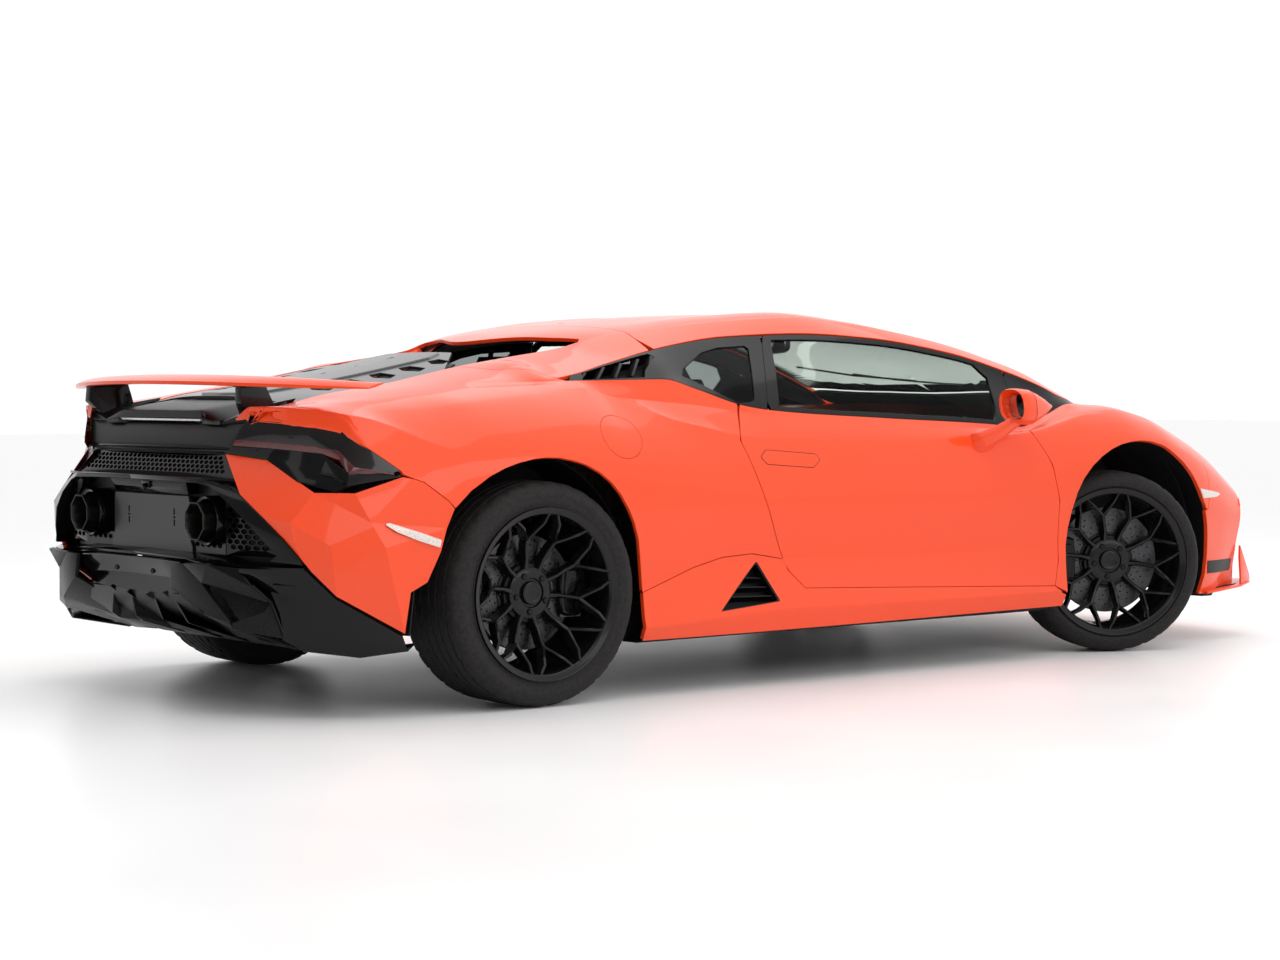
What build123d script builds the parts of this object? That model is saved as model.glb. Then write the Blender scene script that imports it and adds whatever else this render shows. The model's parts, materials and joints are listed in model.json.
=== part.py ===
from build123d import *
from collections import namedtuple
from math import sin, cos, radians
import os

# Mid-engined two-seat supercar, real size, in millimetres.
# Frame: +X towards the nose, +Y to the car's left, +Z up. The origin is on the
# ground under the centre of the car's bounding box.
os.makedirs("parts", exist_ok=True)

# ---- driving dimensions -------------------------------------------------
WHEELBASE = 2620.0
TAIL_X = -955.0            # rearmost point, measured from the rear axle
NOSE_X = 3612.0            # foremost point, measured from the rear axle
REAR_AXLE_X = -(TAIL_X + NOSE_X) / 2
FLOOR_Z = 168.0            # underside of the sills and floor

FRONT_TYRE_R, FRONT_TYRE_W, FRONT_TRACK = 327.5, 245.0, 1668.0
REAR_TYRE_R, REAR_TYRE_W, REAR_TRACK = 345.5, 305.0, 1620.0
RIM_R = 254.0              # bead seat of a 20 inch wheel
FLANGE_R = 266.0
DISC_R_FRONT, DISC_R_REAR = 190.0, 178.0
KINGPIN_Y = 800.0
STEER_REST = -28.0         # front wheels stand turned this far to the right

ARCH_REAR_X, ARCH_REAR_Z, ARCH_REAR_R = -15.0, 364.0, 400.0
ARCH_FRONT_X, ARCH_FRONT_Z, ARCH_FRONT_R = 2655.0, 375.0, 390.0
LINER_REAR_R, LINER_FRONT_R, LINER_T = 408.0, 405.0, 5.0
REAR_HOUSE_Y, FRONT_HOUSE_Y, LINER_Y = 600.0, 515.0, 835.0

GAP = 4.0                  # shut line of a fixed panel
MOVE_GAP = 8.0             # shut line of a door or lid
PANEL_T = 40.0             # wings, quarters and bumpers
LID_T = 30.0
DOOR_T = 85.0
ROOF_T = 34.0
GLASS_T = 6.0
FILLER_X, FILLER_Z, FILLER_R = 317.0, 827.0, 80.0
SEAT_Y, SEAT_W = 375.0, 460.0


def sx(x):
    """x measured from the rear axle, in the car's frame."""
    return x + REAR_AXLE_X


# ---- body sections ------------------------------------------------------
# One row per section across the car. x is from the rear axle. Each (y, z) pair is
# a corner of the half section, from the bottom edge up to the middle of the deck.
Body = namedtuple("Body", "x zb yb ys zs ym zm yh zh yd zd zc")
BODY = [
    #    x     zb   yb   ys   zs   ym     zm   yh   zh   yd   zd   zc
    Body(-900, 330, 420, 500, 400, 560.0, 600, 540, 800, 470, 868, 880),
    Body(-700, 230, 660, 740, 300, 800.0, 600, 770, 800, 620, 900, 925),
    Body(-450, 185, 800, 895, 270, 945.0, 600, 905, 830, 660, 955, 985),
    Body(0,    170, 850, 930, 260, 966.5, 590, 920, 850, 690, 985, 1050),
    Body(400,  168, 850, 932, 262, 955.0, 590, 905, 855, 730, 965, 1080),
    Body(860,  168, 850, 925, 265, 932.0, 590, 880, 845, 838, 890, 890),
    Body(1500, 168, 850, 922, 268, 926.0, 580, 875, 800, 848, 856, 856),
    Body(2180, 170, 850, 922, 265, 942.0, 570, 890, 790, 838, 822, 850),
    Body(2640, 174, 840, 915, 262, 955.0, 580, 905, 800, 640, 886, 915),
    Body(3020, 178, 800, 885, 262, 925.0, 560, 850, 735, 590, 800, 825),
    Body(3320, 182, 680, 770, 262, 810.0, 520, 690, 620, 480, 672, 690),
    Body(3520, 196, 460, 560, 262, 560.0, 470, 470, 540, 330, 570, 585),
    Body(3600, 220, 250, 320, 270, 300.0, 430, 240, 470, 150, 486, 494),
]
# Cabin sections: base of the side glass, rail over it, edge and middle of the roof.
Cabin = namedtuple("Cabin", "x z0 yg zg yr zr yt zt zc")
CABIN = [
    #     x     z0   yg   zg   yr   zr    yt   zt    zc
    Cabin(60,   900, 700, 930, 690, 975,  560, 1040, 1062),
    Cabin(300,  880, 740, 930, 712, 1010, 545, 1125, 1150),
    Cabin(600,  860, 800, 925, 675, 1090, 535, 1175, 1195),
    Cabin(1000, 820, 838, 868, 652, 1140, 530, 1198, 1215),
    Cabin(1600, 800, 845, 838, 655, 1130, 535, 1180, 1200),
    Cabin(2100, 790, 836, 830, 725, 1030, 600, 1062, 1092),
    Cabin(2470, 790, 812, 862, 800, 900,  700, 925,  958),
]


def body_points(s, t):
    """Full section polygon of the lower body, t inside the outer surface."""
    half = [(s.yb - t, s.zb + t), (s.ys - t, s.zs + t * 0.3), (s.ym - t, s.zm),
            (s.yh - t, s.zh - t * 0.4), (s.yd - t * 0.6, s.zd - t), (0.0, s.zc - t)]
    return [(0.0, s.zb + t)] + half + [(-y, z) for y, z in reversed(half[:-1])]


def cabin_points(s, t):
    half = [(s.yg - t, s.z0), (s.yg - t, s.zg), (s.yr - t, s.zr - t * 0.2),
            (s.yt - t * 0.5, s.zt - t), (0.0, s.zc - t)]
    return [(0.0, s.z0)] + half + [(-y, z) for y, z in reversed(half[:-1])]


def loft_rows(rows, points, t=0.0, ends=(0.0, 0.0)):
    """Ruled loft through the rows. The first and last section move by ends."""
    with BuildPart() as made:
        for i, row in enumerate(rows):
            x = row.x + (ends[0] if i == 0 else ends[1] if i == len(rows) - 1 else 0.0)
            with BuildSketch(Plane.YZ.offset(sx(x))):
                with BuildLine():
                    Polyline(*points(row, t), close=True)
                make_face()
        loft(ruled=True)
    return made.part


def side_prism(points, y0, y1, taper=0.0):
    """Outline in x (from the rear axle) and z, extruded from y0 to y1."""
    with BuildPart() as made:
        with BuildSketch(Plane.XZ.offset(-y0)):
            with BuildLine():
                Polyline(*[(sx(x), z) for x, z in points], close=True)
            make_face()
        extrude(amount=y0 - y1, taper=taper)
    return made.part


def plan_prism(points, z0, z1):
    """Outline in x (from the rear axle) and y, extruded from z0 to z1."""
    with BuildPart() as made:
        with BuildSketch(Plane.XY.offset(z0)):
            with BuildLine():
                Polyline(*[(sx(x), y) for x, y in points], close=True)
            make_face()
        extrude(amount=z1 - z0)
    return made.part


def cross_prism(points, x0, x1):
    """Outline in y and z, extruded from x0 to x1 (from the rear axle)."""
    with BuildPart() as made:
        with BuildSketch(Plane.YZ.offset(sx(x0))):
            with BuildLine():
                Polyline(*points, close=True)
            make_face()
        extrude(amount=x1 - x0)
    return made.part


def block(x0, x1, y0, y1, z0, z1):
    return plan_prism([(x0, y0), (x1, y0), (x1, y1), (x0, y1)], z0, z1)


def both_sides(points):
    """Half plan outline from the centre line out and back, made whole."""
    return points + [(x, -y) for x, y in reversed(points) if y > 0]


def arch_cut(x, z, r, y0, y1):
    """Wheel arch: a round top with straight sides below it."""
    with BuildPart() as made:
        with BuildSketch(Plane.XZ.offset(-y0)):
            with Locations((sx(x), z)):
                Circle(r)
            with Locations((sx(x), z - r / 2)):
                Rectangle(2 * r, r)
        extrude(amount=y0 - y1)
    return made.part


def mirrored(part):
    with BuildPart() as made:
        mirror(part, about=Plane.XZ)
    return made.part


def carve(base, keep=(), take=()):
    """base, kept inside each of keep, less each of take."""
    with BuildPart() as made:
        add(base)
        for k in keep:
            add(k, mode=Mode.INTERSECT)
        for t in take:
            add(t, mode=Mode.SUBTRACT)
    return made.part


def pair(part):
    with BuildPart() as made:
        add(part)
        mirror(part, about=Plane.XZ)
    return made.part


def save(part, name):
    part.label = name
    export_step(part, f"parts/{name}.step")
    print(name, len(part.solids()), round(part.volume / 1e6, 3), "litres")


OUTER = loft_rows(BODY, body_points)
INNER = loft_rows(BODY, body_points, PANEL_T, (PANEL_T, -PANEL_T))
INNER_LID = loft_rows(BODY, body_points, LID_T, (LID_T, -LID_T))
INNER_CLEAR = loft_rows(BODY, body_points, PANEL_T + 6, (PANEL_T, -PANEL_T))
OUTER_CLEAR = loft_rows(BODY, body_points, -GAP)
DOOR_INNER = loft_rows(BODY[4:9], body_points, DOOR_T)
CABIN_OUTER = loft_rows(CABIN, cabin_points)
CABIN_INNER = loft_rows(CABIN, cabin_points, ROOF_T, (-5.0, 5.0))
CABIN_CLEAR = loft_rows(CABIN, cabin_points, -GAP)
SHELL = carve(OUTER, take=[INNER])

ARCH_REAR = arch_cut(ARCH_REAR_X, ARCH_REAR_Z, ARCH_REAR_R, 500, 1100)
ARCH_FRONT = arch_cut(ARCH_FRONT_X, ARCH_FRONT_Z, ARCH_FRONT_R, 480, 1100)

# ---- outlines, x from the rear axle -------------------------------------
DOOR_OUTLINE = [(2125, 815), (2200, 720), (2240, 620), (2250, 500), (2248, 350), (2226, 262),
                (1064, 300), (1000, 371), (806, 790), (850, 892), (1500, 864), (1975, 836), (2110, 826)]
# the same, grown by the shut line
DOOR_HOLE = [(2137, 826), (2209, 725), (2248, 624), (2258, 500), (2256, 348), (2232, 254),
             (1060, 292), (993, 366), (797, 789), (843, 905), (1500, 872), (1975, 846), (2118, 838)]
GLASS_OUTLINE = [(2050, 842), (1985, 846), (1500, 872), (905, 905), (912, 1118), (1000, 1128),
                 (1280, 1132), (1600, 1117), (1820, 1076), (1960, 1020)]
GLASS_HOLE = [(2100, 780), (905, 780), (897, 905), (904, 1126), (1000, 1137),
              (1280, 1141), (1602, 1126), (1824, 1085), (1970, 1034)]
QUARTER_OUTLINE = [(880, 925), (886, 1108), (690, 1088), (500, 1046), (360, 1002), (560, 1000)]
QUARTER_HOLE = [(884, 915), (890, 1114), (688, 1094), (497, 1052), (340, 997), (558, 994)]
SILL_OUTLINE = [(405, 100), (2240, 100), (2240, 249), (1058, 287), (900, 287), (405, 262)]
SILL_HOLE = [(300, 100), (2300, 100), (2300, 251), (1056, 291), (898, 291), (401, 266), (300, 266)]
WINDSCREEN_OUTLINE = both_sides([(1600, 505), (2110, 568), (2440, 660)])
WINDSCREEN_HOLE = both_sides([(1596, 510), (2110, 573), (2445, 666)])
HOOD_OUTLINE = both_sides([(2482, 540), (2640, 570), (3000, 500), (3300, 330), (3320, 200)])
HOOD_HOLE = both_sides([(2474, 547), (2640, 578), (3003, 508), (3306, 337), (3328, 203)])
LAMP_OUTLINE = [(3130, 520), (3110, 610), (3130, 720), (3270, 690), (3400, 570), (3420, 480), (3330, 440)]
LAMP_HOLE = [(3126, 514), (3105, 610), (3127, 727), (3275, 695), (3406, 574), (3427, 476), (3331, 434)]
LID_Y, LID_FRONT, LID_REAR = 435.0, 556.0, -596.0
LID_PROFILE = [(LID_FRONT, 1158), (300, 1120), (60, 1072), (-300, 1030), (LID_REAR, 985),
               (LID_REAR, 955), (-300, 1000), (60, 1042), (300, 1090), (LID_FRONT, 1128)]
LID_HOLE = block(LID_REAR - 8, LID_FRONT + 8, -LID_Y - 8, LID_Y + 8, 860, 1400)

# ---- doors, with glass and mirrors --------------------------------------
door = carve(OUTER, keep=[side_prism(DOOR_OUTLINE, 962, 762, taper=8)], take=[DOOR_INNER])
save(door, "door_left")
save(mirrored(door), "door_right")

GLASS_OUT = loft_rows(CABIN[2:], cabin_points, 10.0)
GLASS_IN = loft_rows(CABIN[2:], cabin_points, 10.0 + GLASS_T)
glass = carve(GLASS_OUT, keep=[side_prism(GLASS_OUTLINE, 1100, 400)], take=[GLASS_IN])
save(glass, "door_glass_left")
save(mirrored(glass), "door_glass_right")

# mirror head on a stalk that stands on the door skin
MIRROR_X, MIRROR_Y, MIRROR_Z = 1985.0, 1020.0, 895.0
# columns: x from the head's middle, centre y, centre z, width, height
HEAD_ROWS = [(-70, 1020, 895, 196, 118), (40, 1018, 895, 184, 106), (150, 990, 890, 84, 44)]
with BuildPart() as mirror_left:
    for dx, cy, cz, w, h in HEAD_ROWS:
        with BuildSketch(Plane.YZ.offset(sx(MIRROR_X + dx))):
            with Locations((cy, cz)):
                Rectangle(w, h)
    loft(ruled=True)
    with BuildSketch(Plane.XZ.offset(-960)):
        with BuildLine():
            Polyline((sx(1925), 846), (sx(2015), 846), (sx(1850), 735), (sx(1790), 735), close=True)
        make_face()
    extrude(amount=110)
    add(OUTER, mode=Mode.SUBTRACT)
save(mirror_left.part, "mirror_left")
save(mirrored(mirror_left.part), "mirror_right")

# ---- lids ----------------------------------------------------------------
hood = carve(OUTER, keep=[plan_prism(HOOD_OUTLINE, 540, 1200)], take=[INNER_LID])
save(hood, "hood")
save(side_prism(LID_PROFILE, LID_Y, -LID_Y), "engine_cover")

# fuel flap in the right rear quarter, and the shallow cup behind it
with BuildPart() as filler_cut:
    with BuildSketch(Plane.XZ.offset(800)):
        with Locations((sx(FILLER_X), FILLER_Z)):
            Circle(FILLER_R + 6)
    extrude(amount=250)
    add(loft_rows(BODY, body_points, 28.0), mode=Mode.SUBTRACT)
with BuildPart() as fuel_flap:
    with BuildSketch(Plane.XZ.offset(800)):
        with Locations((sx(FILLER_X), FILLER_Z)):
            Circle(FILLER_R)
    extrude(amount=250)
    add(OUTER, mode=Mode.INTERSECT)
    add(loft_rows(BODY, body_points, 10.0), mode=Mode.SUBTRACT)
save(fuel_flap.part, "fuel_flap")

# ---- fixed skins ---------------------------------------------------------
DOOR_CUT = side_prism(DOOR_HOLE, 400, 1100)
SILL_CUT = side_prism(SILL_HOLE, 700, 1100)
quarter = carve(SHELL,
                keep=[plan_prism([(-450, 443), (60, 443), (560, 560), (1070, 600), (1070, 1100), (-450, 1100)], 100, 1300)],
                take=[DOOR_CUT, SILL_CUT, ARCH_REAR, CABIN_CLEAR, LID_HOLE, block(-460, 1080, 0, 838, 0, 720),
                      block(990, 1080, 400, 1100, 100, 1300)])
save(quarter, "rear_quarter_left")
save(carve(mirrored(quarter), take=[filler_cut.part]), "rear_quarter_right")

HOOD_CUT = plan_prism(HOOD_HOLE, 530, 1300)
LAMP_CUT = plan_prism(LAMP_HOLE, 480, 1000)
fender = carve(SHELL,
               keep=[plan_prism([(2100, 560), (2480, 560), (2480, 400), (3066, 400), (3066, 1100), (2100, 1100)], 100, 1300)],
               take=[DOOR_CUT, SILL_CUT, ARCH_FRONT, CABIN_CLEAR, HOOD_CUT, block(2090, 3080, 0, 838, 0, 700)])
save(fender, "front_fender_left")
save(mirrored(fender), "front_fender_right")

sill = carve(OUTER, keep=[side_prism(SILL_OUTLINE, 780, 1100)])
with BuildPart() as side_sills:
    add(sill)
    with BuildSketch(Plane.XY.offset(FLOOR_Z - 8)):
        with Locations((sx(620), 820), (sx(2120), 820)):
            Circle(32)
    extrude(amount=14)
    mirror(about=Plane.XZ)
save(side_sills.part, "side_sills")

roof = carve(CABIN_OUTER,
             take=[CABIN_INNER, OUTER_CLEAR, LID_HOLE, plan_prism(WINDSCREEN_HOLE, 800, 1400),
                   side_prism(GLASS_HOLE, 1100, -1100), side_prism(QUARTER_HOLE, 1100, -1100), DOOR_CUT, mirrored(DOOR_CUT)])
save(roof, "roof")
save(carve(loft_rows(CABIN, cabin_points, 8.0), keep=[plan_prism(WINDSCREEN_OUTLINE, 800, 1400)],
           take=[loft_rows(CABIN, cabin_points, 8.0 + GLASS_T)]), "windscreen")
save(pair(carve(loft_rows(CABIN, cabin_points, 8.0),
                keep=[side_prism(QUARTER_OUTLINE, 1100, 400)],
                take=[loft_rows(CABIN, cabin_points, 8.0 + GLASS_T)])), "quarter_windows")

bumper = carve(SHELL, keep=[block(3072, 3700, -1100, 1100, 100, 1300)],
               take=[HOOD_CUT, LAMP_CUT, mirrored(LAMP_CUT)])
save(bumper, "front_bumper")
save(pair(carve(OUTER, keep=[plan_prism(LAMP_OUTLINE, 485, 1000)], take=[INNER])), "headlights")
save(plan_prism(both_sides([(3085, 780), (3400, 650), (3560, 420), (3612, 200)]), 158, 174), "front_splitter")

TAIL_LAMP = block(-830, -462, 575, 950, 780, 846)
TAIL_LAMP_HOLE = block(-900, -400, 571, 960, 776, 850)
FASCIA_Y, FASCIA_Z0, FASCIA_Z1 = 506.0, 462.0, 770.0
rear_bumper = carve(SHELL, keep=[block(-1000, -456, -1100, 1100, 100, 782)],
                    take=[TAIL_LAMP_HOLE, mirrored(TAIL_LAMP_HOLE),
                          block(-1000, -856, -FASCIA_Y, FASCIA_Y, FASCIA_Z0, FASCIA_Z1),
                          block(-1000, -550, -482, 482, 100, 345)])
save(rear_bumper, "rear_bumper")
rear_deck = carve(SHELL, keep=[block(-1000, -456, -1100, 1100, 786, 1300)],
                  take=[TAIL_LAMP_HOLE, mirrored(TAIL_LAMP_HOLE), LID_HOLE])
save(rear_deck, "rear_deck")
save(pair(carve(OUTER, keep=[TAIL_LAMP], take=[INNER_LID])), "tail_lights")

EXHAUST_Y, EXHAUST_Z, EXHAUST_R = 384.0, 578.0, 64.0
PLATE_HOLES_Y = 100.0
with BuildPart() as rear_fascia:
    add(block(-898, -864, -FASCIA_Y + 3, FASCIA_Y - 3, FASCIA_Z0 + 3, FASCIA_Z1 - 3))
    add(block(-910, -886, -262, 262, 535, 690), mode=Mode.SUBTRACT)
    with BuildSketch(Plane.YZ.offset(sx(-920))):
        with Locations((EXHAUST_Y, EXHAUST_Z), (-EXHAUST_Y, EXHAUST_Z)):
            RegularPolygon(EXHAUST_R + 12, 6)
        with Locations((PLATE_HOLES_Y, 612), (-PLATE_HOLES_Y, 612)):
            Circle(3.3)
    extrude(amount=80, mode=Mode.SUBTRACT)
save(rear_fascia.part, "rear_fascia")

with BuildPart() as exhaust_tips:
    with BuildSketch(Plane.YZ.offset(sx(-912))):
        with Locations((EXHAUST_Y, EXHAUST_Z), (-EXHAUST_Y, EXHAUST_Z)):
            RegularPolygon(EXHAUST_R, 6)
    extrude(amount=152)
    with BuildSketch(Plane.YZ.offset(sx(-912))):
        with Locations((EXHAUST_Y, EXHAUST_Z), (-EXHAUST_Y, EXHAUST_Z)):
            RegularPolygon(EXHAUST_R - 6, 6)
    extrude(amount=140, mode=Mode.SUBTRACT)
save(exhaust_tips.part, "exhaust_tips")

# diffuser: a rising floor with a row of upright fins, and a block at each side
FIN_Y, FIN_T = (60, 150, 240, 330, 420), 12.0
with BuildPart() as rear_diffuser:
    add(side_prism([(-955, 318), (-955, 338), (-700, 330), (-556, 205), (-556, 180), (-600, 190)], 474, -474))
    for y in FIN_Y:
        for s in (-1, 1):
            add(side_prism([(-948, 325), (-930, 215), (-860, 172), (-640, 172), (-560, 190), (-700, 300)],
                           s * y + FIN_T / 2, s * y - FIN_T / 2))
save(rear_diffuser.part, "rear_diffuser")

# rear wing: a thin blade with its tips swept forward, on two posts
with BuildPart() as rear_wing:
    for y, x0, x1, z in [(-820, -770, -600, 978), (-480, -860, -680, 1000), (0, -900, -700, 1004),
                         (480, -860, -680, 1000), (820, -770, -600, 978)]:
        with BuildSketch(Plane.XZ.offset(-y)):
            with BuildLine():
                Polyline((sx(x0), z + 10), (sx(x0), z - 2), (sx(x1), z - 12), (sx(x1), z - 4), close=True)
            make_face()
    loft(ruled=True)
    for s in (-1, 1):
        add(side_prism([(-850, 1002), (-700, 992), (-650, 935), (-660, 880), (-780, 880), (-790, 930)],
                       s * 478 + 9, s * 478 - 9))
    add(OUTER_CLEAR, mode=Mode.SUBTRACT)
save(rear_wing.part, "rear_wing")

# ---- inner structure ------------------------------------------------------
with BuildPart() as floor_pan:
    add(block(410, 2236, -775, 775, FLOOR_Z + 4, FLOOR_Z + 32))
    add(block(860, 2000, -105, 105, FLOOR_Z + 20, 430))
    add(block(2236, 3060, -468, 468, FLOOR_Z + 20, FLOOR_Z + 32))
    add(block(-446, 410, -490, 490, 200, 216))
    add(block(400, 420, -490, 490, FLOOR_Z + 4, 216))
floor_part = carve(floor_pan.part, keep=[loft_rows(BODY, body_points, 2.0)])
save(floor_part, "floor_pan")
with BuildPart() as front_trunk:
    add(block(2500, 3180, -420, 420, 300, 1000))
    add(loft_rows(BODY, body_points, 52.0), mode=Mode.INTERSECT)
    add(block(2508, 3172, -412, 412, 308, 1000), mode=Mode.SUBTRACT)
save(front_trunk.part, "front_trunk_tub")

BULKHEAD_X = 800.0
with BuildPart() as rear_bulkhead:
    add(cross_prism([(-760, 204), (760, 204), (760, 840), (560, 1080), (-560, 1080), (-760, 840)],
                    BULKHEAD_X, BULKHEAD_X + 30))
    add(block(BULKHEAD_X - 5, BULKHEAD_X + 40, -340, 340, 880, 1060), mode=Mode.SUBTRACT)
save(rear_bulkhead.part, "rear_bulkhead")
save(block(BULKHEAD_X + 12, BULKHEAD_X + 18, -338, 338, 882, 1058), "rear_window")

with BuildPart() as engine:
    add(block(60, 770, -330, 330, 240, 820))
    add(block(-520, 80, -190, 190, 240, 520))
save(engine.part, "engine")

# the steering wheel's middle, and its axis towards the driver
WHEEL_X, WHEEL_Z = 1755.0, 735.0
COLUMN = (-0.92070, 0.0, 0.39030)
with BuildPart() as dashboard:
    add(side_prism([(1960, 560), (2060, 500), (2190, 520), (2205, 770), (2060, 800), (1910, 760), (1880, 650)], 690, -690))
    # column housing behind the steering wheel
    with BuildSketch(Plane(origin=(sx(WHEEL_X) - 200 * COLUMN[0], SEAT_Y, WHEEL_Z - 200 * COLUMN[2]), z_dir=COLUMN)):
        Circle(38)
    extrude(amount=178)
save(dashboard.part, "dashboard")

# steering wheel: rim, three spokes and a centre pad, flat at the bottom
with BuildPart() as steering_wheel:
    with BuildSketch(Plane(origin=(sx(WHEEL_X), SEAT_Y, WHEEL_Z), x_dir=(0, 1, 0), z_dir=COLUMN)):
        Circle(184)
        Circle(158, mode=Mode.SUBTRACT)
        Rectangle(340, 34)
        with Locations((0, 85)):
            Rectangle(34, 150)
        Circle(52)
    extrude(amount=13, both=True)
save(steering_wheel.part, "steering_wheel")

with BuildPart() as seat:
    add(side_prism([(1090, 204), (1540, 204), (1590, 380), (1500, 405), (1230, 350), (1040, 860), (975, 1020),
                    (890, 1010), (880, 860), (1040, 300)], SEAT_Y + SEAT_W / 2, SEAT_Y - SEAT_W / 2))
    add(side_prism([(1260, 380), (1480, 440), (1600, 440), (1600, 1100), (1080, 1100), (1070, 860)],
                    SEAT_Y + 150, SEAT_Y - 150), mode=Mode.SUBTRACT)
save(pair(seat.part), "seats")

# wheel houses
def liner(x, z, r, y_in):
    with BuildPart() as made:
        add(arch_cut(x, z, r + LINER_T, y_in, LINER_Y))
        add(arch_cut(x, z, r, y_in + LINER_T, LINER_Y + 1), mode=Mode.SUBTRACT)
        add(block(x - 600, x + 600, 0, 1100, -400, 222), mode=Mode.SUBTRACT)
        # way in for the suspension arms and the drive shaft
        add(block(x - 250, x + 190, y_in - 20, y_in + 20, 180, 560), mode=Mode.SUBTRACT)
        add(INNER_CLEAR, mode=Mode.INTERSECT)
    return made.part


with BuildPart() as wheel_arch_liners:
    add(liner(ARCH_FRONT_X, ARCH_FRONT_Z, LINER_FRONT_R, FRONT_HOUSE_Y))
    add(liner(ARCH_REAR_X, ARCH_REAR_Z, LINER_REAR_R, REAR_HOUSE_Y))
    mirror(about=Plane.XZ)
save(wheel_arch_liners.part, "wheel_arch_liners")

# ---- wheels, brakes and suspension ---------------------------------------
# Each wheel is made on its own frame: the axle along +Z and pointing out of the
# car, +Y up. Depths are measured outwards from the tyre's middle.
def wheel_plane(x, y, z, turn=0.0, pivot_y=None):
    """Frame of a left wheel, turned about its kingpin."""
    py = y if pivot_y is None else pivot_y
    a = radians(turn)
    ox, oy = x - (y - py) * sin(a), py + (y - py) * cos(a)
    return Plane(origin=(ox, oy, z), x_dir=(-cos(a), -sin(a), 0), z_dir=(-sin(a), cos(a), 0))


# tyre radius and width, depth of the hub's outer face, disc radius and its middle
Wheel = namedtuple("Wheel", "tyre_r tyre_w face disc_r disc_d")
FRONT_WHEEL = Wheel(FRONT_TYRE_R, FRONT_TYRE_W, 52.0, DISC_R_FRONT, 0.0)
REAR_WHEEL = Wheel(REAR_TYRE_R, REAR_TYRE_W, 62.0, DISC_R_REAR, 10.0)
DISC_T = 30.0
CALIPER_R = 224.0


def tyre_part(w, plane):
    r, h = w.tyre_r, w.tyre_w / 2
    with BuildPart() as made:
        with BuildSketch(Plane.XZ):
            with BuildLine():
                Polyline((RIM_R + 1, -h + 19), (FLANGE_R + 4, -h + 9), (r - 42, -h), (r - 14, -h + 8), (r, -h + 26),
                         (r, h - 26), (r - 14, h - 8), (r - 42, h), (FLANGE_R + 4, h - 9), (RIM_R + 1, h - 19), close=True)
            make_face()
        revolve(axis=Axis.Z)
    return plane.from_local_coords(made.part)


def wheel_part(w, plane):
    """Rim barrel, hub, ten arms that rise to the rim's edge, and the disc on its bell."""
    h = w.tyre_w / 2
    with BuildPart() as arm:
        with BuildSketch(Plane.XZ.offset(-9.5)):
            with BuildLine():
                Polyline((60, w.face - 24), (60, w.face + 4), (150, w.face + 8), (238, h - 12), (238, h - 42),
                         (150, w.face - 18), close=True)
            make_face()
        extrude(amount=19)
    with BuildPart() as made:
        with BuildSketch(Plane.XZ):
            with BuildLine():
                Polyline((RIM_R, -h + 17), (FLANGE_R, -h + 5), (FLANGE_R, -h), (RIM_R - 12, -h), (RIM_R - 20, -h + 30),
                         (RIM_R - 24, h - 40), (RIM_R - 14, h - 2), (FLANGE_R, h - 2), (FLANGE_R, h - 5), (RIM_R, h - 17),
                         close=True)
            make_face()
        revolve(axis=Axis.Z)
        with PolarLocations(0, 10):
            add(arm.part)
        # hub, bell and brake disc
        with BuildSketch(Plane.XY.offset(w.disc_d - DISC_T / 2)):
            Circle(72)
        extrude(amount=w.face + 4 - w.disc_d + DISC_T / 2)
        with BuildSketch(Plane.XY.offset(w.disc_d - DISC_T / 2)):
            Circle(w.disc_r)
        extrude(amount=DISC_T)
    return plane.from_local_coords(made.part)


def carrier_part(w, plane, arm_z, lead):
    """Upright and brake caliper, in the wheel's frame. lead is the caliper's side of the hub."""
    back = w.disc_d - DISC_T / 2 - 6
    with BuildPart() as made:
        with BuildSketch(Plane.XY.offset(back - 40)):
            Circle(62)
            Rectangle(56, 2 * arm_z)
            with BuildLine():
                Polyline((lead * 40, -50), (lead * 200, -46), (lead * 214, 0), (lead * 200, 46), (lead * 40, 50), close=True)
            make_face()
        extrude(amount=40)
        # caliper round the disc's edge
        with BuildSketch(Plane.XY.offset(back - 20)):
            with BuildLine():
                Polyline((lead * 130, -84), (lead * 206, -84), (lead * CALIPER_R, 0), (lead * 206, 84), (lead * 130, 84),
                         (lead * 122, 0), close=True)
            make_face()
        extrude(amount=DISC_T + 12 + 20 + 6)
        with BuildSketch(Plane.XY.offset(back)):
            Circle(w.disc_r + 6)
        extrude(amount=DISC_T + 12, mode=Mode.SUBTRACT)
    return plane.from_local_coords(made.part)


FRONT_AXLE_X = REAR_AXLE_X + WHEELBASE
ends = [("left", 1), ("right", -1)]
for side, s in ends:
    front = wheel_plane(FRONT_AXLE_X, FRONT_TRACK / 2, FRONT_TYRE_R, STEER_REST * s, KINGPIN_Y)
    rear = wheel_plane(REAR_AXLE_X, REAR_TRACK / 2, REAR_TYRE_R)
    made = [(tyre_part(FRONT_WHEEL, front), "tyre_front_"), (wheel_part(FRONT_WHEEL, front), "wheel_front_"),
            (tyre_part(REAR_WHEEL, rear), "tyre_rear_"), (wheel_part(REAR_WHEEL, rear), "wheel_rear_"),
            (carrier_part(FRONT_WHEEL, front, 130, 1), "front_knuckle_")]
    for part, name in made:
        save(part if s > 0 else mirrored(part), name + side)
rear = wheel_plane(REAR_AXLE_X, REAR_TRACK / 2, REAR_TYRE_R)
save(pair(carrier_part(REAR_WHEEL, rear, 130, -1)), "rear_knuckles")

# wishbones: a stem from the upright that spreads into a V at the body, above and below
ARM_Z, ARM_T = 138.0, 20.0


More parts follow.
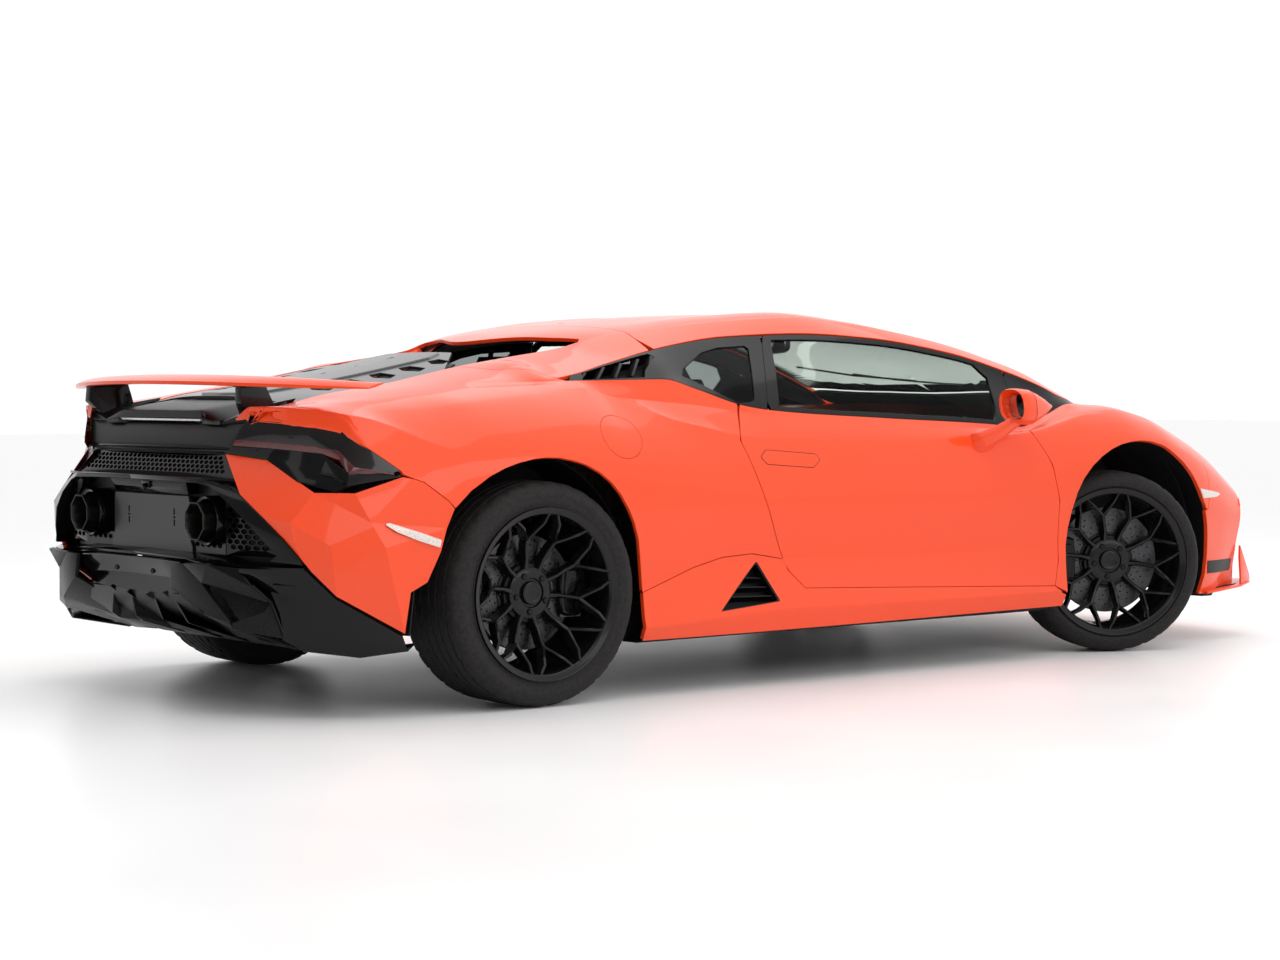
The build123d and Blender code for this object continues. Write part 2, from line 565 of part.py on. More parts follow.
def wishbones(x, y_out, y_fork, y_in, z):
    with BuildPart() as made:
        for z0 in (z - ARM_Z - ARM_T, z + ARM_Z):
            with BuildSketch(Plane.XY.offset(z0)):
                with BuildLine():
                    Polyline((x - 17, y_out), (x - 17, y_fork), (x - 170, y_in), (x - 130, y_in), (x, y_fork - 36),
                             (x + 130, y_in), (x + 170, y_in), (x + 17, y_fork), (x + 17, y_out), close=True)
                make_face()
                with Locations((x, y_out)):
                    Circle(17)
            extrude(amount=ARM_T)
        with BuildSketch(Plane.XZ.offset(-y_in - 24)):
            with Locations((x, z)):
                Rectangle(370, 2 * ARM_Z + 60)
                Rectangle(300, 2 * ARM_Z - 40, mode=Mode.SUBTRACT)
        extrude(amount=24)
    return made.part


save(pair(wishbones(FRONT_AXLE_X, KINGPIN_Y, 640, 474, FRONT_TYRE_R)), "front_suspension")
with BuildPart() as rear_arms:
    add(wishbones(REAR_AXLE_X, 785, 680, 500, REAR_TYRE_R))
    with BuildSketch(Plane.XZ.offset(-730)):
        with Locations((REAR_AXLE_X, REAR_TYRE_R)):
            Circle(22)
    extrude(amount=534)
    with BuildSketch(Plane.XZ.offset(-500)):
        with Locations((REAR_AXLE_X, REAR_TYRE_R)):
            Rectangle(340, 24)
    extrude(amount=24)
save(pair(rear_arms.part), "rear_suspension")
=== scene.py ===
import bpy, bmesh, json, math
import numpy as np
from mathutils import Vector, Matrix
from mathutils.bvhtree import BVHTree
from mathutils.geometry import delaunay_2d_cdt

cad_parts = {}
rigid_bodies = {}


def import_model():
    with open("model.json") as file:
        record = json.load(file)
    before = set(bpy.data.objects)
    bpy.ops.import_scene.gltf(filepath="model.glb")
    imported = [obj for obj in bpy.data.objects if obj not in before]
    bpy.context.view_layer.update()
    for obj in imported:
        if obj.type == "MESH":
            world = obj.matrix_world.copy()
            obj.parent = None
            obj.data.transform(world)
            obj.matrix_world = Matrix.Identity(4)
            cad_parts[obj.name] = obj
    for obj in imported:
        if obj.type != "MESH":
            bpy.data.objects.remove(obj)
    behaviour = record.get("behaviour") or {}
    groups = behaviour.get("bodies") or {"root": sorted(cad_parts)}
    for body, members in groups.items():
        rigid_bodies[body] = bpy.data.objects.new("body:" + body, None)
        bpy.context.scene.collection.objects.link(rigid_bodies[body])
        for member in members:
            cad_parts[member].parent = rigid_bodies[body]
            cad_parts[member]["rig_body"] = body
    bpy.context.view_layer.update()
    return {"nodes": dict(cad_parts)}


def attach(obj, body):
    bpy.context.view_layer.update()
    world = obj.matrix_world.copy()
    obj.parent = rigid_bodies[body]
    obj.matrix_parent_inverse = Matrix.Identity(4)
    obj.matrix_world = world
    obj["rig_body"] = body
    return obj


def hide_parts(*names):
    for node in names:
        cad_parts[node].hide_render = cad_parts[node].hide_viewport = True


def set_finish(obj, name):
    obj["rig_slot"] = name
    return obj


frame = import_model()

# ---------------------------------------------------------------- frames
# Body tables are written with x from the rear axle, forward, y to the side and
# z up, in metres. SX moves them to the frame of the part.
SX = -1.3285


def V(p):
    return Vector((p[0] + SX, p[1], p[2]))


# ---------------------------------------------------------------- camera
def make_camera():
    yaw, pitch, roll = math.radians(37.88765), math.radians(-2.1451), math.radians(-0.3446)
    fw = Vector((math.sin(yaw) * math.cos(pitch), math.cos(yaw) * math.cos(pitch), math.sin(pitch)))
    rt = Vector((math.cos(yaw), -math.sin(yaw), 0.0))
    up = rt.cross(fw)
    r2 = rt * math.cos(roll) + up * math.sin(roll)
    u2 = -rt * math.sin(roll) + up * math.cos(roll)
    m = Matrix((r2, u2, -fw)).transposed().to_4x4()
    m.translation = Vector((-6.2188, -7.7041, 1.0035))
    data = bpy.data.cameras.new("camera")
    data.lens, data.sensor_width, data.sensor_fit = 77.37, 36.0, 'HORIZONTAL'
    data.clip_end = 200.0
    ob = bpy.data.objects.new("camera", data)
    ob.matrix_world = m
    bpy.context.collection.objects.link(ob)
    bpy.context.scene.camera = ob


make_camera()

# ---------------------------------------------------------------- materials
MATS = {}


def new_mat(name):
    m = bpy.data.materials.new(name)
    m.use_nodes = True
    nt = m.node_tree
    nt.nodes.clear()
    out = nt.nodes.new("ShaderNodeOutputMaterial")
    bs = nt.nodes.new("ShaderNodeBsdfPrincipled")
    nt.links.new(bs.outputs[0], out.inputs[0])
    MATS[name] = m
    return m, nt, bs


def surface(name, base, other=None, rough=(0.4, 0.5), metal=0.0, coat=0.0, coat_rough=0.03, scale=60.0, bump=0.0,
            bump_scale=None, spec=0.5, stretch=(1, 1, 1), detail=3.0, sheen=0.0, ior=1.5, bump_kind="noise",
            bump_dist=0.001):
    """A finish whose colour, roughness and relief vary with noise at the given scale."""
    m, nt, bs = new_mat(name)
    L = nt.links.new
    tc = nt.nodes.new("ShaderNodeTexCoord")
    mp = nt.nodes.new("ShaderNodeMapping")
    mp.inputs["Scale"].default_value = stretch
    L(tc.outputs["Object"], mp.inputs[0])
    nz = nt.nodes.new("ShaderNodeTexNoise")
    nz.inputs["Scale"].default_value = scale
    nz.inputs["Detail"].default_value = detail
    L(mp.outputs[0], nz.inputs["Vector"])
    ramp = nt.nodes.new("ShaderNodeValToRGB")
    other = other or tuple(min(1.0, c * 1.12 + 0.002) for c in base)
    ramp.color_ramp.elements[0].position, ramp.color_ramp.elements[1].position = 0.35, 0.65
    ramp.color_ramp.elements[0].color = (*base, 1)
    ramp.color_ramp.elements[1].color = (*other, 1)
    L(nz.outputs["Fac"], ramp.inputs[0])
    L(ramp.outputs[0], bs.inputs["Base Color"])
    mr = nt.nodes.new("ShaderNodeMapRange")
    mr.inputs["From Min"].default_value, mr.inputs["From Max"].default_value = 0.3, 0.7
    mr.inputs["To Min"].default_value, mr.inputs["To Max"].default_value = rough
    L(nz.outputs["Fac"], mr.inputs["Value"])
    L(mr.outputs[0], bs.inputs["Roughness"])
    bs.inputs["Metallic"].default_value = metal
    bs.inputs["Coat Weight"].default_value = coat
    bs.inputs["Coat Roughness"].default_value = coat_rough
    bs.inputs["Specular IOR Level"].default_value = spec
    bs.inputs["IOR"].default_value = ior
    bs.inputs["Sheen Weight"].default_value = sheen
    if bump:
        if bump_kind == "voronoi":
            b2 = nt.nodes.new("ShaderNodeTexVoronoi")
            b2.inputs["Scale"].default_value = bump_scale or scale
            height = b2.outputs["Distance"]
        else:
            b2 = nt.nodes.new("ShaderNodeTexNoise")
            b2.inputs["Scale"].default_value = bump_scale or scale
            b2.inputs["Detail"].default_value = 2.0
            height = b2.outputs["Fac"]
        L(mp.outputs[0], b2.inputs["Vector"])
        bp = nt.nodes.new("ShaderNodeBump")
        bp.inputs["Strength"].default_value = bump
        bp.inputs["Distance"].default_value = bump_dist
        L(height, bp.inputs["Height"])
        L(bp.outputs[0], bs.inputs["Normal"])
    return m


surface("paint", (0.86, 0.060, 0.006), (0.92, 0.070, 0.009), rough=(0.34, 0.40), coat=0.55, coat_rough=0.03, scale=900.0,
        bump=0.012, bump_scale=260.0, detail=1.0, spec=0.22)
surface("black_gloss", (0.002, 0.002, 0.0022), (0.004, 0.004, 0.0044), rough=(0.10, 0.16), coat=0.22, coat_rough=0.02,
        scale=300.0, bump=0.012, bump_scale=220.0, spec=0.12)
surface("black_satin", (0.004, 0.004, 0.0044), (0.008, 0.008, 0.0085), rough=(0.32, 0.42), scale=240.0, bump=0.05,
        bump_scale=500.0, spec=0.22)
surface("black_plastic", (0.005, 0.005, 0.0055), (0.010, 0.010, 0.0105), rough=(0.50, 0.62), scale=400.0, bump=0.25,
        bump_scale=900.0, bump_kind="voronoi", spec=0.2)
surface("cover_black", (0.012, 0.012, 0.015), (0.020, 0.020, 0.024), rough=(0.26, 0.34), coat=0.30, coat_rough=0.08,
        scale=300.0, spec=0.3)
surface("diffuser_grey", (0.0035, 0.0035, 0.0038), (0.008, 0.008, 0.0085), rough=(0.26, 0.34), coat=0.12, coat_rough=0.1,
        scale=200.0, bump=0.04, bump_scale=600.0, spec=0.12)
surface("plate_grey", (0.018, 0.018, 0.020), (0.025, 0.025, 0.028), rough=(0.28, 0.36), coat=0.15, coat_rough=0.1,
        scale=150.0, bump=0.03, bump_scale=500.0, spec=0.3)
surface("wheel_black", (0.003, 0.003, 0.0033), (0.006, 0.006, 0.0065), rough=(0.20, 0.28), coat=0.20, coat_rough=0.05,
        scale=250.0, bump=0.03, bump_scale=400.0, spec=0.18)
surface("rubber", (0.014, 0.0130, 0.0130), (0.025, 0.0235, 0.023), rough=(0.62, 0.80), scale=90.0, bump=0.3, bump_scale=700.0,
        spec=0.18)
surface("disc_steel", (0.050, 0.050, 0.053), (0.085, 0.085, 0.088), rough=(0.30, 0.46), metal=1.0, scale=120.0, bump=0.1,
        bump_scale=700.0)
surface("steel", (0.30, 0.30, 0.31), (0.42, 0.42, 0.43), rough=(0.25, 0.40), metal=1.0, scale=80.0, bump=0.08, bump_scale=400.0)
surface("chassis_black", (0.006, 0.006, 0.0065), (0.012, 0.012, 0.0125), rough=(0.55, 0.7), scale=60.0, bump=0.2, bump_scale=300.0,
        spec=0.2)
surface("engine_alloy", (0.10, 0.10, 0.105), (0.20, 0.20, 0.20), rough=(0.40, 0.6), metal=0.8, scale=45.0, bump=0.3,
        bump_scale=200.0)
surface("exhaust_steel", (0.016, 0.015, 0.015), (0.034, 0.032, 0.029), rough=(0.28, 0.42), metal=0.9, scale=60.0, bump=0.05,
        bump_scale=400.0)
surface("marker", (0.62, 0.55, 0.50), (0.80, 0.72, 0.66), rough=(0.12, 0.2), coat=0.8, scale=180.0, bump=0.25,
        bump_scale=240.0, bump_kind="voronoi")
surface("silver_lens", (0.55, 0.56, 0.58), (0.72, 0.73, 0.75), rough=(0.1, 0.2), metal=0.6, scale=120.0, bump=0.2,
        bump_scale=180.0, bump_kind="voronoi")
surface("reflector_bright", (0.70, 0.71, 0.72), (0.86, 0.87, 0.88), rough=(0.08, 0.16), metal=1.0, scale=120.0)


def glass(name, tint, alpha_like, rough=0.02):
    """Tinted glass: a clear coat over a see-through tint, a little darker towards its edges."""
    m = bpy.data.materials.new(name)
    m.use_nodes = True
    nt = m.node_tree
    nt.nodes.clear()
    L = nt.links.new
    out = nt.nodes.new("ShaderNodeOutputMaterial")
    mix = nt.nodes.new("ShaderNodeMixShader")
    tr = nt.nodes.new("ShaderNodeBsdfTransparent")
    gl = nt.nodes.new("ShaderNodeBsdfPrincipled")
    gl.inputs["Base Color"].default_value = (0.02, 0.022, 0.022, 1)
    gl.inputs["Roughness"].default_value = rough
    gl.inputs["Coat Weight"].default_value = 1.0
    gl.inputs["Coat Roughness"].default_value = 0.01
    tc = nt.nodes.new("ShaderNodeTexCoord")
    nz = nt.nodes.new("ShaderNodeTexNoise")
    nz.inputs["Scale"].default_value = 1.4
    L(tc.outputs["Object"], nz.inputs["Vector"])
    ramp = nt.nodes.new("ShaderNodeValToRGB")
    ramp.color_ramp.elements[0].color = (*tint, 1)
    ramp.color_ramp.elements[1].color = (*[min(1, c * 1.05) for c in tint], 1)
    L(nz.outputs["Fac"], ramp.inputs[0])
    L(ramp.outputs[0], tr.inputs["Color"])
    fr = nt.nodes.new("ShaderNodeLayerWeight")
    fr.inputs["Blend"].default_value = 0.5
    pw = nt.nodes.new("ShaderNodeMath")
    pw.operation = "POWER"
    pw.inputs[1].default_value = 4.0
    L(fr.outputs["Facing"], pw.inputs[0])
    mr = nt.nodes.new("ShaderNodeMapRange")
    mr.inputs["To Min"].default_value, mr.inputs["To Max"].default_value = alpha_like, 0.75
    L(pw.outputs[0], mr.inputs["Value"])
    L(mr.outputs[0], mix.inputs["Fac"])
    L(tr.outputs[0], mix.inputs[1])
    L(gl.outputs[0], mix.inputs[2])
    L(mix.outputs[0], out.inputs[0])
    MATS[name] = m
    return m


surface("leather", (0.013, 0.012, 0.012), (0.024, 0.022, 0.021), rough=(0.42, 0.55), scale=90.0, bump=0.35, bump_scale=420.0,
        bump_kind="voronoi", bump_dist=0.0006)
surface("alcantara", (0.012, 0.012, 0.013), (0.022, 0.022, 0.024), rough=(0.8, 0.92), scale=260.0, bump=0.3, bump_scale=900.0,
        sheen=0.3)
surface("mirror_face", (0.62, 0.63, 0.65), (0.66, 0.67, 0.69), rough=(0.02, 0.04), metal=1.0, scale=20.0)
glass("glass_side", (0.890, 0.925, 0.900), 0.015)
glass("glass_dark", (0.52, 0.54, 0.54), 0.04)
surface("lens_red", (0.050, 0.0012, 0.0016), (0.110, 0.0022, 0.003), rough=(0.10, 0.18), coat=0.5, scale=60.0, bump=0.2, bump_scale=300.0,
        bump_kind="voronoi", bump_dist=0.0004)
surface("lens_smoke", (0.0030, 0.0022, 0.0022), (0.0080, 0.0040, 0.0040), rough=(0.06, 0.12), coat=0.4, scale=24.0, spec=0.3)
glass("lens_clear", (0.86, 0.88, 0.90), 0.05)


# ---------------------------------------------------------------- floor and light
def studio():
    m, nt, bs = new_mat("floor_gloss")
    tc = nt.nodes.new("ShaderNodeTexCoord")
    nz = nt.nodes.new("ShaderNodeTexNoise")
    nz.inputs["Scale"].default_value = 1.2
    nz.inputs["Detail"].default_value = 5.0
    nt.links.new(tc.outputs["Object"], nz.inputs["Vector"])
    mr = nt.nodes.new("ShaderNodeMapRange")
    mr.inputs["To Min"].default_value, mr.inputs["To Max"].default_value = 0.26, 0.42
    nt.links.new(nz.outputs["Fac"], mr.inputs["Value"])
    nt.links.new(mr.outputs[0], bs.inputs["Roughness"])
    bs.inputs["Base Color"].default_value = (0.97, 0.97, 0.97, 1)
    bs.inputs["Specular IOR Level"].default_value = 0.42
    me = bpy.data.meshes.new("floor")
    r = 40.0
    me.from_pydata([(-r, -r, 0), (r, -r, 0), (r, r, 0), (-r, r, 0)], [], [(0, 1, 2, 3)])
    me.materials.append(m)
    ob = bpy.data.objects.new("floor", me)
    bpy.context.collection.objects.link(ob)
    w = bpy.data.worlds.new("studio")
    bpy.context.scene.world = w
    w.use_nodes = True
    bg = w.node_tree.nodes["Background"]
    tw = w.node_tree.nodes.new("ShaderNodeTexCoord")
    sp = w.node_tree.nodes.new("ShaderNodeSeparateXYZ")
    rw = w.node_tree.nodes.new("ShaderNodeMapRange")
    rw.interpolation_type = 'SMOOTHSTEP'
    rw.inputs["From Min"].default_value, rw.inputs["From Max"].default_value = -0.95, 0.10
    rw.inputs["To Min"].default_value, rw.inputs["To Max"].default_value = 0.30, 1.10
    w.node_tree.links.new(tw.outputs["Generated"], sp.inputs[0])
    w.node_tree.links.new(sp.outputs["X"], rw.inputs["Value"])
    bg.inputs[0].default_value = (1, 1, 1, 1)
    w.node_tree.links.new(rw.outputs[0], bg.inputs[1])

    def area(name, loc, target, sx, sy, power):
        d = bpy.data.lights.new(name, 'AREA')
        d.shape, d.size, d.size_y, d.energy = 'RECTANGLE', sx, sy, power
        o = bpy.data.objects.new(name, d)
        o.location = loc
        o.rotation_euler = (Vector(target) - Vector(loc)).to_track_quat('-Z', 'Y').to_euler()
        bpy.context.collection.objects.link(o)

    area("key_top", (0.3, -0.4, 4.6), (0, 0, 0.4), 9.0, 5.0, 130)
    area("side_right", (-1.0, -7.5, 3.2), (0, 0, 0.5), 9.0, 1.6, 70)
    area("rear", (-7.5, 1.0, 3.6), (0, 0, 0.5), 4.0, 0.8, 12)


studio()


# ---------------------------------------------------------------- curves
def pchip(xk, yk, xq):
    """Monotone cubic through the knots, held flat outside them."""
    xk, yk, xq = np.asarray(xk, float), np.asarray(yk, float), np.asarray(xq, float)
    h = np.diff(xk)
    d = np.diff(yk) / h
    m = np.zeros(len(xk))
    for i in range(1, len(xk) - 1):
        if d[i - 1] * d[i] > 0:
            w1, w2 = 2 * h[i] + h[i - 1], h[i] + 2 * h[i - 1]
            m[i] = (w1 + w2) / (w1 / d[i - 1] + w2 / d[i])
    m[0], m[-1] = d[0], d[-1]
    q = np.clip(xq, xk[0], xk[-1])
    i = np.clip(np.searchsorted(xk, q, side="right") - 1, 0, len(h) - 1)
    t = (q - xk[i]) / h[i]
    a, b = yk[i], yk[i + 1]
    return ((2 * t ** 3 - 3 * t ** 2 + 1) * a + (t ** 3 - 2 * t ** 2 + t) * h[i] * m[i]
            + (-2 * t ** 3 + 3 * t ** 2) * b + (t ** 3 - t ** 2) * h[i] * m[i + 1])


# ---------------------------------------------------------------- body surface
# Lines along the body, from the sill's edge up to the centre of the roof.
# columns: x from the rear axle, y, z. The last number of each line is how far the
# line runs past x 3.4 where the nose curves round.
LINES = [
    ("edge", -0.05, [(-.86, .62, .46), (-.5, .88, .28), (-.4, .91, .21), (.34, .922, .172), (1.3, .922, .174),
                     (2.28, .922, .178), (2.7, .915, .178), (3.1, .885, .178), (3.4, .80, .185)]),
    ("sill", -0.045, [(-.86, .64, .50), (-.5, .90, .34), (-.4, .93, .27), (.38, .952, .219), (.68, .952, .233),
                      (.95, .951, .247), (1.5, .949, .241), (2.28, .950, .237), (2.7, .945, .24), (3.1, .905, .25),
                      (3.4, .80, .27)]),
    ("low", -0.025, [(-.86, .66, .56), (-.5, .92, .46), (0, .955, .45), (.34, .938, .36), (.7, .922, .40), (.97, .916, .405),
                     (1.3, .916, .39), (2.0, .922, .39), (2.28, .935, .39), (2.7, .948, .40), (3.0, .925, .38),
                     (3.2, .873, .37), (3.4, .80, .36)]),
    ("mid", 0.0, [(-.86, .60, .884), (-.80, .64, .880), (-.728, .775, .868), (-.64, .825, .850), (-.57, .868, .795),
                  (-.485, .902, .731), (-.41, .926, .68), (-.33, .946, .635), (-.2, .962, .61), (0, .9665, .60),
                  (.4, .955, .60), (.8, .936, .60), (1.2, .930, .60), (1.8, .935, .60), (2.2, .945, .60),
                  (2.62, .957, .60), (2.9, .94, .585), (3.05, .915, .565), (3.2, .873, .535), (3.4, .80, .48)]),
    ("upper", 0.0, [(-.86, .615, .918), (-.785, .700, .921), (-.70, .752, .912), (-.62, .79, .901), (-.54, .823, .884),
                    (-.472, .850, .859), (-.387, .884, .822), (-.31, .915, .790), (-.2, .943, .775), (0, .958, .775),
                    (.2, .956, .765), (.4, .947, .752), (.8, .926, .738), (1.2, .918, .728), (1.8, .920, .722),
                    (2.2, .934, .742), (2.45, .944, .768), (2.62, .946, .778), (2.8, .932, .762), (3.0, .898, .70),
                    (3.2, .845, .622), (3.4, .785, .530)]),
    ("shoulder", 0.0, [(-.86, .545, .919), (-.785, .61, .923), (-.62, .705, .922), (-.472, .77, .913), (-.35, .805, .914),
                       (-.2, .828, .930), (0, .822, .948), (.15, .803, .962), (.263, .790, .971), (.33, .803, .952),
                       (.452, .850, .909), (.566, .880, .866), (.706, .900, .8335), (.815, .906, .812), (1.0, .905, .80),
                       (1.4, .902, .79), (1.8, .900, .785), (2.1, .902, .80), (2.3, .892, .832), (2.45, .872, .862),
                       (2.62, .850, .874), (2.8, .828, .848), (3.0, .808, .778), (3.2, .782, .69), (3.4, .745, .575)]),
    ("belt", 0.04, [(-.86, .50, .915), (-.62, .645, .928), (-.472, .70, .937), (-.2, .758, .957), (0, .765, .972),
                    (.15, .768, .979), (.263, .772, .981), (.36, .798, .944), (.53, .822, .9265), (.64, .834, .917),
                    (.88, .853, .886), (1.0, .862, .872), (1.5, .866, .842), (1.99, .866, .816), (2.15, .864, .804),
                    (2.3, .838, .848), (2.47, .808, .884), (2.62, .775, .890), (2.8, .755, .862), (3.0, .735, .798),
                    (3.2, .70, .705), (3.4, .66, .555)]),
    ("glass_low", 0.10, [(-.86, .455, .912), (-.62, .575, .929), (-.472, .63, .946), (-.2, .705, .972), (0, .722, .985),
                         (.17, .732, .992), (.27, .748, .994), (.37, .765, .995), (.58, .800, .997), (.70, .817, .965),
                         (.87, .843, .911), (.99, .850, .893), (1.5, .854, .86), (1.99, .852, .833), (2.15, .846, .82),
                         (2.30, .818, .856), (2.47, .777, .898), (2.573, .735, .895), (2.8, .64, .868), (3.0, .60, .804),
                         (3.2, .56, .705), (3.4, .53, .535)]),
    ("glass_top", 0.14, [(-.86, .42, .907), (-.62, .51, .926), (-.472, .56, .951), (-.2, .655, .982), (0, .69, .997),
                         (.17, .727, .9985), (.27, .722, 1.012), (.43, .695, 1.048), (.7, .668, 1.105), (.95, .652, 1.137),
                         (1.3, .646, 1.149), (1.6, .656, 1.135), (1.95, .692, 1.084), (2.2, .732, 1.015), (2.36, .752, .960),
                         (2.47, .755, .918), (2.573, .71, .898), (2.8, .555, .872), (3.0, .50, .808), (3.2, .45, .702),
                         (3.4, .40, .52)]),
    ("cant", 0.165, [(-.86, .39, .899), (-.80, .42, .906), (-.644, .45, .921), (-.471, .45, .957), (-.283, .45, .983),
                     (-.077, .45, 1.022), (.016, .45, 1.040), (.2, .452, 1.068), (.432, .462, 1.104), (.50, .480, 1.125),
                     (.60, .515, 1.147), (.75, .552, 1.166), (1.0, .580, 1.189), (1.3, .585, 1.203), (1.6, .582, 1.182),
                     (1.8, .592, 1.153), (2.0, .610, 1.115), (2.2, .642, 1.059), (2.35, .662, 1.010), (2.47, .666, .958),
                     (2.57, .645, .910), (2.8, .46, .875), (3.0, .40, .808), (3.2, .35, .698), (3.4, .30, .51)]),
    ("quarter", 0.20, [(-.86, .2, .925), (-.6, .22, .950), (-.3, .22, .995), (0, .22, 1.05), (.2, .23, 1.09),
                       (.45, .27, 1.142), (.60, .29, 1.166), (.75, .30, 1.184), (1.0, .32, 1.206), (1.3, .32, 1.218),
                       (1.6, .32, 1.203), (1.9, .33, 1.152), (2.2, .35, 1.074), (2.45, .36, .982), (2.62, .36, .913),
                       (2.8, .30, .865), (3.0, .25, .795), (3.2, .21, .688), (3.4, .18, .503)]),
    ("centre", 0.212, [(-.86, 0, .93), (-.6, 0, .955), (-.3, 0, 1.0), (0, 0, 1.055), (.2, 0, 1.096), (.45, 0, 1.150),
                       (.60, 0, 1.172), (.75, 0, 1.190), (1.0, 0, 1.212), (1.3, 0, 1.223), (1.6, 0, 1.209), (1.9, 0, 1.160),
                       (2.2, 0, 1.082), (2.45, 0, .988), (2.62, 0, .917), (2.8, 0, .868), (3.0, 0, .797), (3.2, 0, .687),
                       (3.4, 0, .50)]),
]
# how sharp each line is along x: (x, 0 smooth to 1 sharp)
SHARP = {
    "sill": [(-.8, 1), (3.4, 1)],
    "upper": [(-.86, 1), (-.45, 1), (-.28, 0), (3.4, 0)],
    "shoulder": [(-.86, 0), (.15, 0), (.33, 1), (.70, 1), (.95, .25), (1.4, .1), (2.3, .1), (2.62, .25), (3.0, .5), (3.4, .7)],
    "belt": [(-.86, 0), (.2, 0), (.36, 1), (.80, .9), (.95, .3), (2.1, .3), (2.3, 0), (3.4, 0)],
    "glass_low": [(-.86, 0), (.1, 0), (.25, 1), (2.4, 1), (2.62, 0), (3.4, 0)],
    "glass_top": [(-.86, 0), (.1, 0), (.25, 1), (2.4, 1), (2.62, 0), (3.4, 0)],
    "cant": [(-.86, 0), (-.6, .6), (.6, .6), (.85, .25), (1.3, .2), (1.7, .5), (2.4, .8), (2.62, .2), (3.4, 0)],
}
STEPS = [0, .05, .16, .34, .5, .66, .84, .95]
T_ROWS = np.unique(np.round(np.concatenate([np.arange(-.86, 3.36, .024), [3.36, 3.38, 3.4, .263, .33, -.485]]), 4))


def build_master():
    n, rows = len(LINES), T_ROWS
    C = np.zeros((len(rows), n, 3))
    sharp = np.zeros((len(rows), n))
    for k, (name, e, pts) in enumerate(LINES):
        a = np.array(pts)
        C[:, k, 0] = rows + e * np.clip((rows - 2.6) / 0.8, 0, None) ** 2
        C[:, k, 1] = pchip(a[:, 0], a[:, 1], rows)
        C[:, k, 2] = pchip(a[:, 0], a[:, 2], rows)
        if name in SHARP:
            s = np.array(SHARP[name])
            sharp[:, k] = np.interp(rows, s[:, 0], s[:, 1])
    h = np.linalg.norm(np.diff(C, axis=1), axis=2)[:, :, None] + 1e-6
    D = np.diff(C, axis=1) / h
    T = np.zeros_like(C)
    for k in range(1, n - 1):
        w = h[:, k - 1] / (h[:, k - 1] + h[:, k])
        T[:, k] = D[:, k - 1] * (1 - w) + D[:, k] * w
    T[:, 0] = D[:, 0]
    T[:, -1] = D[:, -1] * 0 + np.stack([np.zeros(len(rows)), -np.ones(len(rows)), np.zeros(len(rows))], 1) \
        * np.linalg.norm(D[:, -1], axis=1)[:, None]
    cols = []
    for k in range(n - 1):
        left, right = T[:, k].copy(), T[:, k + 1].copy()
        cl, cr = sharp[:, k][:, None], sharp[:, k + 1][:, None]
        own_l = 1.5 * D[:, k] - 0.5 * right
        own_r = 1.5 * D[:, k] - 0.5 * left
        left2 = left * (1 - cl) + own_l * cl
        right2 = right * (1 - cr) + own_r * cr
        for s in STEPS:
            t = s
            cols.append((2 * t ** 3 - 3 * t ** 2 + 1) * C[:, k] + (t ** 3 - 2 * t ** 2 + t) * h[:, k] * left2
                        + (-2 * t ** 3 + 3 * t ** 2) * C[:, k + 1] + (t ** 3 - t ** 2) * h[:, k] * right2)
    cols.append(C[:, -1])
    G = np.stack(cols, axis=1)
    G[:, :, 1] = np.maximum(G[:, :, 1], 0)
    return G


class Skin:
    """A grid surface, with a tree to find points on it and normals that point outwards."""

    def __init__(self, G, out=(0, 1, 0)):
        self.G = G
        nu, nv = G.shape[:2]
        du = np.gradient(G, axis=0)
        dv = np.gradient(G, axis=1)
        N = np.cross(du, dv)
        N /= np.linalg.norm(N, axis=2)[:, :, None] + 1e-12
        if np.dot(N.reshape(-1, 3).mean(0), out) < 0:
            N = -N
        self.N = N
        self.P = G.reshape(-1, 3)
        self.NN = N.reshape(-1, 3)
        i, j = np.meshgrid(np.arange(nu - 1), np.arange(nv - 1), indexing="ij")
        a = (i * nv + j).ravel()
        self.cells = np.stack([a, a + nv, a + nv + 1, a + 1], 1)
        tri = []
        for q in self.cells:
            tri.append((q[0], q[1], q[2]))
            tri.append((q[0], q[2], q[3]))
        self.tri = tri
        self.tree = BVHTree.FromPolygons([tuple(p) for p in self.P], [tuple(int(x) for x in t) for t in tri])

    def hit(self, origin, direction, dist=20.0):
        loc, nrm, idx, d = self.tree.ray_cast(Vector(origin), Vector(direction).normalized(), dist)
        if loc is None:
            # a miss by a hair: the closest point of the surface to the ray
            best = None
            dn = Vector(direction).normalized()
            for k in range(0, 121):
                l2, n2, i2, d2 = self.tree.find_nearest(Vector(origin) + dn * (0.05 * k))
                if best is None or d2 < best[2]:
                    best = (l2, i2, d2, k)
            for k in range(-20, 21):
                l2, n2, i2, d2 = self.tree.find_nearest(Vector(origin) + dn * (0.05 * best[3] + 0.0025 * k))
                if d2 < best[2]:
                    best = (l2, i2, d2, best[3])
            loc, idx = best[0], best[1]
        return self.at(loc, idx)

    def near(self, p):
        loc, nrm, idx, d = self.tree.find_nearest(Vector(p))
        return self.at(loc, idx)

    def at(self, loc, idx):
        t = self.tri[idx]
        w = np.array([1.0 / ((loc - Vector(self.P[i])).length + 1e-5) for i in t])
        n = (self.NN[list(t)] * w[:, None]).sum(0)
        n /= np.linalg.norm(n) + 1e-12
        return np.array(loc), n

    def side(self, x, z):
        return self.hit((x, 3.0, z), (0, -1, 0))[0]

    def top(self, x, y):
        return self.hit((x, y, 3.0), (0, 0, -1))[0]


MASTER = Skin(build_master())


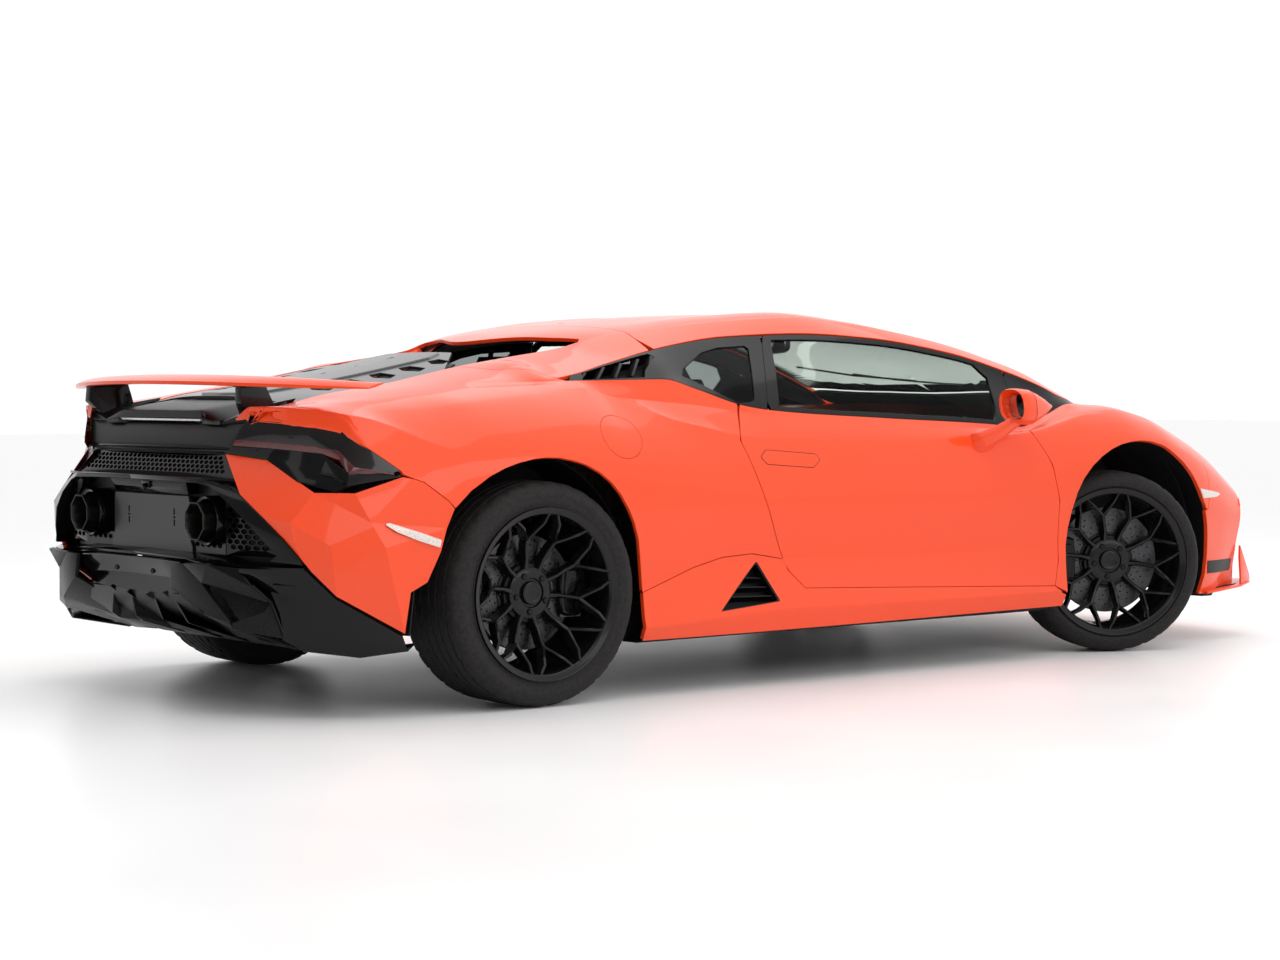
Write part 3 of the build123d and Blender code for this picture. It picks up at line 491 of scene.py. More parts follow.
def dense(pts, step=0.03, close=True):
    out = []
    n = len(pts)
    for i in range(n if close else n - 1):
        a, b = np.array(pts[i], float), np.array(pts[(i + 1) % n], float)
        m = max(1, int(math.ceil(np.linalg.norm(b - a) / step)))
        for k in range(m):
            out.append(tuple(a + (b - a) * k / m))
    if not close:
        out.append(tuple(pts[-1]))
    return out


def rounded(pts, radii):
    """Polygon with its corners rounded; radii is one number or one for each corner."""
    n = len(pts)
    if not hasattr(radii, "__len__"):
        radii = [radii] * n
    out = []
    for i in range(n):
        p, a, b = (np.array(pts[j % n], float) for j in (i, i - 1, i + 1))
        r = radii[i]
        if r <= 0:
            out.append(tuple(p))
            continue
        la, lb = np.linalg.norm(a - p), np.linalg.norm(b - p)
        r = min(r, la * .45, lb * .45)
        s, e = p + (a - p) / la * r, p + (b - p) / lb * r
        for t in (0, .25, .5, .75, 1):
            out.append(tuple((1 - t) ** 2 * s + 2 * t * (1 - t) * p + t * t * e))
    return out


def inside(poly, x, y):
    """Which points (arrays) lie in the polygon."""
    px, py = np.array([p[0] for p in poly]), np.array([p[1] for p in poly])
    x, y = np.asarray(x, float), np.asarray(y, float)
    c = np.zeros(x.shape, bool)
    j = len(px) - 1
    for i in range(len(px)):
        cond = ((py[i] > y) != (py[j] > y))
        with np.errstate(divide="ignore", invalid="ignore"):
            c ^= cond & (x < (px[j] - px[i]) * (y - py[i]) / (py[j] - py[i] + 1e-15) + px[i])
        j = i
    return c


def flat_master(p):
    return (p[0], p[2] - p[1])


def cut(skin, outline, holes=(), flat=flat_master, back=(0, -1, -1)):
    """Pieces of a skin's cells inside an outline given as 3-D points on it, less the holes.
    flat is the chart in which the skin doesn't fold; back is the direction that the chart looks along.
    Returns points, normals and faces."""
    loops = [outline] + list(holes)
    F = np.array([flat(p) for p in skin.P])
    polys = [[flat(p) for p in l] for l in loops]
    o = np.array(polys[0])
    lo, hi = o.min(0) - .05, o.max(0) + .05
    ok = ((F[skin.cells] >= lo) & (F[skin.cells] <= hi)).all(2).all(1)
    cells = skin.cells[ok]
    used = np.unique(cells)
    index = {int(g): k for k, g in enumerate(used)}
    pts2 = [tuple(F[g]) for g in used]
    pts3 = [skin.P[g] for g in used]
    nrm = [skin.NN[g] for g in used]
    edges = []
    for l, pl in zip(loops, polys):
        s = len(pts2)
        for p, q in zip(l, pl):
            loc, n = skin.near(p)
            pts2.append(q)
            pts3.append(np.array(p, float))
            nrm.append(n)
        edges += [(s + i, s + (i + 1) % len(l)) for i in range(len(l))]
    faces = [[index[int(g)] for g in c] for c in cells]
    res = delaunay_2d_cdt([Vector(p) for p in pts2], edges, faces, 2, 1e-7, True)
    v2, fs, vorig = res[0], res[2], res[3]
    back = Vector(back)
    P3, N3 = [], []
    for k, v in enumerate(v2):
        src = vorig[k]
        if src:
            # an outline point wins over a grid point
            s = max(src)
            P3.append(pts3[s])
            N3.append(nrm[s])
        else:
            P3.append(None)
            N3.append(None)
    keep = []
    cx = np.array([np.mean([v2[i][0] for i in f]) for f in fs])
    cy = np.array([np.mean([v2[i][1] for i in f]) for f in fs])
    m = inside(polys[0], cx, cy)
    for h in polys[1:]:
        m &= ~inside(h, cx, cy)
    for f, g in zip(fs, m):
        if g and len(f) > 2:
            keep.append(list(f))
    need = sorted({i for f in keep for i in f})
    remap = {}
    P, N = [], []
    for i in need:
        if P3[i] is None:
            a = np.array([v2[i][0], 0.0, v2[i][1]])      # chart x, and z - y with y = 0
            o3 = a - np.array(back) * 3.0
            p, n = skin.hit(o3, back)
            P.append(p)
            N.append(n)
        else:
            P.append(P3[i])
            N.append(N3[i])
        remap[i] = len(P) - 1
    return np.array(P), np.array(N), [[remap[i] for i in f] for f in keep]


def solid(name, P, N, faces, thick=0.014, mirror=False, lip=0.0012, mat="paint", replaces=None, body="root", outward=(0, 1, 0),
          inner=None):
    """Closed sheet of metal from a cut skin: outer face, a small round at the edge, the return and the inner face."""
    P, N = np.array(P), np.array(N)
    faces = [list(f) for f in faces]
    # all faces turned the way of their normals
    for f in faces:
        a = np.zeros(3)
        for i in range(1, len(f) - 1):
            a += np.cross(P[f[i]] - P[f[0]], P[f[i + 1]] - P[f[0]])
        if np.dot(a, N[f].mean(0)) < 0:
            f.reverse()
    count = {}
    for f in faces:
        for i in range(len(f)):
            count[(f[i], f[(i + 1) % len(f)])] = 1
    rim = [(a, b) for (a, b) in count if (b, a) not in count]
    # outward direction in the surface at the rim, for the round
    nv = len(P)
    verts = [P, P - N * thick]
    edge_dir = np.zeros_like(P)
    for a, b in rim:
        d = np.cross(P[b] - P[a], N[a])
        d /= np.linalg.norm(d) + 1e-12
        edge_dir[a] += d
        edge_dir[b] += d
    rv = sorted({a for e in rim for a in e})
    lipi = {a: 2 * nv + k for k, a in enumerate(rv)}
    ln = np.linalg.norm(edge_dir, axis=1)[:, None] + 1e-12
    ed = edge_dir / ln
    extra = np.array([P[a] + ed[a] * lip - N[a] * lip * 1.4 for a in rv]) if rv else np.zeros((0, 3))
    base = {a: 2 * nv + len(rv) + k for k, a in enumerate(rv)}
    extra2 = np.array([P[a] + ed[a] * lip - N[a] * thick for a in rv]) if rv else np.zeros((0, 3))
    allv = np.concatenate([P, P - N * thick, extra, extra2])
    # the inner face shares the return's lower points
    fl = [tuple(f) for f in faces]
    normals = [[N[i] for i in f] for f in faces]
    rim_set = set(rv)
    for f in faces:
        g = [base[i] if i in rim_set else i + nv for i in reversed(f)]
        fl.append(tuple(g))
        normals.append([-N[i] for i in reversed(f)])
    for a, b in rim:
        fl.append((b, a, lipi[a], lipi[b]))
        normals.append([N[b], N[a], ed[a], ed[b]])
        fl.append((lipi[b], lipi[a], base[a], base[b]))
        normals.append([ed[b], ed[a], ed[a], ed[b]])
    if mirror:
        allv = allv * np.array([1, -1, 1])
        fl = [tuple(reversed(f)) for f in fl]
        normals = [[n * np.array([1, -1, 1]) for n in reversed(l)] for l in normals]
    return mesh(name, allv, fl, mat, replaces, body, normals)


KEEP_TAIL = ("wing_blade", "wing_posts", "deck_lip", "brake_strip", "tail_band", "tail_blade", "tail_mesh", "tail_mesh_back", "tail_ledge", "plate_",
             "exhaust_", "engine", "cover_", "tyre", "rim", "caliper", "disc", "bell")
EYE = np.array([-4.89033, 7.70414, 1.0035])


def taper(P):
    """The upper tail is narrower in plan than the bumper below it: its corners are drawn in and forward."""
    P = np.array(P, float)
    s = np.where(P[:, 1] < 0, -1.0, 1.0)
    a = np.abs(P[:, 1])
    x, z = P[:, 0], P[:, 2]
    lim = np.interp(z, [.50, .606, .664, .700, .762, .800], [2.60, 2.36, 2.26, 2.187, 2.033, 2.056]) + 2 * x
    e = a - lim + .018
    t = (np.sqrt(e * e + .015 ** 2) + e) * .5 * .78 / 1.87
    w = np.clip((a - .16) / .22, 0, 1)
    w = w * w * (3 - 2 * w) * np.clip((-.30 - x) / .12, 0, 1)
    t = np.where(e < -.12, 0, t) * w
    d = np.stack([x - EYE[0], EYE[1] - a, np.zeros_like(x)], 1)
    d /= np.linalg.norm(d, axis=1)[:, None]
    Q = P.copy()
    Q[:, 0] = x + t * d[:, 0]
    Q[:, 1] = s * (a - t * d[:, 1])
    return Q


def mesh(name, verts, faces, mat="paint", replaces=None, body="root", normals=None, smooth=True, angle=None):
    me = bpy.data.meshes.new(name)
    vs = np.array(verts, float)
    if not name.startswith(KEEP_TAIL) and (vs[:, 0] < -.42).any():
        if normals is not None:
            h = 1e-3
            J = np.stack([(taper(vs + np.eye(3)[k] * h) - taper(vs - np.eye(3)[k] * h)) / (2 * h) for k in range(3)], 2)
            A = np.linalg.inv(J).transpose(0, 2, 1)
            fixed = []
            for f, l in zip(faces, normals):
                row = []
                for i, n in zip(f, l):
                    m = A[int(i)] @ np.array(n, float)
                    row.append(tuple(m / (np.linalg.norm(m) + 1e-12)))
                fixed.append(row)
            normals = fixed
        vs = taper(vs)
    vs = vs + np.array([SX, 0, 0])
    me.from_pydata([tuple(v) for v in vs], [], [tuple(int(i) for i in f) for f in faces])
    # unused points are dropped
    bm = bmesh.new()
    bm.from_mesh(me)
    loose = [v for v in bm.verts if not v.link_faces]
    if loose and normals is None:
        bmesh.ops.delete(bm, geom=loose, context='VERTS')
        bm.to_mesh(me)
    bm.free()
    if loose and normals is not None:
        used = np.zeros(len(vs), bool)
        for f in faces:
            used[list(f)] = True
        re = np.cumsum(used) - 1
        me.clear_geometry()
        me.from_pydata([tuple(v) for v in vs[used]], [], [tuple(int(re[i]) for i in f) for f in faces])
    for p in me.polygons:
        p.use_smooth = smooth
    if normals is not None:
        flatn = [tuple(n) for l in normals for n in l]
        if len(flatn) == len(me.loops):
            me.normals_split_custom_set(flatn)
    elif angle is not None and smooth:
        me.set_sharp_from_angle(angle=math.radians(angle))
    me.materials.append(MATS[mat])
    ob = bpy.data.objects.new(name, me)
    bpy.context.collection.objects.link(ob)
    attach(ob, body)
    if replaces:
        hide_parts(*([replaces] if isinstance(replaces, str) else replaces))
    return ob


# ---------------------------------------------------------------- panels
NAMES = [l[0] for l in LINES]


def line(name, xa, xb, step=0.025, dv=0.0):
    """Points along a body line from x = xa to xb; dv moves it part of the way to the next line up."""
    k = NAMES.index(name) * len(STEPS)
    col = MASTER.G[:, k, :]
    if dv > 0:
        col = col * (1 - dv) + MASTER.G[:, k + len(STEPS), :] * dv
    elif dv < 0:
        col = col * (1 + dv) + MASTER.G[:, k - len(STEPS), :] * -dv
    m = max(1, int(abs(xb - xa) / step))
    xs = np.linspace(xa, xb, m + 1)
    return [(float(x), float(np.interp(x, col[:, 0], col[:, 1])), float(np.interp(x, col[:, 0], col[:, 2]))) for x in xs]


def S(pts, step=0.03, r=0.0):
    """Side view points (x, z) put on the body, with the run between them."""
    pts = rounded_open(pts, r) if r else pts
    return [tuple(MASTER.side(*p)) for p in dense(pts, step, close=False)]


def T(pts, step=0.03, r=0.0):
    """Plan view points (x, y) put on the body."""
    pts = rounded_open(pts, r) if r else pts
    return [tuple(MASTER.top(*p)) for p in dense(pts, step, close=False)]


def rounded_open(pts, r):
    q = rounded(pts, [0] + [r] * (len(pts) - 2) + [0])
    return q


def P3(pts, step=0.03):
    """3-D points and the straight run between them, put on the body."""
    return [tuple(MASTER.near(p)[0]) for p in dense(pts, step, close=False)]


def shrink(loop, d, flat=flat_master, back=(0, -1, -1), skin=None):
    """Loop moved inwards by d in the chart, and put back on the skin."""
    skin = skin or MASTER
    q = np.array([flat(p) for p in loop])
    keep = [0]
    for i in range(1, len(q)):
        if np.linalg.norm(q[i] - q[keep[-1]]) > 0.0015:
            keep.append(i)
    if np.linalg.norm(q[keep[-1]] - q[0]) < 0.0015:
        keep.pop()
    q = q[keep]
    loop = [loop[i] for i in keep]
    if d == 0:
        return loop
    area = 0.5 * sum(q[i][0] * q[(i + 1) % len(q)][1] - q[(i + 1) % len(q)][0] * q[i][1] for i in range(len(q)))
    s = 1.0 if area > 0 else -1.0
    out = []
    n = len(q)
    for i in range(n):
        a = q[i] - q[i - 1]
        b = q[(i + 1) % n] - q[i]
        a /= np.linalg.norm(a) + 1e-12
        b /= np.linalg.norm(b) + 1e-12
        na, nb = np.array([-a[1], a[0]]) * s, np.array([-b[1], b[0]]) * s
        m = na + nb
        l = np.linalg.norm(m)
        m = na if l < 0.3 else m / l / max(0.5, np.dot(m / l, na))
        c = q[i] + m * d
        if abs(loop[i][1]) < 1e-4:          # on the centre line
            out.append(tuple(skin.top(c[0], 0.0)) if skin is MASTER else loop[i])
            out[-1] = (out[-1][0], 0.0, out[-1][2])
            continue
        o = np.array([c[0], 0.0, c[1]]) - np.array(back, float) * 3.0
        out.append(tuple(skin.hit(o, back)[0]))
    return out


def centred(loop):
    """Adds points along the centre line where the loop runs on it."""
    out = []
    n = len(loop)
    for i in range(n):
        a, b = loop[i], loop[(i + 1) % n]
        out.append(a)
        if abs(a[1]) < 1e-4 and abs(b[1]) < 1e-4:
            m = max(1, int(abs(b[0] - a[0]) / .02))
            for k in range(1, m):
                x = a[0] + (b[0] - a[0]) * k / m
                p = MASTER.top(x, 0.0)
                out.append((float(p[0]), 0.0, float(p[2])))
    return out


def full(P, N, faces):
    """A half skin and its mirror image, joined on the centre line."""
    P, N = np.array(P), np.array(N)
    n = len(P)
    on = np.abs(P[:, 1]) < 2e-4
    P[on, 1] = 0
    N[on, 1] = 0
    N[on] /= np.linalg.norm(N[on], axis=1)[:, None] + 1e-12
    remap = np.arange(n)
    extra, en = [], []
    for i in range(n):
        if not on[i]:
            remap[i] = n + len(extra)
            extra.append(P[i] * [1, -1, 1])
            en.append(N[i] * [1, -1, 1])
    P2, N2 = np.concatenate([P, extra]), np.concatenate([N, en])
    f2 = [list(f) for f in faces] + [[int(remap[i]) for i in reversed(f)] for f in faces]
    return P2, N2, f2


def panel(name, loop, holes=(), gap=0.002, hole_gap=0.0, thick=0.014, mat="paint", replaces=None, body="root", sides="both",
          push=0.0, lip=0.0012):
    """A panel cut from the body's surface. sides: both gives a left and a right one, left, right, or across."""
    if sides == "across":
        loop = centred(loop)
    loop = shrink(loop, gap)
    holes = [shrink(h, -hole_gap) for h in holes]
    P, N, F = cut(MASTER, loop, holes)
    if push:
        P = P + N * push
    made = []
    if sides == "across":
        P, N, F = full(P, N, F)
        return solid(name, P, N, F, thick, False, lip, mat, replaces, body)
    for side, flip in (("left", False), ("right", True)):
        if sides in ("both", side):
            rep = [r.replace("SIDE", side) for r in replaces] if replaces else None
            made.append(solid(name + "_" + side, P, N, F, thick, flip, lip, mat, rep, body.replace("SIDE", side)))
    return made


ARCH_R = [(-.405, .250), (-.412, .400), (-.395, .490), (-.365, .560), (-.325, .617), (-.27, .668), (-.205, .709),
          (-.150, .733), (-.098, .748), (-.045, .758), (.0, .761), (.05, .759), (.098, .750), (.15, .735), (.20, .710),
          (.245, .678), (.283, .640), (.315, .595), (.340, .548), (.360, .497), (.371, .443), (.379, .385), (.382, .330),
          (.386, .25), (.388, .172)]
ARCH_F = [(2.288, .178), (2.289, .300), (2.292, .395), (2.300, .460), (2.315, .522), (2.338, .582), (2.370, .632),
          (2.411, .675), (2.459, .709), (2.51, .734), (2.564, .751), (2.62, .760), (2.678, .762), (2.735, .757),
          (2.794, .744), (2.840, .724), (2.882, .701), (2.922, .677), (2.956, .651), (2.984, .626), (3.006, .600), (3.026, .571), (3.041, .542),
          (3.055, .509), (3.066, .475), (3.078, .437), (3.084, .400), (3.084, .360), (3.079, .314), (3.064, .242), (3.055, .180)]


def arch_part(a, x0, x1, z0=None):
    return [p for p in a if x0 <= p[0] <= x1]


DOOR_REAR = [(1.064, .309), (.999, .371), (.806, .799), (.852, .905)]
DOOR_FRONT = [(2.135, .822), (2.150, .790), (2.216, .684), (2.251, .559), (2.253, .346), (2.226, .257)]
i_seam = 4          # where the bumper's seam meets the rear arch

# door: belt line, rear edge, bottom, front edge
door_loop = (line("glass_low", 2.140, .862) + S(rounded_open(list(reversed(DOOR_REAR)), .02)[1:]) +
             S([(1.064, .309), (2.226, .257)], .05)[1:] + S(rounded_open(list(reversed(DOOR_FRONT)), .03)[1:])[:-1])
panel("door_skin", door_loop, gap=0.0022, thick=0.016, replaces=["door_SIDE"], body="door_SIDE")

# sill, with the hole of its vent
VENT = [(.868, .410), (.955, .268), (.672, .246), (.712, .272)]
sill_loop = (S([(.384, .330), (.60, .398), (.72, .424), (.85, .430), (.985, .407), (.999, .371), (1.064, .309), (2.226, .257),
                (2.262, .232)], .04) + S([(2.286, .225), (2.286, .181)], .02) + line("edge", 2.284, .392, .05) +
             S([(.386, .20), (.3835, .25)], .03))
panel("sill_skin", sill_loop, holes=[S(rounded([(.868, .408), (.950, .272), (.690, .252)], .012) +
                                      [rounded([(.868, .408), (.950, .272), (.690, .252)], .012)[0]], .03)[:-1]],
      thick=0.016, replaces=["side_sills"])

# rear quarter: haunch, shelf beside the cover and the strip over the tail lamp
quarter_loop = (S(list(reversed(DOOR_REAR))[:-1] + [(.999, .371)], .03) + S([(.985, .407), (.85, .430), (.72, .424), (.60, .398),
                                                                           (.384, .330)], .03) +
                S(list(reversed([p for p in ARCH_R if p[1] > .31 and p[0] > 0.0])), .05) +
                S([p for p in reversed(ARCH_R) if p[0] <= 0.0 and p[1] > .62], .05) +
                S([(-.325, .617), (-.345, .640), (-.417, .697), (-.447, .708), (-.480, .722)], .02) +
                P3([(-.485, .902, .731), (-.57, .868, .795), (-.64, .825, .850), (-.728, .775, .868), (-.80, .64, .880),
                    (-.812, .60, .884)], .02) +
                P3([(-.812, .592, .896), (-.797, .555, .911), (-.765, .485, .917), (-.722, .435, .917)], .02) +
                line("cant", -.722, .016, .03)[1:] +
                P3([(.016, .45, 1.040), (.060, .59, 1.010), (.144, .665, .993), (.205, .715, .990)], .02)[1:] +
                line("glass_low", .235, .852, .02))
panel("quarter_skin", quarter_loop, holes=[], thick=0.014, replaces=["rear_quarter_SIDE"], sides="left")
cap_c, cap_n = MASTER.near((.317, .93, .826))
cap_u = np.cross(cap_n, [0, 0, 1.0])
cap_u /= np.linalg.norm(cap_u)
cap_w = np.cross(cap_u, cap_n)
cap_hole = [tuple(MASTER.near(cap_c + .0815 * (math.cos(a) * cap_u + math.sin(a) * cap_w))[0]) for a in np.linspace(0, 2 * math.pi, 49)[:-1]]
panel("quarter_skin", quarter_loop, holes=[cap_hole], thick=0.014, replaces=["rear_quarter_SIDE"], sides="right")

# front fender
fender_loop = (S(DOOR_FRONT, .03) + S([(2.262, .232), (2.286, .225)], .03)[1:] +
               S([p for p in ARCH_F if p[1] >= .225 and p[0] < 2.5], .06)[1:] +
               S([p for p in ARCH_F if p[0] >= 2.5 and (p[0] < 3.05 and p[1] > .49)], .06) +
               S([(3.060, .494), (3.082, .500), (3.100, .56), (3.108, .62)], .02)[1:] +
               P3([(3.105, .873, .640), (3.092, .82, .715), (3.075, .74, .765), (3.06, .66, .785), (3.02, .50, .80)], .03) +
               T([(3.00, .492), (2.80, .560), (2.64, .595), (2.60, .62)], .03)[1:] +
               P3([(2.60, .62, .905), (2.585, .69, .90)], .03)[1:] + line("glass_low", 2.573, 2.140, .02))
panel("fender_skin", fender_loop, thick=0.014, replaces=["front_fender_SIDE"])

# hood
hood_loop = (T([(2.655, 0), (2.650, .15), (2.635, .32), (2.612, .48), (2.60, .62)], .04) +
             T([(2.64, .595), (2.80, .560), (3.00, .492), (3.14, .42), (3.25, .33), (3.31, .22), (3.325, .10), (3.33, 0.0)], .04))
panel("hood_skin", hood_loop, thick=0.016, replaces=["hood"], body="hood", sides="across")

# roof behind and in front of its seam, with the buttresses
SEAM = [(.628, .590), (.632, .56), (.640, .45), (.655, .20), (.660, .0)]
roof_loop = (T([(1.545, 0), (1.545, .2), (1.552, .36), (1.575, .475), (1.62, .532)], .03) +
             [p for p in line("cant", 1.66, 2.52, .03, dv=.10)] + P3([(2.58, .655, .906), (2.60, .62, .905)], .02)[:1] +
             P3([(2.585, .69, .90)], .02) + line("glass_top", 2.565, .640, .02) +
             T(SEAM[0:1] + SEAM[1:], .03))
panel("roof_skin", roof_loop, thick=0.014, replaces=["roof"], sides="across")
rear_roof_loop = (T(list(reversed(SEAM)), .03) + line("glass_top", .620, .215, .02) +
                  P3([(.205, .715, .990), (.144, .665, .993), (.060, .59, 1.010), (.016, .45, 1.040)], .02) +
                  line("cant", .022, .48, .02)[1:] + T([(.500, .452), (.478, .38), (.427, .26), (.365, .13), (.335, .05), (.330, .0)], .03))
panel("roof_rear_skin", rear_roof_loop, thick=0.012, sides="across")


# linings: the roof's inside and the doors' inner panels
panel("headliner", roof_loop, gap=0.014, thick=0.003, mat="alcantara", push=-.018, sides="across", lip=.0004)
DOOR_IN = (line("glass_low", 2.100, .900) + S(rounded_open(list(reversed(DOOR_REAR)), .02)[1:]) +
           S([(1.064, .309), (2.226, .257)], .05)[1:] + S(rounded_open(list(reversed(DOOR_FRONT)), .03)[1:])[:-1])
panel("door_lining", door_loop, gap=0.020, thick=0.004, mat="leather", push=-.034, body="door_SIDE", lip=.0004)


# ---------------------------------------------------------------- small builders
class Build:
    """Collects closed shapes in a local frame, then makes one mesh of them."""

    def __init__(self, xf=None):
        self.v, self.f, self.n, self.mi = [], [], 0, []
        self.xf = xf or (lambda p: p)
        self.slot = 0

    def add(self, verts, faces):
        verts = np.asarray(verts, float)
        self.v.append(verts)
        self.f += [tuple(int(i) + self.n for i in f) for f in faces]
        self.mi += [self.slot] * len(faces)
        self.n += len(verts)

    def make(self, name, mats, replaces=None, body="root", smooth=True, angle=35, bevel=0.0, mirror=False):
        P = self.xf(np.concatenate(self.v))
        f = self.f
        if mirror:
            P = P * np.array([1, -1, 1])
        ob = mesh(name, P, f, mats if isinstance(mats, str) else mats[0], replaces, body, None, smooth)
        bm = bmesh.new()
        bm.from_mesh(ob.data)
        bmesh.ops.recalc_face_normals(bm, faces=bm.faces)
        if bevel:
            es = [e for e in bm.edges if len(e.link_faces) == 2 and e.calc_face_angle(0) > math.radians(28)]
            bmesh.ops.bevel(bm, geom=es, offset=bevel, segments=2, profile=0.6, affect='EDGES', clamp_overlap=True)
        bm.to_mesh(ob.data)
        bm.free()
        if not isinstance(mats, str):
            for m in mats[1:]:
                ob.data.materials.append(MATS[m])
            if not bevel and len(self.mi) == len(ob.data.polygons):
                for p, i in zip(ob.data.polygons, self.mi):
                    p.material_index = i
        for p in ob.data.polygons:
            p.use_smooth = smooth
        if smooth:
            ob.data.set_sharp_from_angle(angle=math.radians(angle))
        return ob


def revolve(prof, seg, closed=True, wave=None):
    """Profile of (r, z) turned about z. wave(k, j) may change a point's radius."""
    v, f = [], []
    n = len(prof)
    for j in range(seg):
        a = 2 * math.pi * j / seg
        c, s = math.cos(a), math.sin(a)
        for k, (r, z) in enumerate(prof):
            rr = r + (wave(k, j) if wave else 0.0)
            v.append((rr * c, rr * s, z))
    for j in range(seg):
        j2 = (j + 1) % seg
        for k in range(n if closed else n - 1):
            k2 = (k + 1) % n
            f.append((j * n + k, j * n + k2, j2 * n + k2, j2 * n + k))
    return np.array(v), f


def prism(outline, z0, z1, top_scale=1.0, centre=None):
    """Convex or concave polygon drawn up from z0 to z1, closed."""
    n = len(outline)
    o = np.array(outline, float)
    c = o.mean(0) if centre is None else np.array(centre)
    t = c + (o - c) * top_scale
    v = [(x, y, z0) for x, y in o] + [(x, y, z1) for x, y in t]
    f = [tuple(range(n - 1, -1, -1)), tuple(range(n, 2 * n))]
    f += [(i, (i + 1) % n, n + (i + 1) % n, n + i) for i in range(n)]
    return np.array(v), f


def plate(outline, holes, z0, z1):
    """Plate with holes: a polygon less some polygons, drawn from z0 to z1."""
    loops = [outline] + list(holes)
    pts, edges = [], []
    for l in loops:
        s = len(pts)
        pts += [Vector(p) for p in l]
        edges += [(s + i, s + (i + 1) % len(l)) for i in range(len(l))]
    v2, e2, fs, ov, oe, of = delaunay_2d_cdt(pts, edges, [], 1, 1e-7, True)
    cx = np.array([np.mean([v2[i][0] for i in f]) for f in fs])
    cy = np.array([np.mean([v2[i][1] for i in f]) for f in fs])
    m = inside(outline, cx, cy)
    for h in holes:
        m &= ~inside(h, cx, cy)
    tri = [tuple(f) for f, k in zip(fs, m) if k]
    n = len(v2)
    v = [(p[0], p[1], z1) for p in v2] + [(p[0], p[1], z0) for p in v2]
    f = []
    cnt = {}
    for t in tri:
        for i in range(3):
            cnt[(t[i], t[(i + 1) % 3])] = 1
    for t in tri:
        f.append(t)
        f.append(tuple(n + i for i in reversed(t)))
    for (a, b) in cnt:
        if (b, a) not in cnt:
            f.append((b, a, n + a, n + b))
    return np.array(v), f


def bar(pts, widths, depths, flat=(0, 0, 1), taper=1.5, chamfer=0.22):
    """A closed bar along points: narrow on the side of flat, wider below."""
    pts = [np.array(p, float) for p in pts]
    up = np.array(flat, float)
    v, f = [], []
    m = len(pts)
    for i, p in enumerate(pts):
        d = pts[min(i + 1, m - 1)] - pts[max(i - 1, 0)]
        d /= np.linalg.norm(d)
        s = np.cross(d, up)
        s /= np.linalg.norm(s)
        u = np.cross(s, d)
        w, h = widths[i] / 2, depths[i]
        c = w * chamfer * 2
        v += [p + s * (w - c), p + s * w - u * c, p + s * w * taper - u * h, p - s * w * taper - u * h, p - s * w - u * c,
              p - s * (w - c)]
    for i in range(m - 1):
        for k in range(6):
            a, b = i * 6 + k, i * 6 + (k + 1) % 6
            f.append((a, b, b + 6, a + 6))
    f.append(tuple(range(5, -1, -1)))
    f.append(tuple(range((m - 1) * 6, m * 6)))
    return np.array(v), f


def ring(r, n, a0=0.0, c=(0, 0)):
    return [(c[0] + r * math.cos(a0 + 2 * math.pi * i / n), c[1] + r * math.sin(a0 + 2 * math.pi * i / n)) for i in range(n)]


def chamfered(outline, z0, z1, c):
    """Prism whose top edge is cut back by c."""
    o = np.array(outline, float)
    n = len(o)
    cen = o.mean(0)
    rad = np.linalg.norm(o - cen, axis=1).mean()
    t = cen + (o - cen) * (1 - c / rad)
    v = [(x, y, z0) for x, y in o] + [(x, y, z1 - c) for x, y in o] + [(x, y, z1) for x, y in t]
    f = [tuple(range(n - 1, -1, -1)), tuple(range(2 * n, 3 * n))]
    for k in (0, n):
        f += [(k + i, k + (i + 1) % n, k + n + (i + 1) % n, k + n + i) for i in range(n)]
    return np.array(v), f


# ---------------------------------------------------------------- wheels
def wheel_frame(x, y, z, turn=0.0, pivot=None, mirror=False):
    py = y if pivot is None else pivot
    a = math.radians(turn)
    o = np.array([x - (y - py) * math.sin(a), py + (y - py) * math.cos(a), z])
    ex, ez = np.array([-math.cos(a), -math.sin(a), 0]), np.array([-math.sin(a), math.cos(a), 0])
    ey = np.array([0, 0, 1.0])
    M = np.stack([ex, ey, ez])

    def go(p):
        q = np.asarray(p, float) @ M + o
        return q * np.array([1, -1, 1]) if mirror else q
    return go


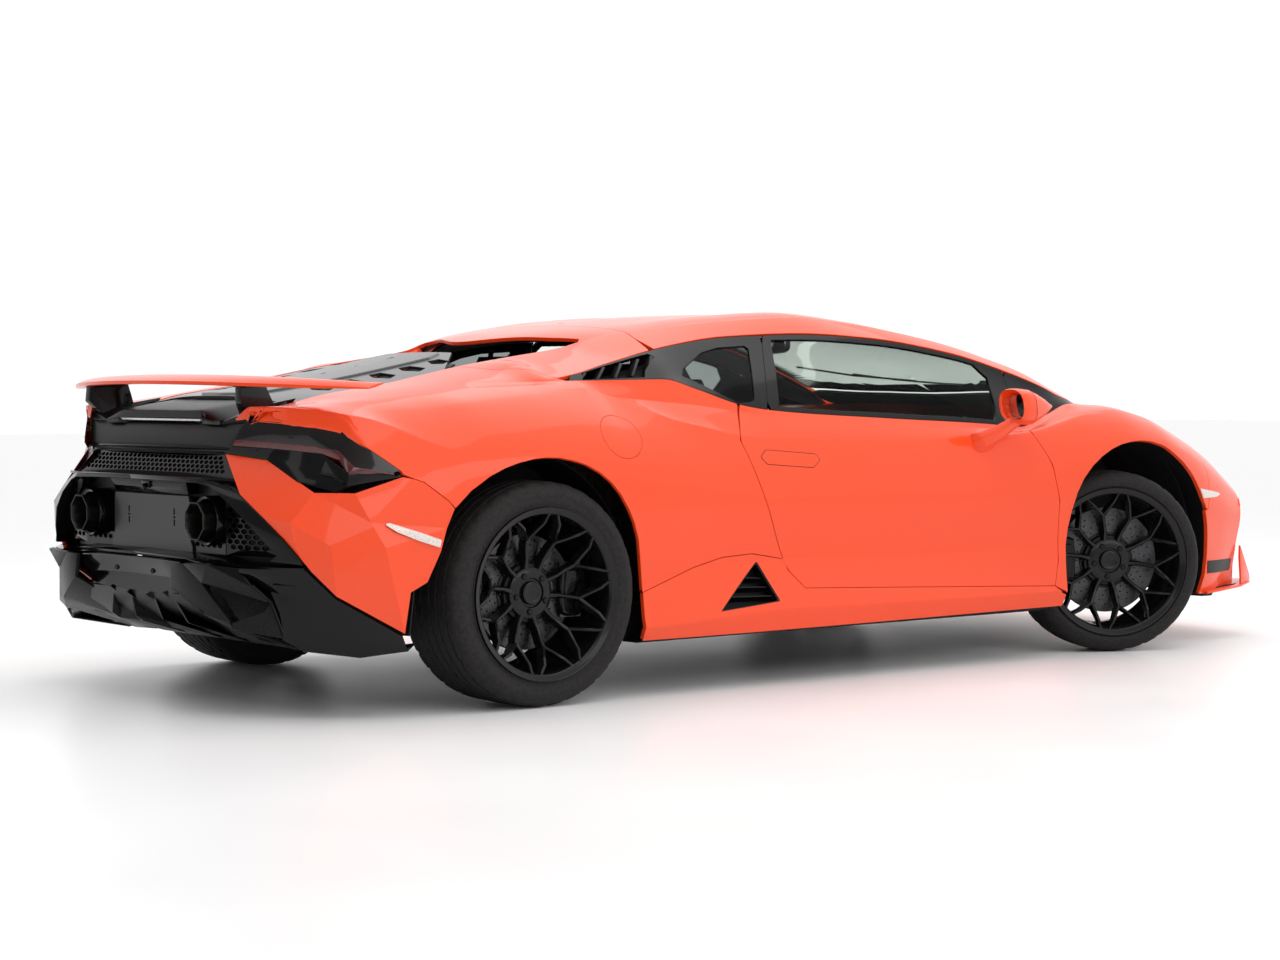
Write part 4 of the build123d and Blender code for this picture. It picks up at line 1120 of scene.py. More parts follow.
def tyre(name, xf, r, w, replaces, body):
    h = w / 2
    half = []
    # columns: radius, depth from the middle; tread ribs with three grooves, rounded shoulder, sidewall, bead
    g = 0.0065
    ribs = [(0.0, .016), (.024, .052), (.062, .094)] if w > .27 else [(0.0, .013), (.021, .043), (.052, .074)]
    crown = lambda z: r - 0.004 * (z / h) ** 2
    pts = []
    for k, (a, b) in enumerate(ribs):
        if a > 0:
            pts += [(crown(a), a)]
        pts += [(crown(b), b), (crown(b) - g, b + .0012), (crown(b) - g, b + .0068)]
    e = ribs[-1][1] + .008
    pts += [(crown(e), e), (crown(h - .030) - .0005, h - .030), (r - .0075, h - .019), (r - .0155, h - .010), (r - .026, h - .004),
            (r - .038, h - .0006), (r - .046, h), (r - .0475, h - .0012), (r - .055, h - .0018), (.272, h - .0085),
            (.2705, h - .0065), (.2675, h - .0065), (.266, h - .011), (.2555, h - .017)]
    right = [(a, b) for a, b in pts]
    left = [(a, -b) for a, b in reversed(pts)]
    prof = right + left
    n = len(right)
    seg = 192
    sh = {}
    for k, (a, b) in enumerate(prof):
        if abs(b) > ribs[-1][1] + .004 and a > r - .010:
            sh[k] = 0
        elif ribs[1][0] - .001 <= abs(b) <= ribs[1][1] + .001 and a > r - .003:
            sh[k] = 1

    def wave(k, j):
        if k in sh:
            lean = int(round(prof[k][1] / .018))
            q = (j + lean) % 6
            if sh[k] == 0 and q == 0:
                return -.0048
            if sh[k] == 1 and (j + lean * 2) % 12 == 3:
                return -.0035
        return 0.0

    b = Build(xf)
    v, f = revolve(prof, seg, True, wave)
    b.add(v, f)
    return b.make(name, "rubber", [replaces], body, angle=50)


def wheel(name, xf, w, face, disc_r, disc_d, replaces, body):
    h = w / 2
    b = Build(xf)
    # rim: barrel, outer flange with its step and lip
    prof = [(.2535, h - .017), (.2600, h - .0155), (.2655, h - .0085), (.2665, h - .003), (.2650, h + .0005), (.2610, h - .0005),
            (.2560, h - .0045), (.2500, h - .0055), (.2455, h - .0085), (.2415, h - .0155), (.2400, h - .024), (.2380, h - .040),
            (.2360, .02), (.2300, -.03), (.2330, -h + .03), (.2430, -h + .002), (.2610, -h - .0005), (.2660, -h + .004),
            (.2650, -h + .010), (.2540, -h + .017), (.2480, -h + .03), (.2440, 0.0), (.2470, h - .045), (.2500, h - .028)]
    v, f = revolve(prof, 108)
    b.add(v, f)
    top = h - .0135
    for i in range(5):
        mid = 2 * math.pi * (i + .25) / 5 + math.radians(8)
        for s in (-1, 1):
            ang = mid + s * math.radians(18)

            def P(r, da, z):
                return (r * math.cos(mid + da), r * math.sin(mid + da), z)
            base = s * math.radians(13)
            stem = [P(.050, s * math.radians(26), face - .004), P(.074, s * math.radians(19), face + .001), P(.108, s * math.radians(16.6), face + .006),
                    P(.145, s * math.radians(17.6), face + .010 + .10 * (top - face)), P(.170, s * math.radians(18), face + .010 + .26 * (top - face))]
            b.add(*bar(stem, [.030, .020, .0125, .0115, .0125], [.028, .030, .034, .034, .030]))
            fork = P(.168, s * math.radians(18), face + .010 + .25 * (top - face))
            for q in (-1, 1):
                tip_a = s * math.radians(18) + q * math.radians(13.6)
                prong = [fork, P(.190, s * math.radians(18) + q * math.radians(5.6), face + .012 + .52 * (top - face)),
                         P(.216, s * math.radians(18) + q * math.radians(10.2), face + .010 + .86 * (top - face)),
                         P(.2405, tip_a, top), P(.2490, tip_a + q * math.radians(1.0), h - .006)]
                b.add(*bar(prong, [.0118, .0100, .0098, .0105, .0120], [.030, .028, .026, .022, .006]))
    # hub pad, lug pockets and cap
    v, f = revolve([(.0, face - .02), (.076, face - .02), (.080, face - .010), (.078, face - .002), (.070, face + .002), (.046, face + .003),
                    (.043, face - .003), (.0385, face - .003), (.0, face - .003)][1:-1] + [(.03, face - .003), (.03, face - .02)], 60)
    b.add(v, f)
    v, f = revolve([(.0005, face - .02), (.036, face - .02), (.0365, face + .004), (.034, face + .0085), (.030, face + .0095),
                    (.028, face + .0085), (.0005, face + .0088)], 48)
    b.add(v, f)
    # drum of the hub behind
    v, f = revolve([(.03, disc_d), (.066, disc_d), (.070, face - .02), (.03, face - .02)], 48)
    b.add(v, f)
    ob = b.make(name, "wheel_black", [replaces], body, angle=38)
    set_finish(ob, "wheel")
    # lug bolts
    c = Build(xf)
    for i in range(5):
        a = 2 * math.pi * (i + .75) / 5 + math.radians(8)
        x, y = .0575 * math.cos(a), .0575 * math.sin(a)
        v, f = chamfered(ring(.0088, 6, a, (x, y)), face - .004, face + .0085, .0016)
        c.add(v, f)
        v, f = chamfered(ring(.0115, 16, 0, (x, y)), face - .004, face + .0035, .001)
        c.add(v, f)
    ob = c.make(name + "_bolts", "black_gloss", None, body, angle=30)
    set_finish(ob, "steel")
    # brake disc: two plates with drilled holes, vanes between and the bell
    d = Build(xf)
    r0, r1 = .098, disc_r
    holes = []
    for i in range(24):
        for k, rr in enumerate((.112, .129, .147, .164)):
            if rr > r1 - .010:
                continue
            a = 2 * math.pi * i / 24 + k * .085 + (i % 2) * .02
            holes.append(ring(.0031, 7, a, (rr * math.cos(a), rr * math.sin(a))))
    t = .015
    for z0, z1 in ((disc_d + t - .009, disc_d + t), (disc_d - t, disc_d - t + .009)):
        v, f = plate(ring(r1, 96), [ring(r0, 72)] + holes, z0, z1)
        d.add(v, f)
    for i in range(48):
        a = 2 * math.pi * i / 48
        p, q = (.104 * math.cos(a), .104 * math.sin(a)), ((r1 - .004) * math.cos(a + .07), (r1 - .004) * math.sin(a + .07))
        nx, ny = -(q[1] - p[1]), q[0] - p[0]
        l = math.hypot(nx, ny)
        nx, ny = nx / l * .0016, ny / l * .0016
        v, f = prism([(p[0] + nx, p[1] + ny), (p[0] - nx, p[1] - ny), (q[0] - nx, q[1] - ny), (q[0] + nx, q[1] + ny)],
                     disc_d - t + .009, disc_d + t - .009)
        d.add(v, f)
    ob = d.make(name + "_disc", "disc_steel", None, body, smooth=True, angle=30)
    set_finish(ob, "steel")
    e = Build(xf)
    v, f = revolve([(.100, disc_d + t - .002), (.102, disc_d + t + .003), (.094, disc_d + t + .005), (.089, disc_d + .034), (.072, disc_d + .036),
                    (.072, disc_d + .030), (.084, disc_d + .030), (.090, disc_d + t - .002)], 60)
    e.add(v, f)
    for i in range(10):
        a = 2 * math.pi * i / 10
        v, f = chamfered(ring(.0055, 6, a, (.0955 * math.cos(a), .0955 * math.sin(a))), disc_d + t + .002, disc_d + t + .011, .001)
        e.add(v, f)
    ob = e.make(name + "_bell", "black_satin", None, body, angle=35)
    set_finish(ob, "engine_metal")
    return ob


def caliper(name, xf, lead, disc_d, big, body):
    """Outer shell of a fixed caliper, over the plain one."""
    b = Build(xf)
    z0 = disc_d + .0225
    z1 = disc_d + .0225 + .018
    s = 1.0 if big else .92
    o = [(.128, -.080 * s), (.150, -.088 * s), (.196, -.086 * s), (.2115, -.060), (.2215, -.018), (.2225, .018), (.2125, .060), (.196, .086 * s),
         (.150, .088 * s), (.128, .080 * s), (.122, .03), (.122, -.03)]
    o = [(lead * x, y) for x, y in o]
    if lead < 0:
        o.reverse()
    v, f = chamfered(o, z0 - .050, z1, .006)
    b.add(v, f)
    # raised rib and bridge ends
    o2 = [(.140, -.062), (.190, -.064), (.204, -.020), (.204, .020), (.190, .064), (.140, .062), (.134, .0)]
    o2 = [(lead * x, y) for x, y in o2]
    if lead < 0:
        o2.reverse()
    v, f = chamfered(o2, z1 - .001, z1 + .0045, .003)
    b.add(v, f)
    for y in (-.074, -.030, .030, .074):
        v, f = chamfered(ring(.0075, 6, .3, (lead * .168, y)), z1 - .002, z1 + .007, .001)
        b.add(v, f)
    ob = b.make(name, "black_gloss", None, body, angle=30)
    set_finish(ob, "engine_metal")
    return ob


for side, s in (("left", 1), ("right", -1)):
    mir = s < 0
    fx = wheel_frame(2.62, .834, .3275, -28.0 * s, .800, mir)
    rx = wheel_frame(0.0, .810, .3455, 0.0, None, mir)
    tyre("tyre_f_" + side, fx, .3275, .245, "tyre_front_" + side, "front_wheel_" + side)
    tyre("tyre_r_" + side, rx, .3455, .305, "tyre_rear_" + side, "rear_wheel_" + side)
    wheel("rim_f_" + side, fx, .245, .052, .190, 0.0, "wheel_front_" + side, "front_wheel_" + side)
    wheel("rim_r_" + side, rx, .305, .062, .178, .010, "wheel_rear_" + side, "rear_wheel_" + side)
    caliper("caliper_f_" + side, fx, 1, 0.0, True, "knuckle_" + side)
    caliper("caliper_r_" + side, rx, -1, .010, False, "root")


# ---------------------------------------------------------------- tail
def sheet(b, V, F, thick, out):
    """Closed sheet: the outer face is V with faces F, thick deep, turned so that it looks towards out."""
    V = np.array(V, float)
    F = [list(f) for f in F]
    N = np.zeros_like(V)
    out = np.array(out, float)
    for i, f in enumerate(F):
        n = np.cross(V[f[1]] - V[f[0]], V[f[2]] - V[f[0]])
        if len(f) > 3:
            n = n + np.cross(V[f[2]] - V[f[0]], V[f[3]] - V[f[0]])
        if n @ out < 0:
            f.reverse()
            n = -n
        l = np.linalg.norm(n)
        for k in f:
            N[k] += n / max(l, 1e-9)
    N /= np.linalg.norm(N, axis=1)[:, None] + 1e-9
    m = len(V)
    W = np.concatenate([V, V - N * thick])
    G = [tuple(f) for f in F] + [tuple(m + k for k in reversed(f)) for f in F]
    e = {}
    for f in F:
        for k in range(len(f)):
            e[(f[k], f[(k + 1) % len(f)])] = 1
    for (p, q) in e:
        if (q, p) not in e:
            G.append((q, p, m + p, m + q))
    b.add(W, G)


def both(name, make, mats, replaces=None, body="root", **kw):
    """One object with the shapes of both sides; make(b) adds the left side's."""
    one = Build()
    make(one)
    b = Build()
    b.slot = 0
    V = np.concatenate(one.v)
    b.add(V, one.f)
    b.add(V * np.array([1, -1, 1]), [tuple(reversed(f)) for f in one.f])
    b.mi = one.mi + one.mi
    return b.make(name, mats, replaces, body, **kw)


def sided(name, make, mats, replaces=None, body="root", **kw):
    """A left and a right object of the same shapes."""
    made = []
    for side, m in (("left", False), ("right", True)):
        b = Build()
        make(b)
        made.append(b.make(name + "_" + side, mats, [r.replace("SIDE", side) for r in replaces] if replaces else None,
                           body.replace("SIDE", side), mirror=m, **kw))
    return made


def hull(b, pts):
    """Convex closed shape around points."""
    bm = bmesh.new()
    for p in pts:
        bm.verts.new(p)
    r = bmesh.ops.convex_hull(bm, input=bm.verts, use_existing_faces=False)
    bmesh.ops.delete(bm, geom=list({g for g in r["geom_interior"] + r["geom_unused"] if isinstance(g, bmesh.types.BMVert)}), context='VERTS')
    bm.verts.index_update()
    b.add([tuple(v.co) for v in bm.verts], [tuple(v.index for v in f.verts) for f in bm.faces])
    bm.free()


def tail_x(y, z=.7):
    return -.90 + .557 * abs(y) ** 4.8


def sd(x, z, d=0.0):
    p = MASTER.side(x, z)
    return (float(p[0]), float(p[1]) + d, float(p[2]))


# the wing: a thin blade, bowed back in plan, on two posts
def wing(b):
    rows = 29
    sec = 10
    V, F = [], []
    for i in range(rows):
        t = -1 + 2 * i / (rows - 1)
        y = .912 * t
        a = abs(t)
        te = -.885 + .283 * a ** 2.4
        le = -.722 + .040 * a ** 2 + .130 * a ** 3.6
        z = 1.0125 - .0245 * a ** 2
        c = le - te
        up = .014 * (1 - a ** 6) + .0030
        for k in range(sec):
            u = k / (sec - 1)
            V.append((te + c * u, y, z - .0105 * (1 - u) + .004 * u + up * math.sin(math.pi * u) ** .7 * .62))
        for k in range(sec):
            u = 1 - k / (sec - 1)
            V.append((te + c * u + (.002 if k == 0 else 0), y,
                      z - .0105 * (1 - u) + .004 * u - .0042 - up * .55 * math.sin(math.pi * u) ** .8 - .006 * (1 - a ** 6) * (1 - u)))
    n = 2 * sec
    for i in range(rows - 1):
        for k in range(n):
            F.append((i * n + k, i * n + (k + 1) % n, (i + 1) * n + (k + 1) % n, (i + 1) * n + k))
    F.append(tuple(range(n - 1, -1, -1)))
    F.append(tuple(range((rows - 1) * n, rows * n)))
    b.add(V, F)


b = Build()
wing(b)
ob = b.make("wing_blade", "paint", ["rear_wing"], angle=50)
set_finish(ob, "body_paint")


def posts(b):
    prof = [(-.793, .488, .990), (-.796, .493, .935), (-.753, .452, .877), (-.715, .448, .884), (-.690, .448, .905), (-.658, .452, .930), (-.668, .446, .955),
            (-.682, .441, .990)]
    V = [(x, y + .017, z) for x, y, z in prof] + [(x, y - .017, z) for x, y, z in prof]
    n = len(prof)
    b.add(V, [tuple(range(n)), tuple(range(2 * n - 1, n - 1, -1))] + [(i, i + n, (i + 1) % n + n, (i + 1) % n) for i in range(n)])
    hull(b, [(-.805, .44, .992), (-.690, .41, .996), (-.805, .54, .990), (-.690, .50, .994), (-.79, .455, .980), (-.695, .42, .984), (-.79, .525, .980),
             (-.695, .47, .984)])
    # strut that runs forward to the deck
    hull(b, [(-.690, .432, .905), (-.660, .432, .930), (-.690, .450, .905), (-.660, .450, .930), (-.560, .425, .946), (-.560, .437, .946), (-.575, .425, .930),
             (-.575, .437, .930)])


ob = both("wing_posts", posts, "black_gloss", angle=30, bevel=.0035)
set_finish(ob, "black_trim")

# the orange corner of the bumper, faceted
CORNER = [(-.870, .543, .781), (-.812, .690, .762), (-.742, .745, .699), (-.712, .785, .671), (-.620, .862, .669), (-.481, .904, .714),
          sd(-.447, .7065), sd(-.417, .6955), sd(-.345, .6385), sd(-.3275, .6165), sd(-.353, .560), sd(-.370, .492), sd(-.415, .402),
          (-.473, .930, .375), (-.493, .926, .254), (-.682, .852, .370), (-.735, .805, .440), (-.760, .783, .480), (-.790, .742, .535),
          (-.830, .676, .606), (-.857, .604, .664), (-.785, .768, .584), (-.695, .846, .517), (-.585, .893, .583), (-.553, .920, .508),
          (-.775, .770, .537)]
CORNER_F = [(0, 1, 20), (1, 2, 20), (2, 3, 20), (20, 3, 21), (3, 4, 23), (3, 23, 21), (21, 23, 22), (22, 23, 24), (20, 21, 19), (19, 21, 25),
            (21, 22, 25), (19, 25, 18), (18, 25, 17), (25, 22, 17), (17, 22, 16), (22, 15, 16), (22, 24, 15), (24, 11, 12), (24, 12, 13),
            (24, 13, 14), (24, 14, 15), (4, 5, 23), (5, 6, 23), (6, 7, 23), (7, 8, 23), (8, 9, 23), (9, 10, 23), (10, 11, 24), (10, 24, 23)]


def corner(b):
    sheet(b, CORNER, CORNER_F, .016, (-.7, .7, 0))


for ob in sided("bumper_corner", corner, "paint", ["rear_bumper"], angle=14, bevel=.0032):
    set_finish(ob, "body_paint")


def corner_back(b):
    # black lining behind the corner
    V = [(x + .010 + .016 * min(1, max(0, (-.40 - x) / .2)), y - .022, z * .965 + .018 if z > .5 else z - .004) for x, y, z in CORNER]
    sheet(b, V, CORNER_F, .004, (-.7, .7, 0))
    sheet(b, [(-.474, .924, .246), (-.456, .926, .392), (-.415, .62, .41), (-.430, .62, .235)], [(0, 1, 2, 3)], .004, (1, 0, 0))


for ob in sided("bumper_lining", corner_back, "black_plastic", angle=30):
    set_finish(ob, "dark_plastic")


def on_corner(p, push):
    """A point drawn on the corner's facets, from the side."""
    best = None
    V = np.array(CORNER)
    for f in CORNER_F:
        a, b2, c = V[list(f)]
        M = np.array([[b2[0] - a[0], c[0] - a[0]], [b2[2] - a[2], c[2] - a[2]]])
        if abs(np.linalg.det(M)) < 1e-9:
            continue
        u, v = np.linalg.solve(M, [p[0] - a[0], p[1] - a[2]])
        if u >= -.02 and v >= -.02 and u + v <= 1.02:
            y = a[1] + u * (b2[1] - a[1]) + v * (c[1] - a[1])
            best = y if best is None else max(best, y)
    return (p[0], (best if best is not None else .92) + push, p[1])


def marker(b):
    o = [(-.545, .5745), (-.534, .5765), (-.439, .5445), (-.374, .522), (-.378, .503), (-.448, .5255), (-.514, .5535)]
    sheet(b, [on_corner(p, .0075) for p in o], [tuple(range(len(o)))], .008, (-.3, 1, 0))


for ob in sided("rear_marker", marker, "marker", angle=25, bevel=.0012):
    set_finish(ob, "tail_light")


# lamps: smoked glass above the ridge, black glass below it, with a red guide between
RIDGE = [(-.880, .600, .803), (-.795, .700, .796), (-.690, .796, .783), (-.640, .860, .727), (-.505, .902, .719)]
UP = [(-.826, .600, .884), (-.780, .690, .8765), (-.728, .772, .867), (-.640, .824, .848), (-.570, .867, .794), (-.488, .900, .733),
      (-.481, .902, .717)]


def lens_up(b):
    mid = [(-.848, .600, .858), (-.800, .692, .853), (-.738, .780, .846), (-.672, .828, .822), (-.610, .866, .768), (-.510, .899, .728)]
    low = [(-.870, .600, .822), (-.797, .697, .817), (-.705, .790, .803), (-.655, .835, .788), (-.625, .867, .745), (-.507, .901, .723)]
    V = UP[:6] + mid + low
    F = [(i, i + 1, i + 7, i + 6) for i in range(5)] + [(i + 6, i + 7, i + 13, i + 12) for i in range(5)]
    sheet(b, V, F, .008, (-1, .6, .2))


for ob in sided("lamp_lens", lens_up, "lens_smoke", ["tail_lights"], angle=40, bevel=.0015):
    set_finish(ob, "tail_light")


def guide(b):
    low = [(-.872, .606, .821), (-.800, .699, .816), (-.707, .792, .802), (-.657, .837, .787), (-.627, .868, .745), (-.512, .901, .724)]
    r = [(x + .004, y - .006, z - .003) for x, y, z in RIDGE[:1] + [RIDGE[1], RIDGE[2], (-.655, .835, .760), RIDGE[3], RIDGE[4]]]
    V = low + r
    F = [(i, i + 1, i + 7, i + 6) for i in range(5)]
    sheet(b, V, F, .010, (-1, .5, 0))


for ob in sided("lamp_guide", guide, "lens_red", angle=40, bevel=.001):
    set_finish(ob, "tail_light")


def lens_low(b):
    top = [RIDGE[0], RIDGE[1], RIDGE[2], RIDGE[3], RIDGE[4]]
    mid = [(-.874, .570, .792), (-.806, .692, .780), (-.714, .782, .722), (-.640, .850, .690), (-.505, .898, .712)]
    low = [(-.8715, .540, .7835), (-.8125, .688, .763), (-.742, .742, .7005), (-.665, .822, .672), (-.485, .9015, .715)]
    V = top + mid + low
    F = [(i, i + 1, i + 6, i + 5) for i in range(4)] + [(i + 5, i + 6, i + 11, i + 10) for i in range(4)]
    sheet(b, V, F, .008, (-1, .6, -.2))
    # small rib inside the lower lens
    sheet(b, [(-.735, .768, .741), (-.668, .826, .7215), (-.648, .846, .7005), (-.652, .842, .6965), (-.674, .818, .7165), (-.738, .762, .7355)],
          [(0, 1, 4, 5), (1, 2, 3, 4)], .006, (-1, .6, -.2))


for ob in sided("lamp_lower", lens_low, "black_gloss", angle=40, bevel=.0015):
    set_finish(ob, "tail_light")


# end of the haunch over the lamp
def haunch_end(b):
    e = P3([(-.64, .825, .850), (-.728, .775, .868), (-.80, .64, .880), (-.812, .60, .884)], .02) + \
        P3([(-.812, .592, .896), (-.797, .555, .911), (-.765, .485, .917)], .02)
    uy = [.470, .600, .690, .772, .824]
    low = []
    for x, y, z in e:
        if y < .515:
            break
        low.append((float(np.interp(y, uy, [-.815, -.8275, -.7815, -.7295, -.6415])), y, min(z - .002, float(np.interp(y, uy, [.884, .886, .8785, .869, .850])))))
    n = len(low)
    under = [tuple(MASTER.near((x + .07, y - .03, z))[0] - np.array([0, 0, .005])) for x, y, z in e[:n]]
    e = [(x - .005, y + .003, z - .001) for x, y, z in e[:n]]
    low = [(x - .002, y + .001, z) for x, y, z in low]
    sheet(b, under + e + low, [(k, k + 1, k + 1 + n, k + n) for k in range(2 * n - 1) if k != n - 1], .005, (-1, .3, .6))


for ob in sided("haunch_end", haunch_end, "paint", angle=40):
    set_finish(ob, "body_paint")

# black band under the lip, the lip itself, and the blade
def mirror_strip(b, rows, thick, out):
    """Rows of points from the centre line outwards, mirrored and joined across."""
    V, F = [], []
    m = len(rows[0])
    full_rows = []
    for r in rows:
        r = list(r)
        left = [(x, -y, z) for x, y, z in reversed(r) if y > 1e-6]
        full_rows.append(left + r)
    w = len(full_rows[0])
    for r in full_rows:
        V += r
    for i in range(len(rows) - 1):
        for k in range(w - 1):
            F.append((i * w + k, i * w + k + 1, (i + 1) * w + k + 1, (i + 1) * w + k))
    sheet(b, V, F, thick, out)


b = Build()
ys = [0, .15, .28, .36, .42, .47, .512]


def row(x0, x1, z, end):
    return [(x0 + (x1 - x0) * (y / .512) ** 3, y * end / .512, z) for y in ys]


mirror_strip(b, [row(-.772, -.770, .8765, .514), row(-.786, -.776, .858, .502), row(-.797, -.785, .832, .482), row(-.802, -.792, .806, .465),
                 row(-.800, -.790, .786, .470)], .012, (-1, 0, .3))
# shelves beside the lip, under the posts
for s in (1, -1):
    A, B_, C, D, E, F_ = [(x, s * y, z) for x, y, z in ((-.786, .365, .8735), (-.775, .512, .8765), (-.768, .506, .905), (-.722, .436, .9145),
                                                       (-.600, .442, .936), (-.600, .380, .905))]
    sheet(b, [A, B_, C, D, E, F_], [(0, 1, 2), (0, 2, 3), (0, 3, 5), (3, 4, 5)], .010, (-.3, 0, 1))
ob = b.make("tail_band", "black_satin", ["rear_deck"], angle=30, bevel=.001)
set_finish(ob, "black_trim")

b = Build()
ys2 = [0, .10, .20, .250, .285, .372]


def lip(x, z0, z1, z2):
    return [(x, y, z0 if y <= .25 else (z1 if y < .33 else z2)) for y in ys2]


mirror_strip(b, [lip(-.600, .940, .936, .905), lip(-.690, .928, .923, .893), lip(-.782, .9115, .906, .8795), lip(-.790, .9085, .902, .878),
                 lip(-.7925, .889, .887, .8765), lip(-.784, .8745, .8745, .8735)], .010, (-.6, 0, 1))
ob = b.make("deck_lip", "black_satin", None, angle=30, bevel=.0015)
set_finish(ob, "black_trim")

b = Build()
hull(b, [(x, s * y, z) for s in (1, -1) for x, y, z in ((-.7955, .256, .8835), (-.7945, .256, .8775), (-.780, .258, .8845), (-.780, .258, .8765),
                                                       (-.7935, .259, .8805))])
ob = b.make("brake_strip", "silver_lens", None, angle=30, bevel=.0006)
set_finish(ob, "tail_light")

b = Build()
yb = [0, .12, .24, .36, .44, .50, .56]


def blade_row(dx, z, tip=0.0):
    return [(-.836 + .21 * y * y + dx, y, z - .006 * (y / .56) ** 2) for y in yb]


mirror_strip(b, [blade_row(.045, .8045), blade_row(.018, .8060), blade_row(.0, .8015), blade_row(.006, .7975), blade_row(.042, .790)], .0035, (0, 0, 1))
ob = b.make("tail_blade", "black_gloss", None, angle=50, bevel=.0006)
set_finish(ob, "black_trim")


# mesh strip and mesh panels: plates with hexagonal holes, on a slanted plane
def hexes(outline, a, wall, flat=True):
    """Hexagon holes wholly inside an outline, on a brick grid."""
    o = np.array(outline)
    dx, dy = a * math.sqrt(3), a * 1.5
    r = a - wall / math.sqrt(3)
    out = []
    j = 0
    y = o[:, 1].min() + a
    while y < o[:, 1].max():
        x = o[:, 0].min() + (dx / 2 if j % 2 else 0) + dx / 2
        while x < o[:, 0].max():
            h = ring(r, 6, math.pi / 6, (x, y))
            hx, hy = np.array([p[0] for p in h]), np.array([p[1] for p in h])
            h2 = ring(r + wall, 6, math.pi / 6, (x, y))
            if inside(outline, np.array([p[0] for p in h2]), np.array([p[1] for p in h2])).all():
                out.append(h)
            x += dx
        y += dy
        j += 1
    return out


def mesh_plate(name, outline, a, wall, place, thick=.006, mat="black_gloss", wide=1.9):
    """outline in (u, v); place(u, v) gives the 3-D point and d is the depth inwards; the hexagons are drawn wide times as wide."""
    outline = [(u / wide, v) for u, v in outline]
    v, f = plate(outline, hexes(outline, a, wall), 0.0, 1.0)
    V = [place(p[0] * wide, p[1], (1 - p[2]) * thick) for p in v]
    b = Build()
    b.add(V, f)
    ob = b.make(name, mat, None, smooth=False)
    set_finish(ob, "black_trim")
    return ob


def back_x(u, w):
    return -.800 - (.777 - w) * .50 + .10 * abs(u) ** 3


mesh_plate("tail_mesh", [(-.404, .778), (.404, .778), (.517, .706), (-.517, .706)], .0086, .0034, lambda u, w, d: (back_x(u, w) + d, u, w))
b = Build()
yb = [0, .15, .3, .4, .46, .525]
mirror_strip(b, [[(back_x(y, .795) + .034, y * .82, .800) for y in yb], [(back_x(y, .70) + .034, y, .69) for y in yb]], .006, (-1, 0, 0))
mirror_strip(b, [[(back_x(y, .79) + .030, y * .80, .7895) for y in yb], [(back_x(y, .79) - .004, y * .80, .7885) for y in yb],
                 [(back_x(y, .78) - .004, y * .80, .7775) for y in yb], [(back_x(y, .78) + .022, y * .80, .7765) for y in yb]], .004, (-1, 0, 0))
ob = b.make("tail_mesh_back", "black_satin", None, angle=30)
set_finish(ob, "black_trim")
b = Build()
mirror_strip(b, [[(back_x(y, .706) + .020, y, .7085) for y in yb], [(back_x(y, .706) - .004, y, .7085) for y in yb],
                 [(tail_x(y) + .012 + .10 * max(0, y - .42), y * .965, .7115) for y in yb]], .008, (-.3, 0, 1))
ob = b.make("tail_ledge", "black_gloss", None, angle=30)
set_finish(ob, "black_trim")


# surround: a black frame that follows the diagonal of the bumper, with a deep pocket
OUT = [(0.0, .712), (.250, .711), (.420, .708), (.503, .700), (.603, .664), (.676, .606), (.746, .533), (.786, .478), (.792, .461)]
INN = [(0.0, .699), (.250, .698), (.405, .694), (.468, .683), (.545, .640), (.622, .585), (.690, .522), (.722, .490), (.700, .470)]


def sur_x(y, z):
    t = min(max((y - .50) / .29, 0), 1)
    base = tail_x(y)
    return base if y < .55 else min(-.70, np.interp(y, [.55, .603, .676, .746, .786, .80], [base, -.860, -.832, -.792, -.762, -.750]))


def surround(b):
    o = [(sur_x(y, z) - .002, y, z) for y, z in OUT]
    i = [(sur_x(y, z) + .004, y, z) for y, z in INN]
    deep = [(-.800 if y < .6 else (-.775 if y < .68 else -.735), y * .97, z - (.012 if z > .6 else .002)) for y, z in INN]
    V = o + i + deep
    n = len(o)
    F = [(k, k + 1, k + 1 + n, k + n) for k in range(n - 1)] + [(k + n, k + 1 + n, k + 1 + 2 * n, k + 2 * n) for k in range(n - 1)]
    sheet(b, V, F, .006, (-1, -.2, -.3))
    # lower ledge of the pocket
    L = [(0.0, .474), (.30, .470), (.47, .462), (.56, .452), (.70, .452), (.792, .452)]
    a1 = [(sur_x(y, z) - .004 if y < .5 else sur_x(y, z) + .002, y, z) for y, z in L]
    a2 = [(x + .006, y, z - .010) for x, y, z in a1]
    a0 = [(-.790 if y < .6 else -.735, y * .985, z + .010) for y, z in L]
    V = a0 + a1 + a2
    n = len(L)
    F = [(k, k + 1, k + 1 + n, k + n) for k in range(n - 1)] + [(k + n, k + 1 + n, k + 1 + 2 * n, k + 2 * n) for k in range(n - 1)]
    sheet(b, V, F, .006, (-1, 0, .6))


ob = both("tail_surround", surround, "black_gloss", ["rear_fascia"], angle=28, bevel=.0015)
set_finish(ob, "black_trim")

b = Build()
yb = [0, .30, .47, .58, .66, .71]
xs = [-.790, -.790, -.785, -.765, -.745, -.725]
mirror_strip(b, [[(x, y, .690) for x, y in zip(xs, yb)], [(x, y, .452) for x, y in zip(xs, yb)]], .008, (-1, 0, 0))
ob = b.make("tail_pocket", "black_satin", None, angle=30)
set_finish(ob, "black_trim")

